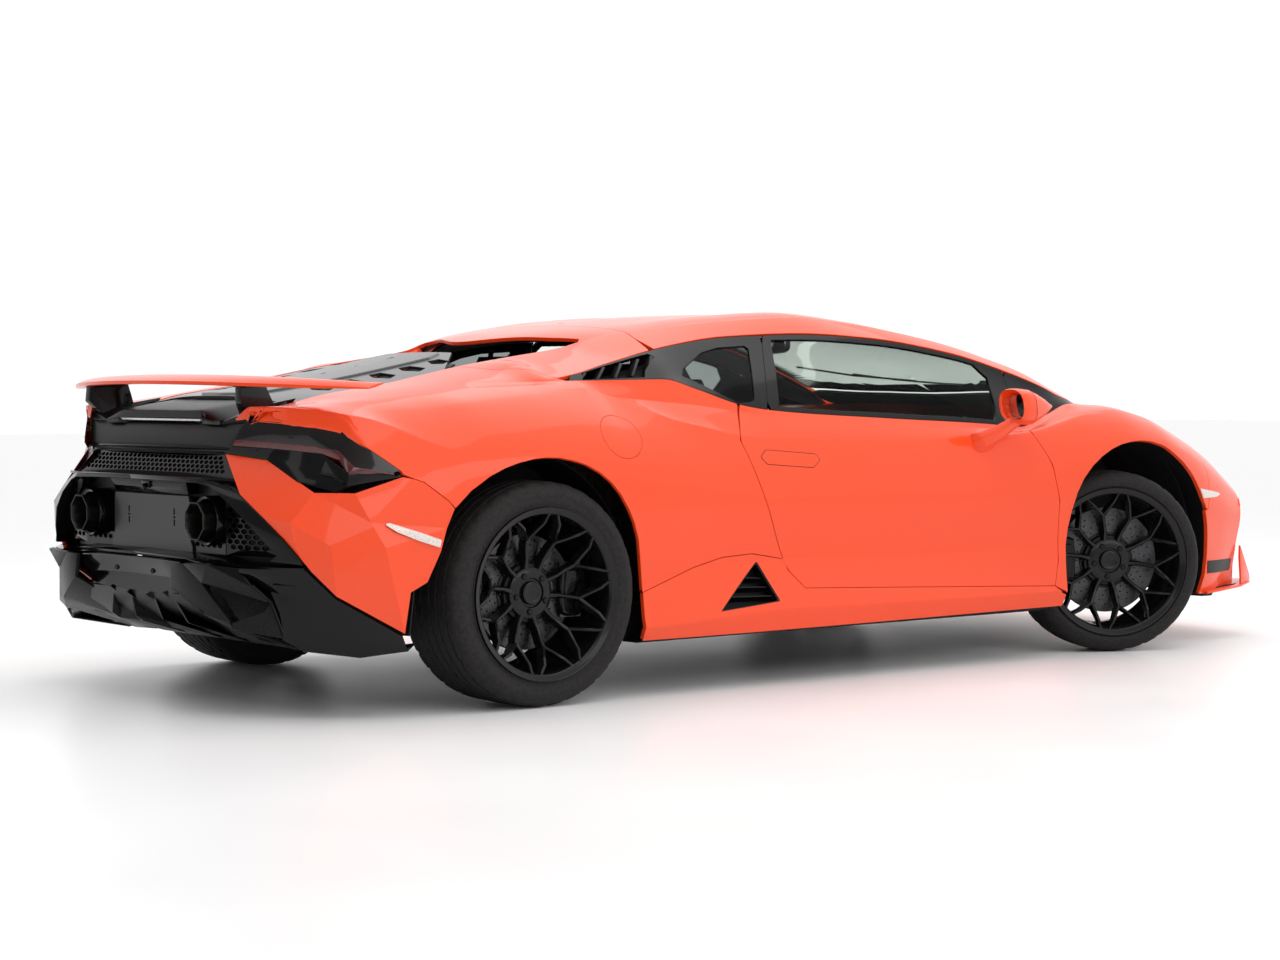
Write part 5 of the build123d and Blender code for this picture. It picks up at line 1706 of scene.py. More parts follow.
for side, s in (("left", 1), ("right", -1)):
    o = [(.455, .655), (.545, .622), (.700, .497), (.690, .478), (.455, .478)]
    if s < 0:
        o = [(-y, z) for y, z in reversed(o)]
    mesh_plate("pocket_mesh_" + side, o, .0105, .0040,
               lambda u, w, d: (float(np.interp(abs(u), [.44, .55, .64, .71], [-.822, -.810, -.785, -.752])) + d, u, w))
    o = [(.255, .520), (.455, .520), (.455, .478), (.255, .478)]
    if s < 0:
        o = [(-y, z) for y, z in reversed(o)]
    mesh_plate("pocket_mesh_low_" + side, o, .0105, .0040, lambda u, w, d: (-.822 + d, u, w))

# plate recess: a grey panel with two upright slots
b = Build()
out = [(.262, .478), (.262, .493), (.246, .520), (.246, .628), (.238, .648), (-.238, .648), (-.246, .628), (-.246, .520), (-.262, .493), (-.262, .478)]
slots = []
for cy in (.148, -.148):
    for dz in (.012, -.022):
        slots.append([(cy - .0045, .586 + dz - .010), (cy + .0045, .586 + dz - .010), (cy + .0045, .586 + dz + .010), (cy - .0045, .586 + dz + .010)])
    slots.append([(cy - .0085, .5785), (cy + .0085, .5785), (cy + .0085, .5835), (cy - .0085, .5835)])
v, f = plate(out, slots, 0.0, 1.0)
b.add([(-.828 - .004 * (.62 - p[1]) + (1 - p[2]) * .012, p[0], p[1]) for p in v], f)
ob = b.make("plate_panel", "plate_grey", None, angle=30, smooth=True)
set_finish(ob, "dark_plastic")
b = Build()
hull(b, [(-.828, s * .262, .478) for s in (1, -1)] + [(-.850, s * .268, .466) for s in (1, -1)] + [(-.800, s * .262, .480) for s in (1, -1)] +
     [(-.80, s * .268, .464) for s in (1, -1)])
hull(b, [(-.845, y, .668) for y in (-.020, .020)] + [(-.800, y, .668) for y in (-.028, .028)] + [(-.85, y, .690) for y in (-.026, .026)] +
     [(-.80, y, .696) for y in (-.034, .034)])
hull(b, [(-.826, y, .652) for y in (-.235, .235)] + [(-.800, y, .652) for y in (-.235, .235)] + [(-.842, y, .694) for y in (-.25, .25)] +
     [(-.80, y, .700) for y in (-.25, .25)] + [(-.842, y, .672) for y in (-.215, .215)])
v, f = revolve([(.0005, 0), (.0095, 0), (.0105, .006), (.0080, .010), (.0005, .0115)][1:] + [(.0005, 0)], 20)
b.add([(-.848 - p[2], p[0], .672 + p[1]) for p in v], f)
ob = b.make("plate_frame", "black_gloss", None, angle=30, bevel=.0015)
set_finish(ob, "black_trim")


# exhausts: octagonal tips in round housings
def exhaust(b):
    cy, cz = .380, .579

    def oct(r, x, n=8, k=1.0):
        return [(x, cy + k * r * math.cos(2 * math.pi * (i + .5) / n), cz + r * math.sin(2 * math.pi * (i + .5) / n)) for i in range(n)]
    rows = [oct(.0575, -.780), oct(.0590, -.850), oct(.0625, -.882), oct(.0615, -.8875), oct(.0575, -.8875), oct(.0550, -.880), oct(.0490, -.84),
            oct(.0445, -.78), ]
    V = sum(rows, [])
    F = []
    for i in range(len(rows)):
        j = (i + 1) % len(rows)
        for q in range(8):
            F.append((i * 8 + q, i * 8 + (q + 1) % 8, j * 8 + (q + 1) % 8, j * 8 + q))
    b.add(V, F)


for ob in sided("exhaust_tip", exhaust, "exhaust_steel", ["exhaust_tips"], angle=25, bevel=.0012):
    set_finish(ob, "steel")


def housing(b):
    cy, cz = .380, .579
    v, f = revolve([(.0665, .0), (.0735, .004), (.0760, .0), (.0760, -.055), (.0700, -.055), (.0660, -.01)], 40)
    b.add([(-.846 - p[2], cy + p[0], cz + p[1]) for p in v], f)
    v, f = revolve([(.030, .0), (.0425, .0), (.0425, -.050), (.038, -.052), (.036, -.01), (.030, -.008)], 32)
    b.add([(-.835 - p[2], cy + p[0], cz + p[1]) for p in v], f)
    v, f = revolve([(.0445, -.005), (.066, -.008), (.066, -.013), (.0445, -.012)], 40)
    b.add([(-.800 - p[2], cy + p[0], cz + p[1]) for p in v], f)


for ob in sided("exhaust_housing", housing, "black_gloss", angle=35):
    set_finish(ob, "black_trim")


# diffuser
def diff_slab(b, pts, thick, out):
    sheet(b, pts, [tuple(range(len(pts)))], thick, out)


b = Build()
# ramp under the tail
mirror_strip(b, [[(-.560, y, .1765) for y in (0, .2, .42)], [(-.70, y, .215) for y in (0, .2, .44)], [(-.84, y, .300) for y in (0, .2, .45)],
                 [(-.875, y, .352) for y in (0, .2, .45)]], .008, (-.4, 0, -1))
ob = b.make("diffuser_ramp", "black_satin", ["rear_diffuser"], angle=40)
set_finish(ob, "dark_plastic")

b = Build()
# centre band with its sensors, and the slanted field below it
mirror_strip(b, [[(-.895, 0, .462), (-.897, .20, .460), (-.900, .318, .455)], [(-.903, 0, .456), (-.905, .20, .454), (-.908, .318, .449)],
                 [(-.890, 0, .430), (-.892, .205, .428), (-.905, .318, .420)], [(-.882, 0, .404), (-.884, .205, .402), (-.895, .316, .395)],
                 [(-.868, 0, .400), (-.870, .205, .398), (-.875, .316, .392)], [(-.875, 0, .350), (-.875, .20, .350), (-.880, .316, .362)]],
             .008, (-1, 0, 0))
ob = b.make("diffuser_band", "black_gloss", None, angle=28, bevel=.0012)
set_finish(ob, "dark_plastic")
b = Build()
for y in (.118, -.118):
    v, f = revolve([(.0005, .0), (.0085, .0), (.0085, .004), (.0068, .0055), (.0062, .004), (.0005, .0042)], 20)
    b.add([(-.8865 - p[2], y + p[0], .417 + p[1]) for p in v], f)
ob = b.make("park_sensors", "black_satin", None, angle=30)
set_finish(ob, "dark_plastic")


def fins(b):
    # wide outer fin: face, recess and keel
    top0, top1 = (-.930, .312, .452), (-.925, .522, .458)
    el, lo, ke, tip = (-.935, .318, .380), (-.905, .462, .306), (-.852, .552, .262), (-.775, .705, .242)
    r0, r1 = (-.915, .470, .400), (-.795, .664, .345)
    ref = lambda p, d: (p[0] + d, p[1], p[2] + d * .15)
    # outer rim of the fin
    F1 = [top0, (-.930, .385, .454), r0, (-.872, .560, .285), ke, lo, el]
    sheet(b, F1, [(0, 1, 2, 6), (6, 2, 3, 5), (5, 3, 4)], .014, (-1, 0, -.2))
    F2 = [(-.930, .385, .454), top1, (-.84, .635, .395), r1, r0]
    sheet(b, F2, [(0, 1, 4), (1, 2, 3, 4)], .014, (-1, 0, .4))
    F3 = [(-.872, .560, .285), r1, tip, ke]
    sheet(b, [(-.800, .640, .318), r1, tip, ke, (-.868, .566, .283)], [(0, 1, 2), (0, 2, 3, 4)], .012, (-1, 0, -.4))
    # recess behind the opening
    sheet(b, [(-.875, .470, .398), (-.775, .655, .342), (-.80, .632, .300), (-.840, .566, .283)], [(0, 1, 2, 3)], .008, (-1, 0, 0))
    # keel: the fin's inner side, running forward under the car
    sheet(b, [el, lo, ke, (-.60, .545, .180), (-.60, .400, .185), (-.80, .318, .300)], [(0, 1, 4, 5), (1, 2, 3, 4)], .010, (0, -1, -1))
    # small inner fins
    for y0, y1, z0 in ((.165, .245, .352), (.055, .085, .340)):
        V = [(-.885, y0, z0), (-.868, y0 + .012, z0 + .010), (-.840, y1, .262), (-.790, y1 + .05, .240), (-.640, y1 + .03, .192), (-.72, y0 + .02, .23)]
        W = [(x, y + .010, z) for x, y, z in V]
        n = len(V)
        b.add(V + W, [tuple(range(n)), tuple(range(2 * n - 1, n - 1, -1))] + [(i, i + n, (i + 1) % n + n, (i + 1) % n) for i in range(n)])


for ob in sided("diffuser_fin", fins, "diffuser_grey", angle=25, bevel=.002):
    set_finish(ob, "dark_plastic")


def sweep(b):
    # black flank between the pocket and the wheel arch
    a = [(-.863, .600, .448), (-.845, .66, .448), (-.792, .735, .449), (-.752, .782, .455)]
    m = [(-.862, .605, .435), (-.835, .665, .430), (-.775, .740, .425), (-.735, .797, .430)]
    d = [(-.800, .62, .388), (-.775, .69, .372), (-.715, .755, .362), (-.682, .846, .362)]
    e = [(-.775, .705, .244), (-.745, .745, .236), (-.640, .835, .232), (-.497, .918, .246)]
    g = [(-.775, .70, .238), (-.735, .75, .206), (-.600, .850, .184), (-.475, .915, .200)]
    V = a + m + d + e + g
    F = [(i * 4 + k, i * 4 + k + 1, i * 4 + k + 5, i * 4 + k + 4) for i in range(4) for k in range(3)]
    sheet(b, V, F, .010, (-1, .6, -.2))
    # inner end: closes the gap between the fin and the flank
    sheet(b, [(-.925, .522, .458), (-.863, .600, .448), (-.862, .605, .435), (-.800, .62, .388), (-.775, .705, .244), (-.795, .664, .345), (-.84, .635, .395)],
          [(0, 1, 2, 6), (6, 2, 3), (6, 3, 4, 5)], .008, (-1, .2, -.2))
    # slot vane
    sheet(b, [(-.800, .690, .402), (-.750, .745, .400), (-.747, .748, .394), (-.797, .693, .396)], [(0, 1, 2, 3)], .020, (-1, .6, 0))
    # under edge of the flank, out to the arch
    sheet(b, [g[1], g[2], g[3], (-.445, .90, .215), (-.46, .70, .185), (-.62, .56, .182)], [(0, 1, 5), (1, 4, 5), (1, 2, 3, 4)], .008, (0, 0, -1))


for ob in sided("tail_flank", sweep, "black_gloss", angle=25, bevel=.002):
    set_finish(ob, "dark_plastic")


# ---------------------------------------------------------------- front
ROW = [tuple(float(c) for c in p) for p in MASTER.G[-1]]          # the edge of the nose, from the bottom of the corner to the centre
NOSE = [ROW[k] for k in range(len(ROW)) if k % 4 == 0 or k == len(ROW) - 1]
NOSE[-1] = (NOSE[-1][0], 0.0, NOSE[-1][2])
hood_front = T([(3.00, .492), (3.14, .42), (3.25, .33), (3.31, .22), (3.325, .10), (3.33, 0.0)], .03)
fender_front = S([(3.060, .494), (3.082, .500), (3.100, .56), (3.108, .62)], .02) + \
    P3([(3.105, .873, .640), (3.092, .82, .715), (3.075, .74, .765), (3.06, .66, .785), (3.02, .50, .80)], .03)[1:]
nose_loop = (S([p for p in reversed(ARCH_F) if p[1] < .48 and p[0] > 2.9], .04) + fender_front + hood_front +
             [tuple(MASTER.near(((1 - t) * 3.33 + t * NOSE[-1][0], 0, (1 - t) * MASTER.top(3.33, 0)[2] + t * NOSE[-1][2]))[0]) for t in (.25, .5, .75)] +
             list(reversed(NOSE)) + list(reversed(line("edge", 3.062, 3.37, .05))))
nose_loop = [(p[0], 0.0 if abs(p[1]) < 2e-3 else p[1], p[2]) for p in nose_loop]
LAMP = rounded([(3.120, .735), (3.105, .690), (3.235, .520), (3.385, .395), (3.425, .400), (3.395, .520), (3.300, .665), (3.20, .745)], .02)
lamp_loop = T(LAMP + LAMP[:1], .03)[:-1]
STRIP = [(3.088, .303), (3.322, .298), (3.308, .256), (3.086, .258)]
MARK = [(3.030, .576), (3.053, .5725), (3.172, .5565), (3.192, .549), (3.152, .541), (3.046, .541)]
panel("nose_skin", nose_loop, holes=[lamp_loop], gap=0.0022, thick=0.014, replaces=["front_bumper"], sides="across")

# headlamp: clear lens, dark bucket, running light bars and projectors
panel("headlamp_lens", lamp_loop, gap=0.0025, thick=0.004, mat="lens_clear", push=-.0005, replaces=["headlights"])


def bucket(b):
    P, N, F = cut(MASTER, shrink(lamp_loop, .001))
    c = P.mean(0)
    Q = P - N * .045 + (c - P) * .12
    sheet(b, Q, F, .004, (.6, .2, .8))
    # side walls
    cnt = {}
    for f in F:
        for k in range(len(f)):
            cnt[(f[k], f[(k + 1) % len(f)])] = 1
    rim = [(p, q) for (p, q) in cnt if (q, p) not in cnt]
    for p, q in rim:
        n = b.n
        V = np.array([P[p] - N[p] * .006, P[q] - N[q] * .006, Q[q], Q[p]])
        m = np.cross(V[1] - V[0], V[2] - V[0])
        m /= np.linalg.norm(m) + 1e-9
        m = m if m @ (c - V[0]) < 0 else -m
        b.add(np.concatenate([V, V + m * .003]), [(0, 1, 2, 3), (7, 6, 5, 4), (0, 4, 5, 1), (1, 5, 6, 2), (2, 6, 7, 3), (3, 7, 4, 0)])


for ob in sided("headlamp_bucket", bucket, "black_satin", angle=30):
    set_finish(ob, "headlight")


def drl(b):
    def up(x, y, d=-.020):
        p = MASTER.top(x, y)
        return (float(p[0]), float(p[1]), float(p[2]) + d)
    hub = (3.235, .600)
    for a, c in ((hub, (3.150, .700)), (hub, (3.215, .700)), (hub, (3.365, .440))):
        d = np.array(c) - np.array(a)
        d = d / np.linalg.norm(d)
        n = np.array([-d[1], d[0]]) * .0065
        q = [up(a[0] + n[0], a[1] + n[1]), up(a[0] - n[0], a[1] - n[1]), up(c[0] - n[0] * .7, c[1] - n[1] * .7), up(c[0] + n[0] * .7, c[1] + n[1] * .7)]
        sheet(b, q, [(0, 1, 2, 3)], .008, (0, 0, 1))


for ob in sided("headlamp_bars", drl, "silver_lens", angle=30, bevel=.001):
    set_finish(ob, "headlight")


def pods(b):
    for x, y in ((3.290, .560), (3.205, .650), (3.352, .478)):
        p = MASTER.top(x, y)
        v, f = revolve([(.001, .004), (.017, .000), (.022, -.004), (.0225, -.030), (.020, -.030), (.0195, -.008), (.016, -.006), (.001, -.003)], 24)
        a = math.radians(38)
        R = np.array([[math.cos(a), 0, math.sin(a)], [0, 1, 0], [-math.sin(a), 0, math.cos(a)]])
        b.add(v @ R.T + np.array([float(p[0]) - .004, float(p[1]), float(p[2]) - .026]), f)


for ob in sided("headlamp_pods", pods, "reflector_bright", angle=30):
    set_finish(ob, "headlight")


def face_x(y, z):
    y = abs(y)
    e = np.array(NOSE)
    zt = float(np.interp(y, e[::-1, 1][:], e[::-1, 2][:])) if y < .745 else .50
    x0 = 3.6115 - .2115 * (y / .80) ** 2.25
    return x0 - max(0.0, zt - z) * .20 - .004


FG = np.array([[(face_x(y, z), y, z) for z in np.linspace(.175, .60, 40)] for y in np.linspace(-.83, .83, 101)])
FRONT = Skin(FG, out=(1, 0, 0))


def face_cut(outline, holes=()):
    """Front face pieces, outlines in (y, z)."""
    loops = [outline] + list(holes)
    loops = [dense(l, .03) for l in loops]
    pts, edges = [], []
    for l in loops:
        s = len(pts)
        pts += [tuple(p) for p in l]
        edges += [(s + i, s + (i + 1) % len(l)) for i in range(len(l))]
    o = np.array(loops[0])
    for y in np.arange(o[:, 0].min(), o[:, 0].max(), .03):
        for z in np.arange(o[:, 1].min(), o[:, 1].max(), .03):
            pts.append((y, z))
    r = delaunay_2d_cdt([Vector(p) for p in pts], edges, [], 2, 1e-7, True)
    v2, fs = r[0], r[2]
    cx = np.array([np.mean([v2[i][0] for i in f]) for f in fs])
    cy = np.array([np.mean([v2[i][1] for i in f]) for f in fs])
    m = inside(loops[0], cx, cy)
    for h in loops[1:]:
        m &= ~inside(h, cx, cy)
    return [(v[0], v[1]) for v in v2], [tuple(f) for f, g in zip(fs, m) if g]


def face_piece(name, outline, holes=(), thick=.02, depth=0.0, mat="paint", half=True, replaces=None, rake=0.0, bev=.002):
    b = Build()
    v2, F = face_cut(outline, holes)
    used = sorted({i for f in F for i in f})
    re = {g: k for k, g in enumerate(used)}
    F = [tuple(re[i] for i in f) for f in F]
    P = [(face_x(v2[i][0], v2[i][1]) - depth + rake * (v2[i][1] - .3), v2[i][0], v2[i][1]) for i in used]
    if half:
        P2 = [(x, -y, z) for x, y, z in P]
        sheet(b, P, F, thick, (1, 0, 0))
        sheet(b, P2, F, thick, (1, 0, 0))
    else:
        sheet(b, P, F, thick, (1, 0, 0))
    return b.make(name, mat, replaces, angle=30, bevel=bev)


def nose_z(y):
    e = np.array([(p[1], p[2]) for p in NOSE if p[2] > .44 and p[1] < .79])
    e = e[np.argsort(e[:, 0])]
    return float(np.interp(y, e[:, 0], e[:, 1]))


top_edge = [(y, nose_z(y) - .003) for y in (-.74, -.66, -.55, -.45, -.35, -.25, -.12, 0, .12, .25, .35, .45, .55, .66, .74)]
frame_out = [(-.803, .30), (-.803, .50), (-.790, .525)] + top_edge + [(.790, .525), (.803, .50), (.803, .30), (.790, .195), (.62, .176), (.30, .182),
                                                                     (.12, .190), (-.12, .190), (-.30, .182), (-.62, .176), (-.790, .195)]
intake = rounded([(.205, .425), (.40, .462), (.700, .470), (.745, .430), (.742, .300), (.690, .236), (.330, .236), (.205, .300)], .012)
mid = rounded([(-.165, .392), (.165, .392), (.120, .250), (-.120, .250)], .012)
im = [(-y, z) for y, z in reversed(intake)]
face_piece("nose_face", frame_out, [intake, im, mid], thick=.020, mat="paint", half=False)
# struts that split each intake
face_piece("nose_strut", [(.395, .475), (.455, .478), (.520, .365), (.640, .245), (.575, .225), (.470, .350)], thick=.030, depth=-.004, mat="paint")
face_piece("nose_strut_wing", [(.505, .372), (.530, .352), (.745, .352), (.752, .372)], thick=.035, depth=.010, mat="black_gloss")
for side, s in (("left", 1), ("right", -1)):
    o = [(.195, .432), (.39, .470), (.71, .478), (.755, .434), (.752, .296), (.70, .226), (.32, .226), (.195, .293)]
    if s < 0:
        o = [(-y, z) for y, z in reversed(o)]
    mesh_plate("intake_mesh_" + side, o, .0135, .0045, lambda u, w, d: (face_x(u, w) - .042 - d, u, w), thick=.006)
mesh_plate("intake_mesh_mid", [(-.175, .400), (.175, .400), (.130, .242), (-.130, .242)], .0135, .0045,
           lambda u, w, d: (face_x(u, w) - .036 - d, u, w), thick=.006)
face_piece("nose_back", [(-.78, .21), (.78, .21), (.78, .49), (-.78, .49)], thick=.006, depth=.085, mat="black_satin", half=False, bev=0)
face_piece("nose_slot", [(-.26, .455), (.26, .455), (.22, .440), (-.22, .440)], thick=.006, depth=-.0025, mat="black_gloss", half=False, bev=.001)


def lip(b):
    # lower lip: runs from the wheel arch round the corner and across
    o = [(3.085, .905), (3.178, .895), (3.330, .862), (3.440, .812), (3.475, .760), (3.525, .600), (3.575, .420), (3.600, .220), (3.606, .0)]
    i = [(3.085, .70), (3.178, .70), (3.28, .70), (3.34, .68), (3.37, .64), (3.40, .56), (3.43, .40), (3.45, .20), (3.45, 0)]
    zo = [.189, .194, .201, .209, .210, .206, .202, .200, .200]
    V = [(x, y, z) for (x, y), z in zip(o, zo)] + [(x, y, z + .003) for (x, y), z in zip(i, zo)]
    n = len(o)
    F = [(k, k + 1, k + 1 + n, k + n) for k in range(n - 1)]
    V = V + [(x, -y, z) for x, y, z in V]
    G = F + [tuple(2 * n + q for q in reversed(f)) for f in F]
    m = {2 * n + n - 1: n - 1, 2 * n + 2 * n - 1: 2 * n - 1}
    G = [tuple(m.get(q, q) for q in f) for f in G]
    used = sorted({q for f in G for q in f})
    re = {g: k for k, g in enumerate(used)}
    sheet(b, [V[g] for g in used], [tuple(re[q] for q in f) for f in G], .009, (0, 0, 1))


b = Build()
lip(b)
ob = b.make("front_lip", "paint", ["front_splitter"], angle=30, bevel=.002)
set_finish(ob, "body_paint")


def lip_end(b):
    # upright end of the lip, beside the corner
    sheet(b, [(3.330, .862, .203), (3.440, .812, .212), (3.452, .800, .232), (3.415, .805, .300), (3.392, .806, .345), (3.380, .815, .300), (3.350, .845, .230)],
          [(0, 1, 2, 6), (6, 2, 3, 5), (5, 3, 4)], .008, (.3, 1, 0))


for ob in sided("front_lip_end", lip_end, "paint", angle=30, bevel=.0015):
    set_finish(ob, "body_paint")


def lip_under(b):
    sheet(b, [(3.105, .875, .186), (3.30, .850, .193), (3.43, .790, .196), (3.40, .60, .176), (3.15, .62, .172)], [(0, 1, 2, 3, 4)], .010, (0, 0, -1))
    hull(b, [(3.120, .845, .187), (3.20, .845, .187), (3.125, .70, .176), (3.19, .70, .176), (3.135, .84, .165), (3.185, .84, .165), (3.14, .72, .163), (3.18, .72, .163)])


ob = both("front_lip_under", lip_under, "black_plastic", angle=30, bevel=.0015)
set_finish(ob, "black_trim")
panel("corner_strip", S(STRIP + STRIP[:1], .03)[:-1], gap=0.0, thick=.004, push=.0028, mat="black_satin")
panel("front_marker", S(MARK + MARK[:1], .03)[:-1], gap=0.0, thick=.004, push=.0026, mat="marker")

# ---------------------------------------------------------------- side windows
SEAM_B = [(1.112, .661, 1.130), (1.045, .755, 1.018), (.980, .846, .901)]
SEAM_A = [(2.142, .846, .822), (2.168, .800, .905), (2.180, .728, 1.020)]


def band(xa, xb, dv, step=.03):
    return line("glass_low", xa, xb, step, dv=dv)


door_hole = band(1.035, 2.035, .060) + P3([(2.060, .815, .890), (2.092, .745, .995)], .03) + band(2.045, 1.150, .925)
door_frame = band(.992, 2.140, .004) + P3(SEAM_A, .03)[1:] + band(2.165, 1.125, .985) + P3(SEAM_B, .03)[1:-1]
panel("door_window_frame", door_frame, holes=[door_hole], gap=.0015, thick=.010, push=-.0012, mat="black_gloss", replaces=["door_glass_SIDE"],
      body="door_SIDE")
panel("door_window", door_hole, gap=-.004, thick=.004, push=-.0052, mat="glass_side", body="door_SIDE")
q_hole = P3([(.672, .782, 1.008), (.695, .757, 1.031), (.813, .704, 1.084), (.895, .689, 1.101), (1.018, .681, 1.107), (1.030, .690, 1.096),
             (.940, .828, .928), (.925, .833, .921), (.862, .838, .915), (.775, .815, .960), (.672, .782, 1.008)], .03)[:-1]
v_hole = band(.295, .520, .085, .02) + P3([(.540, .757, 1.024), (.615, .709, 1.072)], .02) + band(.602, .312, .925, .02)
q_frame = band(.246, .975, .004) + P3(list(reversed(SEAM_B)), .03)[1:-1] + band(1.108, .265, .985)
panel("quarter_frame", q_frame, holes=[q_hole, v_hole], gap=.0015, thick=.010, push=-.0012, mat="black_gloss")
panel("quarter_window", q_hole, gap=-.004, thick=.004, push=-.0052, mat="glass_dark", replaces=["quarter_windows"])
sail = band(2.150, 2.565, .004) + band(2.560, 2.195, .985) + P3(list(reversed(SEAM_A)), .03)[1:-1]
panel("mirror_sail", sail, gap=.0015, thick=.010, push=-.0012, mat="black_gloss")


def slats(b):
    # vent slats in the rear of the window band, and the dark box behind them
    for (x0, y0, z0), (x1, y1, z1) in (((.275, .752, .992), (.328, .716, 1.020)), ((.345, .757, .998), (.402, .714, 1.036)), ((.412, .762, 1.002), (.474, .712, 1.049)),
                                       ((.478, .765, 1.008), (.545, .708, 1.062)), ((.540, .768, 1.014), (.600, .708, 1.072))):
        w = .012
        V = []
        for (x, y, z), k in (((x0, y0, z0), 0), ((x1, y1, z1), 1)):
            V += [(x, y - .001, z), (x + w, y - .003, z - .001), (x + w + .010, y - .038, z - .006), (x + .008, y - .038, z - .004)]
        b.add(V, [(0, 1, 5, 4), (1, 2, 6, 5), (2, 3, 7, 6), (3, 0, 4, 7), (3, 2, 1, 0), (4, 5, 6, 7)])


for ob in sided("vent_slats", slats, "black_satin", angle=30, bevel=.0015):
    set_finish(ob, "black_trim")
v_back = shrink(v_hole, -.012)
panel("vent_back", v_back, gap=0.0, thick=.003, push=-.045, mat="black_plastic")


# ---------------------------------------------------------------- windscreen and cowl
ws_top = T([(1.545, 0), (1.545, .2), (1.552, .36), (1.575, .475), (1.62, .532)], .03)
ws_side = [p for p in line("cant", 1.66, 2.46, .03, dv=.10)]
ws_low = T([(2.48, .60), (2.505, .48), (2.53, .32), (2.545, .15), (2.55, 0)], .04)
ws_loop = ws_top + ws_side + ws_low
ws_loop = [(p[0], 0.0 if abs(p[1]) < 2e-3 else p[1], p[2]) for p in ws_loop]
panel("windscreen_glass", ws_loop, gap=.003, thick=.005, push=-.002, mat="glass_side", replaces=["windscreen"], sides="across")
inner_top = T([(1.585, 0), (1.585, .2), (1.592, .34), (1.615, .43), (1.66, .480)], .03)
inner_side = [p for p in line("cant", 1.70, 2.40, .03, dv=.27)]
inner_low = T([(2.42, .54), (2.44, .44), (2.465, .30), (2.48, .15), (2.485, 0)], .04)


def frit():
    P, N, F = cut(MASTER, shrink(ws_loop, .004))
    o = [flat_master(p) for p in inner_top + inner_side + inner_low]
    keep = []
    for f in F:
        c = flat_master(P[f].mean(0))
        if not inside(o, np.array([c[0]]), np.array([c[1]]))[0]:
            keep.append(f)
    P = P - N * .0085
    P, N, keep = full(P, N, keep)
    return solid("windscreen_border", P, N, keep, .002, False, .0006, "black_gloss", None, "root")


frit()
cowl = T([(2.555, 0), (2.55, .15), (2.535, .32), (2.510, .48), (2.487, .60)], .04) + [p for p in line("cant", 2.49, 2.545, .02, dv=.10)] + \
    T([(2.593, .61), (2.605, .48), (2.628, .32), (2.643, .15), (2.648, 0)], .04)
cowl = [(p[0], 0.0 if abs(p[1]) < 2e-3 else p[1], p[2]) for p in cowl]
panel("cowl", cowl, gap=.002, thick=.010, push=-.010, mat="black_plastic", sides="across")


def wiper():
    b = Build()
    pts = [(2.515, -.30), (2.505, -.10), (2.470, .12), (2.40, .30)]
    P = [tuple(MASTER.top(x, abs(y)) * np.array([1, math.copysign(1, y), 1]) + np.array([0, 0, .010])) for x, y in pts]
    b.add(*bar(P, [.016, .012, .010, .008], [.008, .007, .006, .005]))
    pts = [(2.330, -.05 + .0), (2.40, .30), (2.36, .44)]
    Q = [tuple(MASTER.top(x, abs(y)) * np.array([1, math.copysign(1, y), 1]) + np.array([0, 0, .006])) for x, y in [(2.47, .02), (2.405, .30), (2.30, .52)]]
    b.add(*bar(dense(Q, .05, False), [.006] * len(dense(Q, .05, False)), [.007] * len(dense(Q, .05, False))))
    v, f = revolve([(.0005, .016), (.012, .015), (.015, .010), (.015, -.01), (.0005, -.01)], 20)
    b.add(v + np.array(P[0]), f)
    ob = b.make("wiper", "black_satin", None, angle=35)
    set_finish(ob, "black_trim")


wiper()

# ---------------------------------------------------------------- engine cover
cover_loop = (T([(.185, 0), (.185, .180)], .03) + T([(.185, .180), (-.010, .430)], .03)[1:] + [p for p in line("cant", -.03, -.57, .03)] +
              T([(-.595, .425), (-.600, .30), (-.600, .15), (-.600, 0)], .03))
cover_loop = [(p[0], 0.0 if abs(p[1]) < 2e-3 else p[1], p[2]) for p in cover_loop]
VENTS = []
for k in range(5):
    x = .035 - .112 * k
    yo = .392 if k else .360
    VENTS.append([(x, yo - .01), (x + .048, yo - .045), (x + .060, .235), (x + .020, .225), (x - .012, .30)])
vent_loops = [T(rounded(v, .006) + rounded(v, .006)[:1], .03)[:-1] for v in VENTS]
panel("cover_skin", cover_loop, holes=vent_loops, gap=.003, thick=.010, push=-.002, mat="cover_black", replaces=["engine_cover"], body="engine_cover",
      sides="across")


def cover_blades(b):
    for v in VENTS:
        (xa, ya), (xb, yb) = v[0], v[3]
        a = MASTER.top(xa + .012, ya)
        c = MASTER.top(xb + .014, yb)
        p1, p2 = np.array(a), np.array(c)
        V = [p1 + (.034, 0, -.004), p2 + (.030, 0, -.004), p2 + (-.030, 0, -.036), p1 + (-.030, 0, -.036)]
        sheet(b, V, [(0, 1, 2, 3)], .005, (0, 0, 1))
    # inner rail under the vents
    r = [MASTER.top(x, .215) + np.array([0, 0, -.016]) for x in (.10, -.10, -.30, -.55)]
    r2 = [MASTER.top(x, .225) + np.array([0, 0, -.055]) for x in (.10, -.10, -.30, -.55)]
    sheet(b, r + r2, [(k, k + 1, k + 5, k + 4) for k in range(3)], .006, (0, 1, 0))


ob = both("cover_blades", cover_blades, "black_satin", body="engine_cover", angle=30, bevel=.001)
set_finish(ob, "black_trim")


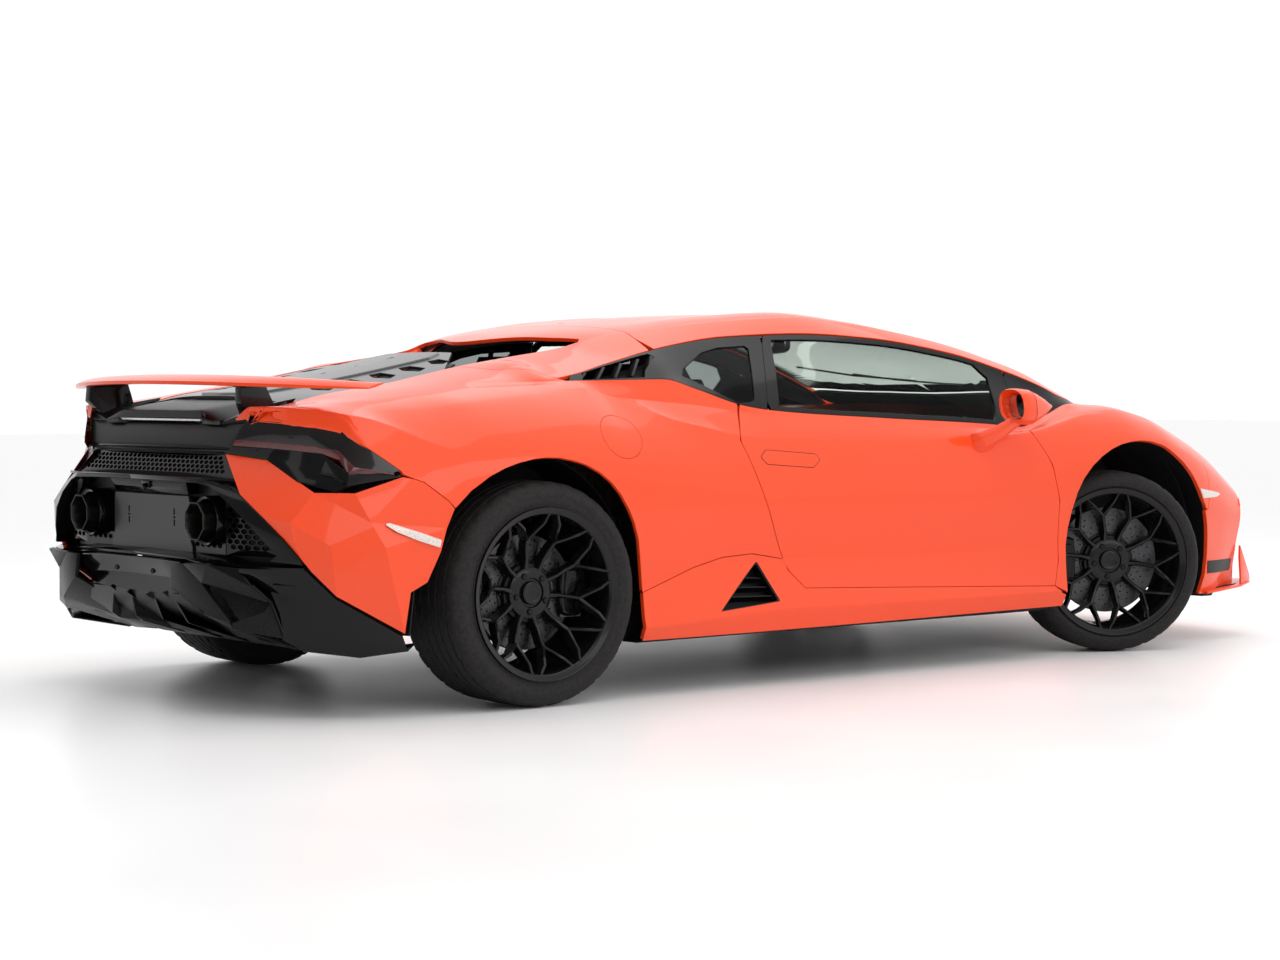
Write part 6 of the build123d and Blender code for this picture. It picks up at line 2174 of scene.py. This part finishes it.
def cover_arms(b):
    # swan-neck arms from the hinge, under the roof's end, to the cover
    end = MASTER.top(.13, .12) + np.array([0, 0, -.018])
    P = [(.546, .12, 1.103), (.536, .12, 1.055), (.494, .12, .955), (.420, .12, .952), (.300, .12, .985), (.190, .12, 1.045), tuple(end)]
    b.add(*bar([np.array(p) for p in P], [.014] * 7, [.009] * 7, flat=(0, 1, 0)))


ob = both("cover_arms", cover_arms, "black_satin", body="engine_cover", angle=35)
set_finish(ob, "black_trim")
# raised centre of the cover, with its own edges
hump = T([(.150, 0), (.150, .150), (.085, .190), (-.30, .185), (-.560, .150), (-.575, 0)], .03)
hump = [(p[0], 0.0 if abs(p[1]) < 2e-3 else p[1], p[2]) for p in hump]
panel("cover_spine", hump, gap=0, thick=.012, push=.004, mat="cover_black", body="engine_cover", sides="across", lip=.006)


# channel between the buttresses: inner walls, floor and the roof's end
def channel(b):
    xs = [-.015, .06, .14, .22, .30, .38, .44, .492]
    top = [line("cant", x, x + .001, .1)[0] for x in xs]
    V = [(x, y - .004, z - .010) for x, y, z in top]
    W = [(x + .01, y - .055, z - .135 + .02 * (x > .4)) for x, y, z in top]
    V = V + W
    n = len(xs)
    sheet(b, V, [(k, k + 1, k + 1 + n, k + n) for k in range(n - 1)], .006, (0, -1, 0))


for ob in sided("buttress_wall", channel, "paint", angle=40, bevel=.002):
    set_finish(ob, "body_paint")
b = Build()
ys = [0, .15, .30, .42]
mirror_strip(b, [[(.795, y, .925) for y in ys], [(.60, y, .922) for y in ys], [(.40, y, .918) for y in ys], [(.24, y, .910) for y in ys], [(.10, y, .890) for y in ys]],
             .006, (0, 0, 1))
for s in (1, -1):
    sheet(b, [(.50, s * .44, 1.04), (.79, s * .44, 1.05), (.79, s * .42, .922), (.10, s * .42, .890), (.10, s * .43, .93)], [(0, 1, 2, 3, 4)], .005, (0, -s, 0))
ob = b.make("channel_floor", "black_plastic", None, angle=30)
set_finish(ob, "dark_plastic")


# inner lip of the front arch, ahead of the wheel
def arch_lip(b):
    a = [p for p in ARCH_F if p[0] > 2.62]
    out, mid, inn = [], [], []
    for x, z in a:
        q = MASTER.side(x, z)
        out.append((x + .002, float(q[1]) - .013, z + .004))
        mid.append((x + .006, float(q[1]) - .10, z + .010))
        inn.append((x - .004, .640, z + .012))
    n = len(a)
    V = out + mid + inn
    F = [(k, k + 1, k + 1 + n, k + n) for k in range(n - 1)] + [(k + n, k + 1 + n, k + 1 + 2 * n, k + 2 * n) for k in range(n - 1)]
    sheet(b, V, F, -.004, (-1, 0, -1))


for ob in sided("arch_lip", arch_lip, "black_plastic", angle=40):
    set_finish(ob, "dark_plastic")


# ---------------------------------------------------------------- mirrors
def loft(b, secs):
    n = len(secs[0])
    V = [p for s in secs for p in s]
    F = []
    for i in range(len(secs) - 1):
        for k in range(n):
            F.append((i * n + k, i * n + (k + 1) % n, (i + 1) * n + (k + 1) % n, (i + 1) * n + k))
    F.append(tuple(range(n - 1, -1, -1)))
    F.append(tuple(range((len(secs) - 1) * n, len(secs) * n)))
    b.add(V, F)


def oval(x, y0, y1, z0, z1, lean=0.0, n=20, p=2.6, dx=0.0):
    cy, cz, ry, rz = (y0 + y1) / 2, (z0 + z1) / 2, (y1 - y0) / 2, (z1 - z0) / 2
    out = []
    for i in range(n):
        a = 2 * math.pi * i / n
        c, s = math.cos(a), math.sin(a)
        u, w = math.copysign(abs(c) ** (2 / p), c), math.copysign(abs(s) ** (2 / p), s)
        out.append((x + dx * u, cy + ry * u + lean * w, cz + rz * w))
    return out


def mirror_cap(b):
    loft(b, [oval(2.026, .932, 1.060, .8300, .9515, -.006, dx=-.008), oval(2.060, .946, 1.050, .8420, .9390, -.005, dx=-.008),
             oval(2.100, .962, 1.035, .8600, .9210, -.003, dx=-.006), oval(2.132, .980, 1.018, .8785, .9030, -.001, dx=-.003),
             oval(2.148, .992, 1.006, .8880, .8960, 0)])


def mirror_bezel(b):
    loft(b, [oval(1.998, .944, 1.046, .8500, .9380, -.008, dx=-.006), oval(1.966, .938, 1.054, .8470, .9460, -.008, dx=-.006),
             oval(1.958, .934, 1.058, .8440, .9500, -.008, dx=-.006), oval(1.957, .930, 1.062, .8410, .9530, -.008, dx=-.006),
             oval(1.964, .927, 1.065, .8380, .9560, -.008, dx=-.006), oval(1.990, .927, 1.065, .8320, .9560, -.007, dx=-.008),
             oval(2.022, .931, 1.061, .8295, .9525, -.006, dx=-.008)])


def mirror_core(b):
    loft(b, [oval(2.019, .935, 1.057, .8335, .9485, -.006, dx=-.008), oval(2.029, .935, 1.057, .8335, .9485, -.006, dx=-.008)])


def mirror_glass(b):
    loft(b, [oval(1.9975, .946, 1.044, .8520, .9360, -.008, dx=-.006), oval(1.9930, .947, 1.043, .8530, .9350, -.008, dx=-.006)])


def stalk(b):
    s0 = [(1.858, .895, .800), (1.850, .902, .765), (1.868, .906, .722), (1.920, .906, .728), (1.966, .902, .752), (1.945, .880, .812)]
    s1 = [(1.876, .932, .806), (1.868, .944, .784), (1.884, .946, .760), (1.930, .946, .764), (1.978, .940, .788), (1.966, .924, .826)]
    s2 = [(1.922, .962, .832), (1.916, .972, .818), (1.928, .976, .806), (1.966, .976, .806), (2.010, .972, .820), (2.004, .960, .842)]
    s3 = [(1.962, .985, .856), (1.958, .992, .846), (1.966, .998, .840), (2.000, .998, .838), (2.030, .994, .845), (2.028, .984, .860)]
    loft(b, [s0, s1, s2, s3])


for fn, nm, m, rep, an in ((mirror_cap, "mirror_cap", "paint", ["mirror_SIDE"], 60), (mirror_bezel, "mirror_bezel", "paint", None, 55),
                           (mirror_core, "mirror_core", "black_gloss", None, 60), (mirror_glass, "mirror_glass", "mirror_face", None, 40),
                           (stalk, "mirror_stalk", "paint", None, 25)):
    for ob in sided(nm, fn, m, rep, "door_SIDE", angle=an, bevel=.0035 if fn is stalk else 0):
        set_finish(ob, "body_paint" if m == "paint" else ("glass" if m == "mirror_face" else "black_trim"))

# ---------------------------------------------------------------- door handle, fuel flap, sill vent
HANDLE = [(.908, .764), (1.125, .746), (1.141, .727), (1.109, .703), (.908, .719), (.884, .742)]
h_loop = S(rounded(HANDLE, .006) + rounded(HANDLE, .006)[:1], .03)[:-1]
panel("handle_seam", h_loop, gap=-.0020, thick=.004, push=.0004, mat="black_satin", body="door_SIDE", lip=.0003)
panel("handle", h_loop, gap=.0006, thick=.006, push=.0016, mat="paint", body="door_SIDE", lip=.0008)
cap_c, cap_n = MASTER.near((.317, .93, .826))


def cap_ring(r):
    u = np.cross(cap_n, [0, 0, 1.0])
    u /= np.linalg.norm(u)
    w = np.cross(u, cap_n)
    return [tuple(MASTER.near(cap_c + r * (math.cos(a) * u + math.sin(a) * w))[0]) for a in np.linspace(0, 2 * math.pi, 49)[:-1]]


panel("fuel_lid", cap_ring(.0785), gap=0, thick=.008, mat="paint", replaces=["fuel_flap"], body="fuel_flap", sides="right", lip=.001)
panel("fuel_cup", cap_ring(.092), gap=0, thick=.004, push=-.030, mat="black_plastic", sides="right")


def filler(b):
    u = np.cross(cap_n, [0, 0, 1.0])
    u /= np.linalg.norm(u)
    w = np.cross(u, cap_n)
    for prof in ([(.030, -.030), (.040, -.029), (.040, -.020), (.034, -.0155), (.0005, -.0150), (.0005, -.028)],):
        v, f = revolve(prof, 30)
        b.add(cap_c + v[:, :1] * u + v[:, 1:2] * w + v[:, 2:] * cap_n, f)
    v, f = prism([(-.026, -.0035), (.026, -.0035), (.026, .0035), (-.026, .0035)], -.0155, -.0085)
    b.add(cap_c + v[:, :1] * u + v[:, 1:2] * w + v[:, 2:] * cap_n, f)


b = Build()
filler(b)
ob = b.make("filler_cap", "black_satin", None, angle=35, mirror=True)
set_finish(ob, "black_trim")

v_out = [(.868, .408), (.950, .272), (.690, .252)]
vent_o = S(rounded(v_out, .012) + [rounded(v_out, .012)[0]], .03)[:-1]
panel("sill_vent_back", shrink(vent_o, -.01), gap=0, thick=.003, push=-.045, mat="black_plastic", lip=.0003)


def vent_frame(b):
    P = np.array([MASTER.side(*p) for p in rounded(v_out, .012)])
    c = P.mean(0)
    n = len(P)
    N = np.array([MASTER.near(p)[1] for p in P])
    inner = P + (c - P) * .09 - N * .004
    A = P - N * .0015 + (c - P) * .012
    D = inner - N * .030
    V = np.concatenate([A, inner, D, A - N * .030])
    F = []
    for k in range(n):
        q = (k + 1) % n
        F += [(k, q, n + q, n + k), (n + k, n + q, 2 * n + q, 2 * n + k), (2 * n + k, 2 * n + q, 3 * n + q, 3 * n + k), (3 * n + k, 3 * n + q, q, k)]
    b.add(V, F)
    # slats
    for t in (.36, .56, .76):
        a = P.min(0)
        z = .408 - (.408 - .262) * t
        xl = .868 - (.868 - .690) * t * 1.02 + .010
        xr = .868 + (.950 - .868) * t * 1.02 - .010
        pl, pr = MASTER.side(xl, z), MASTER.side(xr, z - .004)
        V = [pl + (0, -.008, 0), pr + (0, -.008, 0), pr + (0, -.036, -.018), pl + (0, -.036, -.018)]
        sheet(b, V, [(0, 1, 2, 3)], .004, (0, 0, 1))


for ob in sided("sill_vent", vent_frame, "black_gloss", angle=30, bevel=.001):
    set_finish(ob, "black_trim")

# sill's inner web and lower lip
def sill_inner(b):
    xs = [.42, .80, 1.30, 1.80, 2.24]
    V = [(x, .915, .180) for x in xs] + [(x, .86, .164) for x in xs] + [(x, .785, .164) for x in xs] + [(x, .785, .285) for x in xs] + \
        [(x, .86, .290) for x in xs]
    n = len(xs)
    sheet(b, V, [(r * n + k, r * n + k + 1, (r + 1) * n + k + 1, (r + 1) * n + k) for r in range(4) for k in range(n - 1)], .004, (0, 0, -1))


for ob in sided("sill_inner", sill_inner, "chassis_black", angle=30):
    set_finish(ob, "chassis")

# ---------------------------------------------------------------- cabin
def centre_mirror(b):
    loft(b, [oval(1.700, -.112, .112, 1.088, 1.146, 0, 24, 3.2), oval(1.712, -.116, .116, 1.085, 1.149, 0, 24, 3.2),
             oval(1.728, -.100, .100, 1.092, 1.143, 0, 24, 3.0), oval(1.740, -.05, .05, 1.105, 1.136, 0, 24, 2.4)])
    b.add(*bar([(1.732, 0, 1.122), (1.765, 0, 1.138), (1.800, 0, 1.166)], [.018, .014, .022], [.012, .010, .008]))


b = Build()
centre_mirror(b)
ob = b.make("centre_mirror", "black_satin", None, angle=40)
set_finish(ob, "black_trim")
b = Build()
loft(b, [oval(1.7005, -.105, .105, 1.0925, 1.1415, 0, 24, 3.2), oval(1.6985, -.104, .104, 1.0935, 1.1405, 0, 24, 3.2)])
ob = b.make("centre_mirror_glass", "mirror_face", None, angle=40)
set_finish(ob, "glass")

# seats: a shell, a seat pad, a back pad, a head pad and bolsters
SIDE = [(1.09, .206), (1.54, .206), (1.580, .360), (1.50, .372), (1.235, .330), (1.040, .84), (.985, .995), (.905, .990), (.885, .86), (1.03, .32)]


def seat_shell(b):
    cy = .375
    n = len(SIDE)
    rows = []
    for y, k in ((-.205, .965), (-.195, 1.0), (.195, 1.0), (.205, .965)):
        c = np.array([1.18, .5])
        row = []
        for (x, z) in SIDE:
            w = y * (1.0 if z < .80 else .62)
            row.append((c[0] + (x - c[0]) * k, cy + w, c[1] + (z - c[1]) * k if z > .25 else z))
        rows.append(row)
    loft(b, rows)


for ob in sided("seat_shell", seat_shell, "black_satin", ["seats"] if False else None, angle=35, bevel=.010):
    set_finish(ob, "upholstery")


def pad(name, size, origin, ux, uz, mat="leather", cap=.012, replaces=None, channels=3):
    """A stuffed pad: size along its length, width and thickness; origin is the middle of its underside; ux runs along it."""
    ux, uz = np.array(ux, float), np.array(uz, float)
    ux /= np.linalg.norm(ux)
    uz -= ux * (uz @ ux)
    uz /= np.linalg.norm(uz)
    uy = np.cross(uz, ux)
    L, W, T = size
    bm = bmesh.new()
    bmesh.ops.create_cube(bm, size=1.0)
    bmesh.ops.scale(bm, vec=(L - .02, W - .02, T - .016), verts=bm.verts)
    bmesh.ops.bevel(bm, geom=list(bm.edges), offset=min(.022, T * .36), segments=4, profile=.6, affect='EDGES', clamp_overlap=True)
    me = bpy.data.meshes.new(name + "_src")
    bm.to_mesh(me)
    bm.free()
    src = bpy.data.objects.new(name + "_src", me)
    bpy.context.collection.objects.link(src)
    rm = src.modifiers.new("remesh", 'REMESH')
    rm.mode, rm.voxel_size = 'VOXEL', .0085
    dg = bpy.context.evaluated_depsgraph_get()
    m2 = bpy.data.meshes.new_from_object(src.evaluated_get(dg))
    rest = np.array([v.co[:] for v in m2.vertices])
    src.modifiers.clear()
    src.data = m2
    cl = src.modifiers.new("cloth", 'CLOTH')
    s = cl.settings
    s.use_pressure, s.uniform_pressure_force = True, 4.0
    s.effector_weights.gravity = 0.0
    s.tension_stiffness = s.compression_stiffness = 12.0
    s.quality = 4
    g = src.vertex_groups.new(name="pin")
    low = [i for i, p in enumerate(rest) if p[2] < -T / 2 + .020]
    g.add(low, 1.0, 'REPLACE')
    s.vertex_group_mass = "pin"
    for fr in range(1, 21):
        bpy.context.scene.frame_set(fr)
    dg = bpy.context.evaluated_depsgraph_get()
    ev = src.evaluated_get(dg)
    got = np.array([v.co[:] for v in ev.data.vertices])
    src.modifiers.clear()
    bpy.context.scene.frame_set(1)
    if got.shape == rest.shape and np.isfinite(got).all():
        d = got - rest
        l = np.linalg.norm(d, axis=1)[:, None] + 1e-9
        rest = rest + d / l * np.minimum(l, cap)
    # crown, and sewn channels across the pad
    u, w, h = rest[:, 0] / (L / 2), rest[:, 1] / (W / 2), rest[:, 2]
    top = np.clip((h - 0.0) / (T / 2), 0, 1)
    rest[:, 2] += top * .006 * np.clip(1 - u ** 2, 0, 1) * np.clip(1 - w ** 2, 0, 1)
    for k in range(channels):
        c = -.62 + 1.24 * k / max(1, channels - 1)
        rest[:, 2] -= top * .0055 * np.exp(-((u - c) * L / 2 / .0055) ** 2) * (np.abs(w) < .86)
    P = np.array(origin) + rest[:, :1] * ux + rest[:, 1:2] * uy + (rest[:, 2:] + T / 2) * uz
    faces = [tuple(p.vertices) for p in m2.polygons]
    bpy.data.objects.remove(src)
    made = []
    for side, s in (("left", 1), ("right", -1)):
        Q = P * np.array([1, s, 1])
        F = faces if s > 0 else [tuple(reversed(f)) for f in faces]
        ob = mesh(name + "_" + side, Q, F, mat, replaces if s > 0 else None, "root", None, True)
        bm = bmesh.new()
        bm.from_mesh(ob.data)
        bmesh.ops.recalc_face_normals(bm, faces=bm.faces)
        bm.to_mesh(ob.data)
        bm.free()
        for p in ob.data.polygons:
            p.use_smooth = True
        sub = ob.modifiers.new("sub", 'SUBSURF')
        sub.levels = sub.render_levels = 1
        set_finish(ob, "upholstery")
        made.append(ob)
    return made


cy = .375
pad("seat_pad", (.300, .272, .062), (1.395, cy, .368), (.98, 0, .155), (-.155, 0, .98), replaces=["seats"])
bx = np.array([1.040 - 1.235, 0, .84 - .330])
bn = np.array([.94, 0, .36])
pad("back_pad", (.440, .272, .060), np.array([1.235, cy, .330]) + bx * .585 + bn * .004, bx, bn, channels=5)
pad("head_pad", (.110, .200, .046), (1.010, cy, .925), (-.335, 0, .94), (.94, 0, .335), cap=.008, channels=0)
for k, sgn in enumerate((1, -1)):
    y = cy + sgn * .172
    pad("seat_bolster_%d" % k, (.300, .070, .095), (1.395, y, .366), (.98, 0, .150), (-.150, 0, .98), cap=.006, channels=0)
    pad("back_bolster_%d" % k, (.400, .070, .100), np.array([1.235, y, .330]) + bx * .60 + bn * .003, bx, bn, cap=.006, channels=0)

# headliner-side detail: instrument hood and screen on the dashboard, and a centre stack
b = Build()
hull(b, [(1.93, .21, .800), (1.93, .54, .800), (2.04, .20, .800), (2.04, .55, .800), (1.935, .23, .846), (1.935, .52, .846), (2.03, .24, .835), (2.03, .51, .835)])
hull(b, [(1.885, -.085, .650), (1.885, .085, .650), (1.93, -.085, .765), (1.93, .085, .765), (1.97, -.085, .765), (1.97, .085, .765), (1.95, -.085, .62), (1.95, .085, .62)])
hull(b, [(1.43, -.085, .430), (1.43, .085, .430), (1.50, -.075, .500), (1.50, .075, .500), (1.88, -.08, .600), (1.88, .08, .600), (1.88, -.09, .430), (1.88, .09, .430)])
ob = b.make("cabin_trim", "black_satin", None, angle=30, bevel=.006)
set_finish(ob, "black_trim")

bpy.context.scene.view_settings.view_transform = 'Standard'
KEPT = {"dashboard": "alcantara", "steering_wheel": "leather", "engine": "engine_alloy", "floor_pan": "chassis_black", "front_trunk_tub": "black_plastic",
        "rear_bulkhead": "alcantara", "rear_window": "glass_dark", "wheel_arch_liners": "black_plastic", "front_suspension": "steel",
        "rear_suspension": "steel", "rear_knuckles": "engine_alloy", "front_knuckle_left": "engine_alloy", "front_knuckle_right": "engine_alloy"}
for n, o in frame["nodes"].items():
    if n in KEPT:
        for k in range(max(1, len(o.data.materials))):
            if k < len(o.data.materials):
                o.data.materials[k] = MATS[KEPT[n]]
            else:
                o.data.materials.append(MATS[KEPT[n]])
    elif not o.data.materials or o.data.materials[0] is None:
        o.data.materials.append(MATS["chassis_black"])
SLOT = {"paint": "body_paint", "black_gloss": "black_trim", "black_satin": "black_trim", "black_plastic": "dark_plastic", "cover_black": "dark_plastic",
        "diffuser_grey": "dark_plastic", "plate_grey": "dark_plastic", "wheel_black": "wheel", "rubber": "tyre", "disc_steel": "steel", "steel": "steel",
        "chassis_black": "chassis", "engine_alloy": "engine_metal", "exhaust_steel": "steel", "marker": "tail_light", "silver_lens": "headlight",
        "reflector_bright": "headlight", "leather": "upholstery", "alcantara": "upholstery", "mirror_face": "glass", "glass_side": "glass",
        "glass_dark": "glass", "lens_red": "tail_light", "lens_smoke": "tail_light", "lens_clear": "headlight"}
shown = {o.name for o in frame["nodes"].values()}
for o in bpy.data.objects:
    if o.type == "MESH" and o.name not in shown and "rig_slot" not in o and o.data.materials and o.data.materials[0] and \
            o.data.materials[0].name in SLOT and "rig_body" in o:
        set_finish(o, SLOT[o.data.materials[0].name])
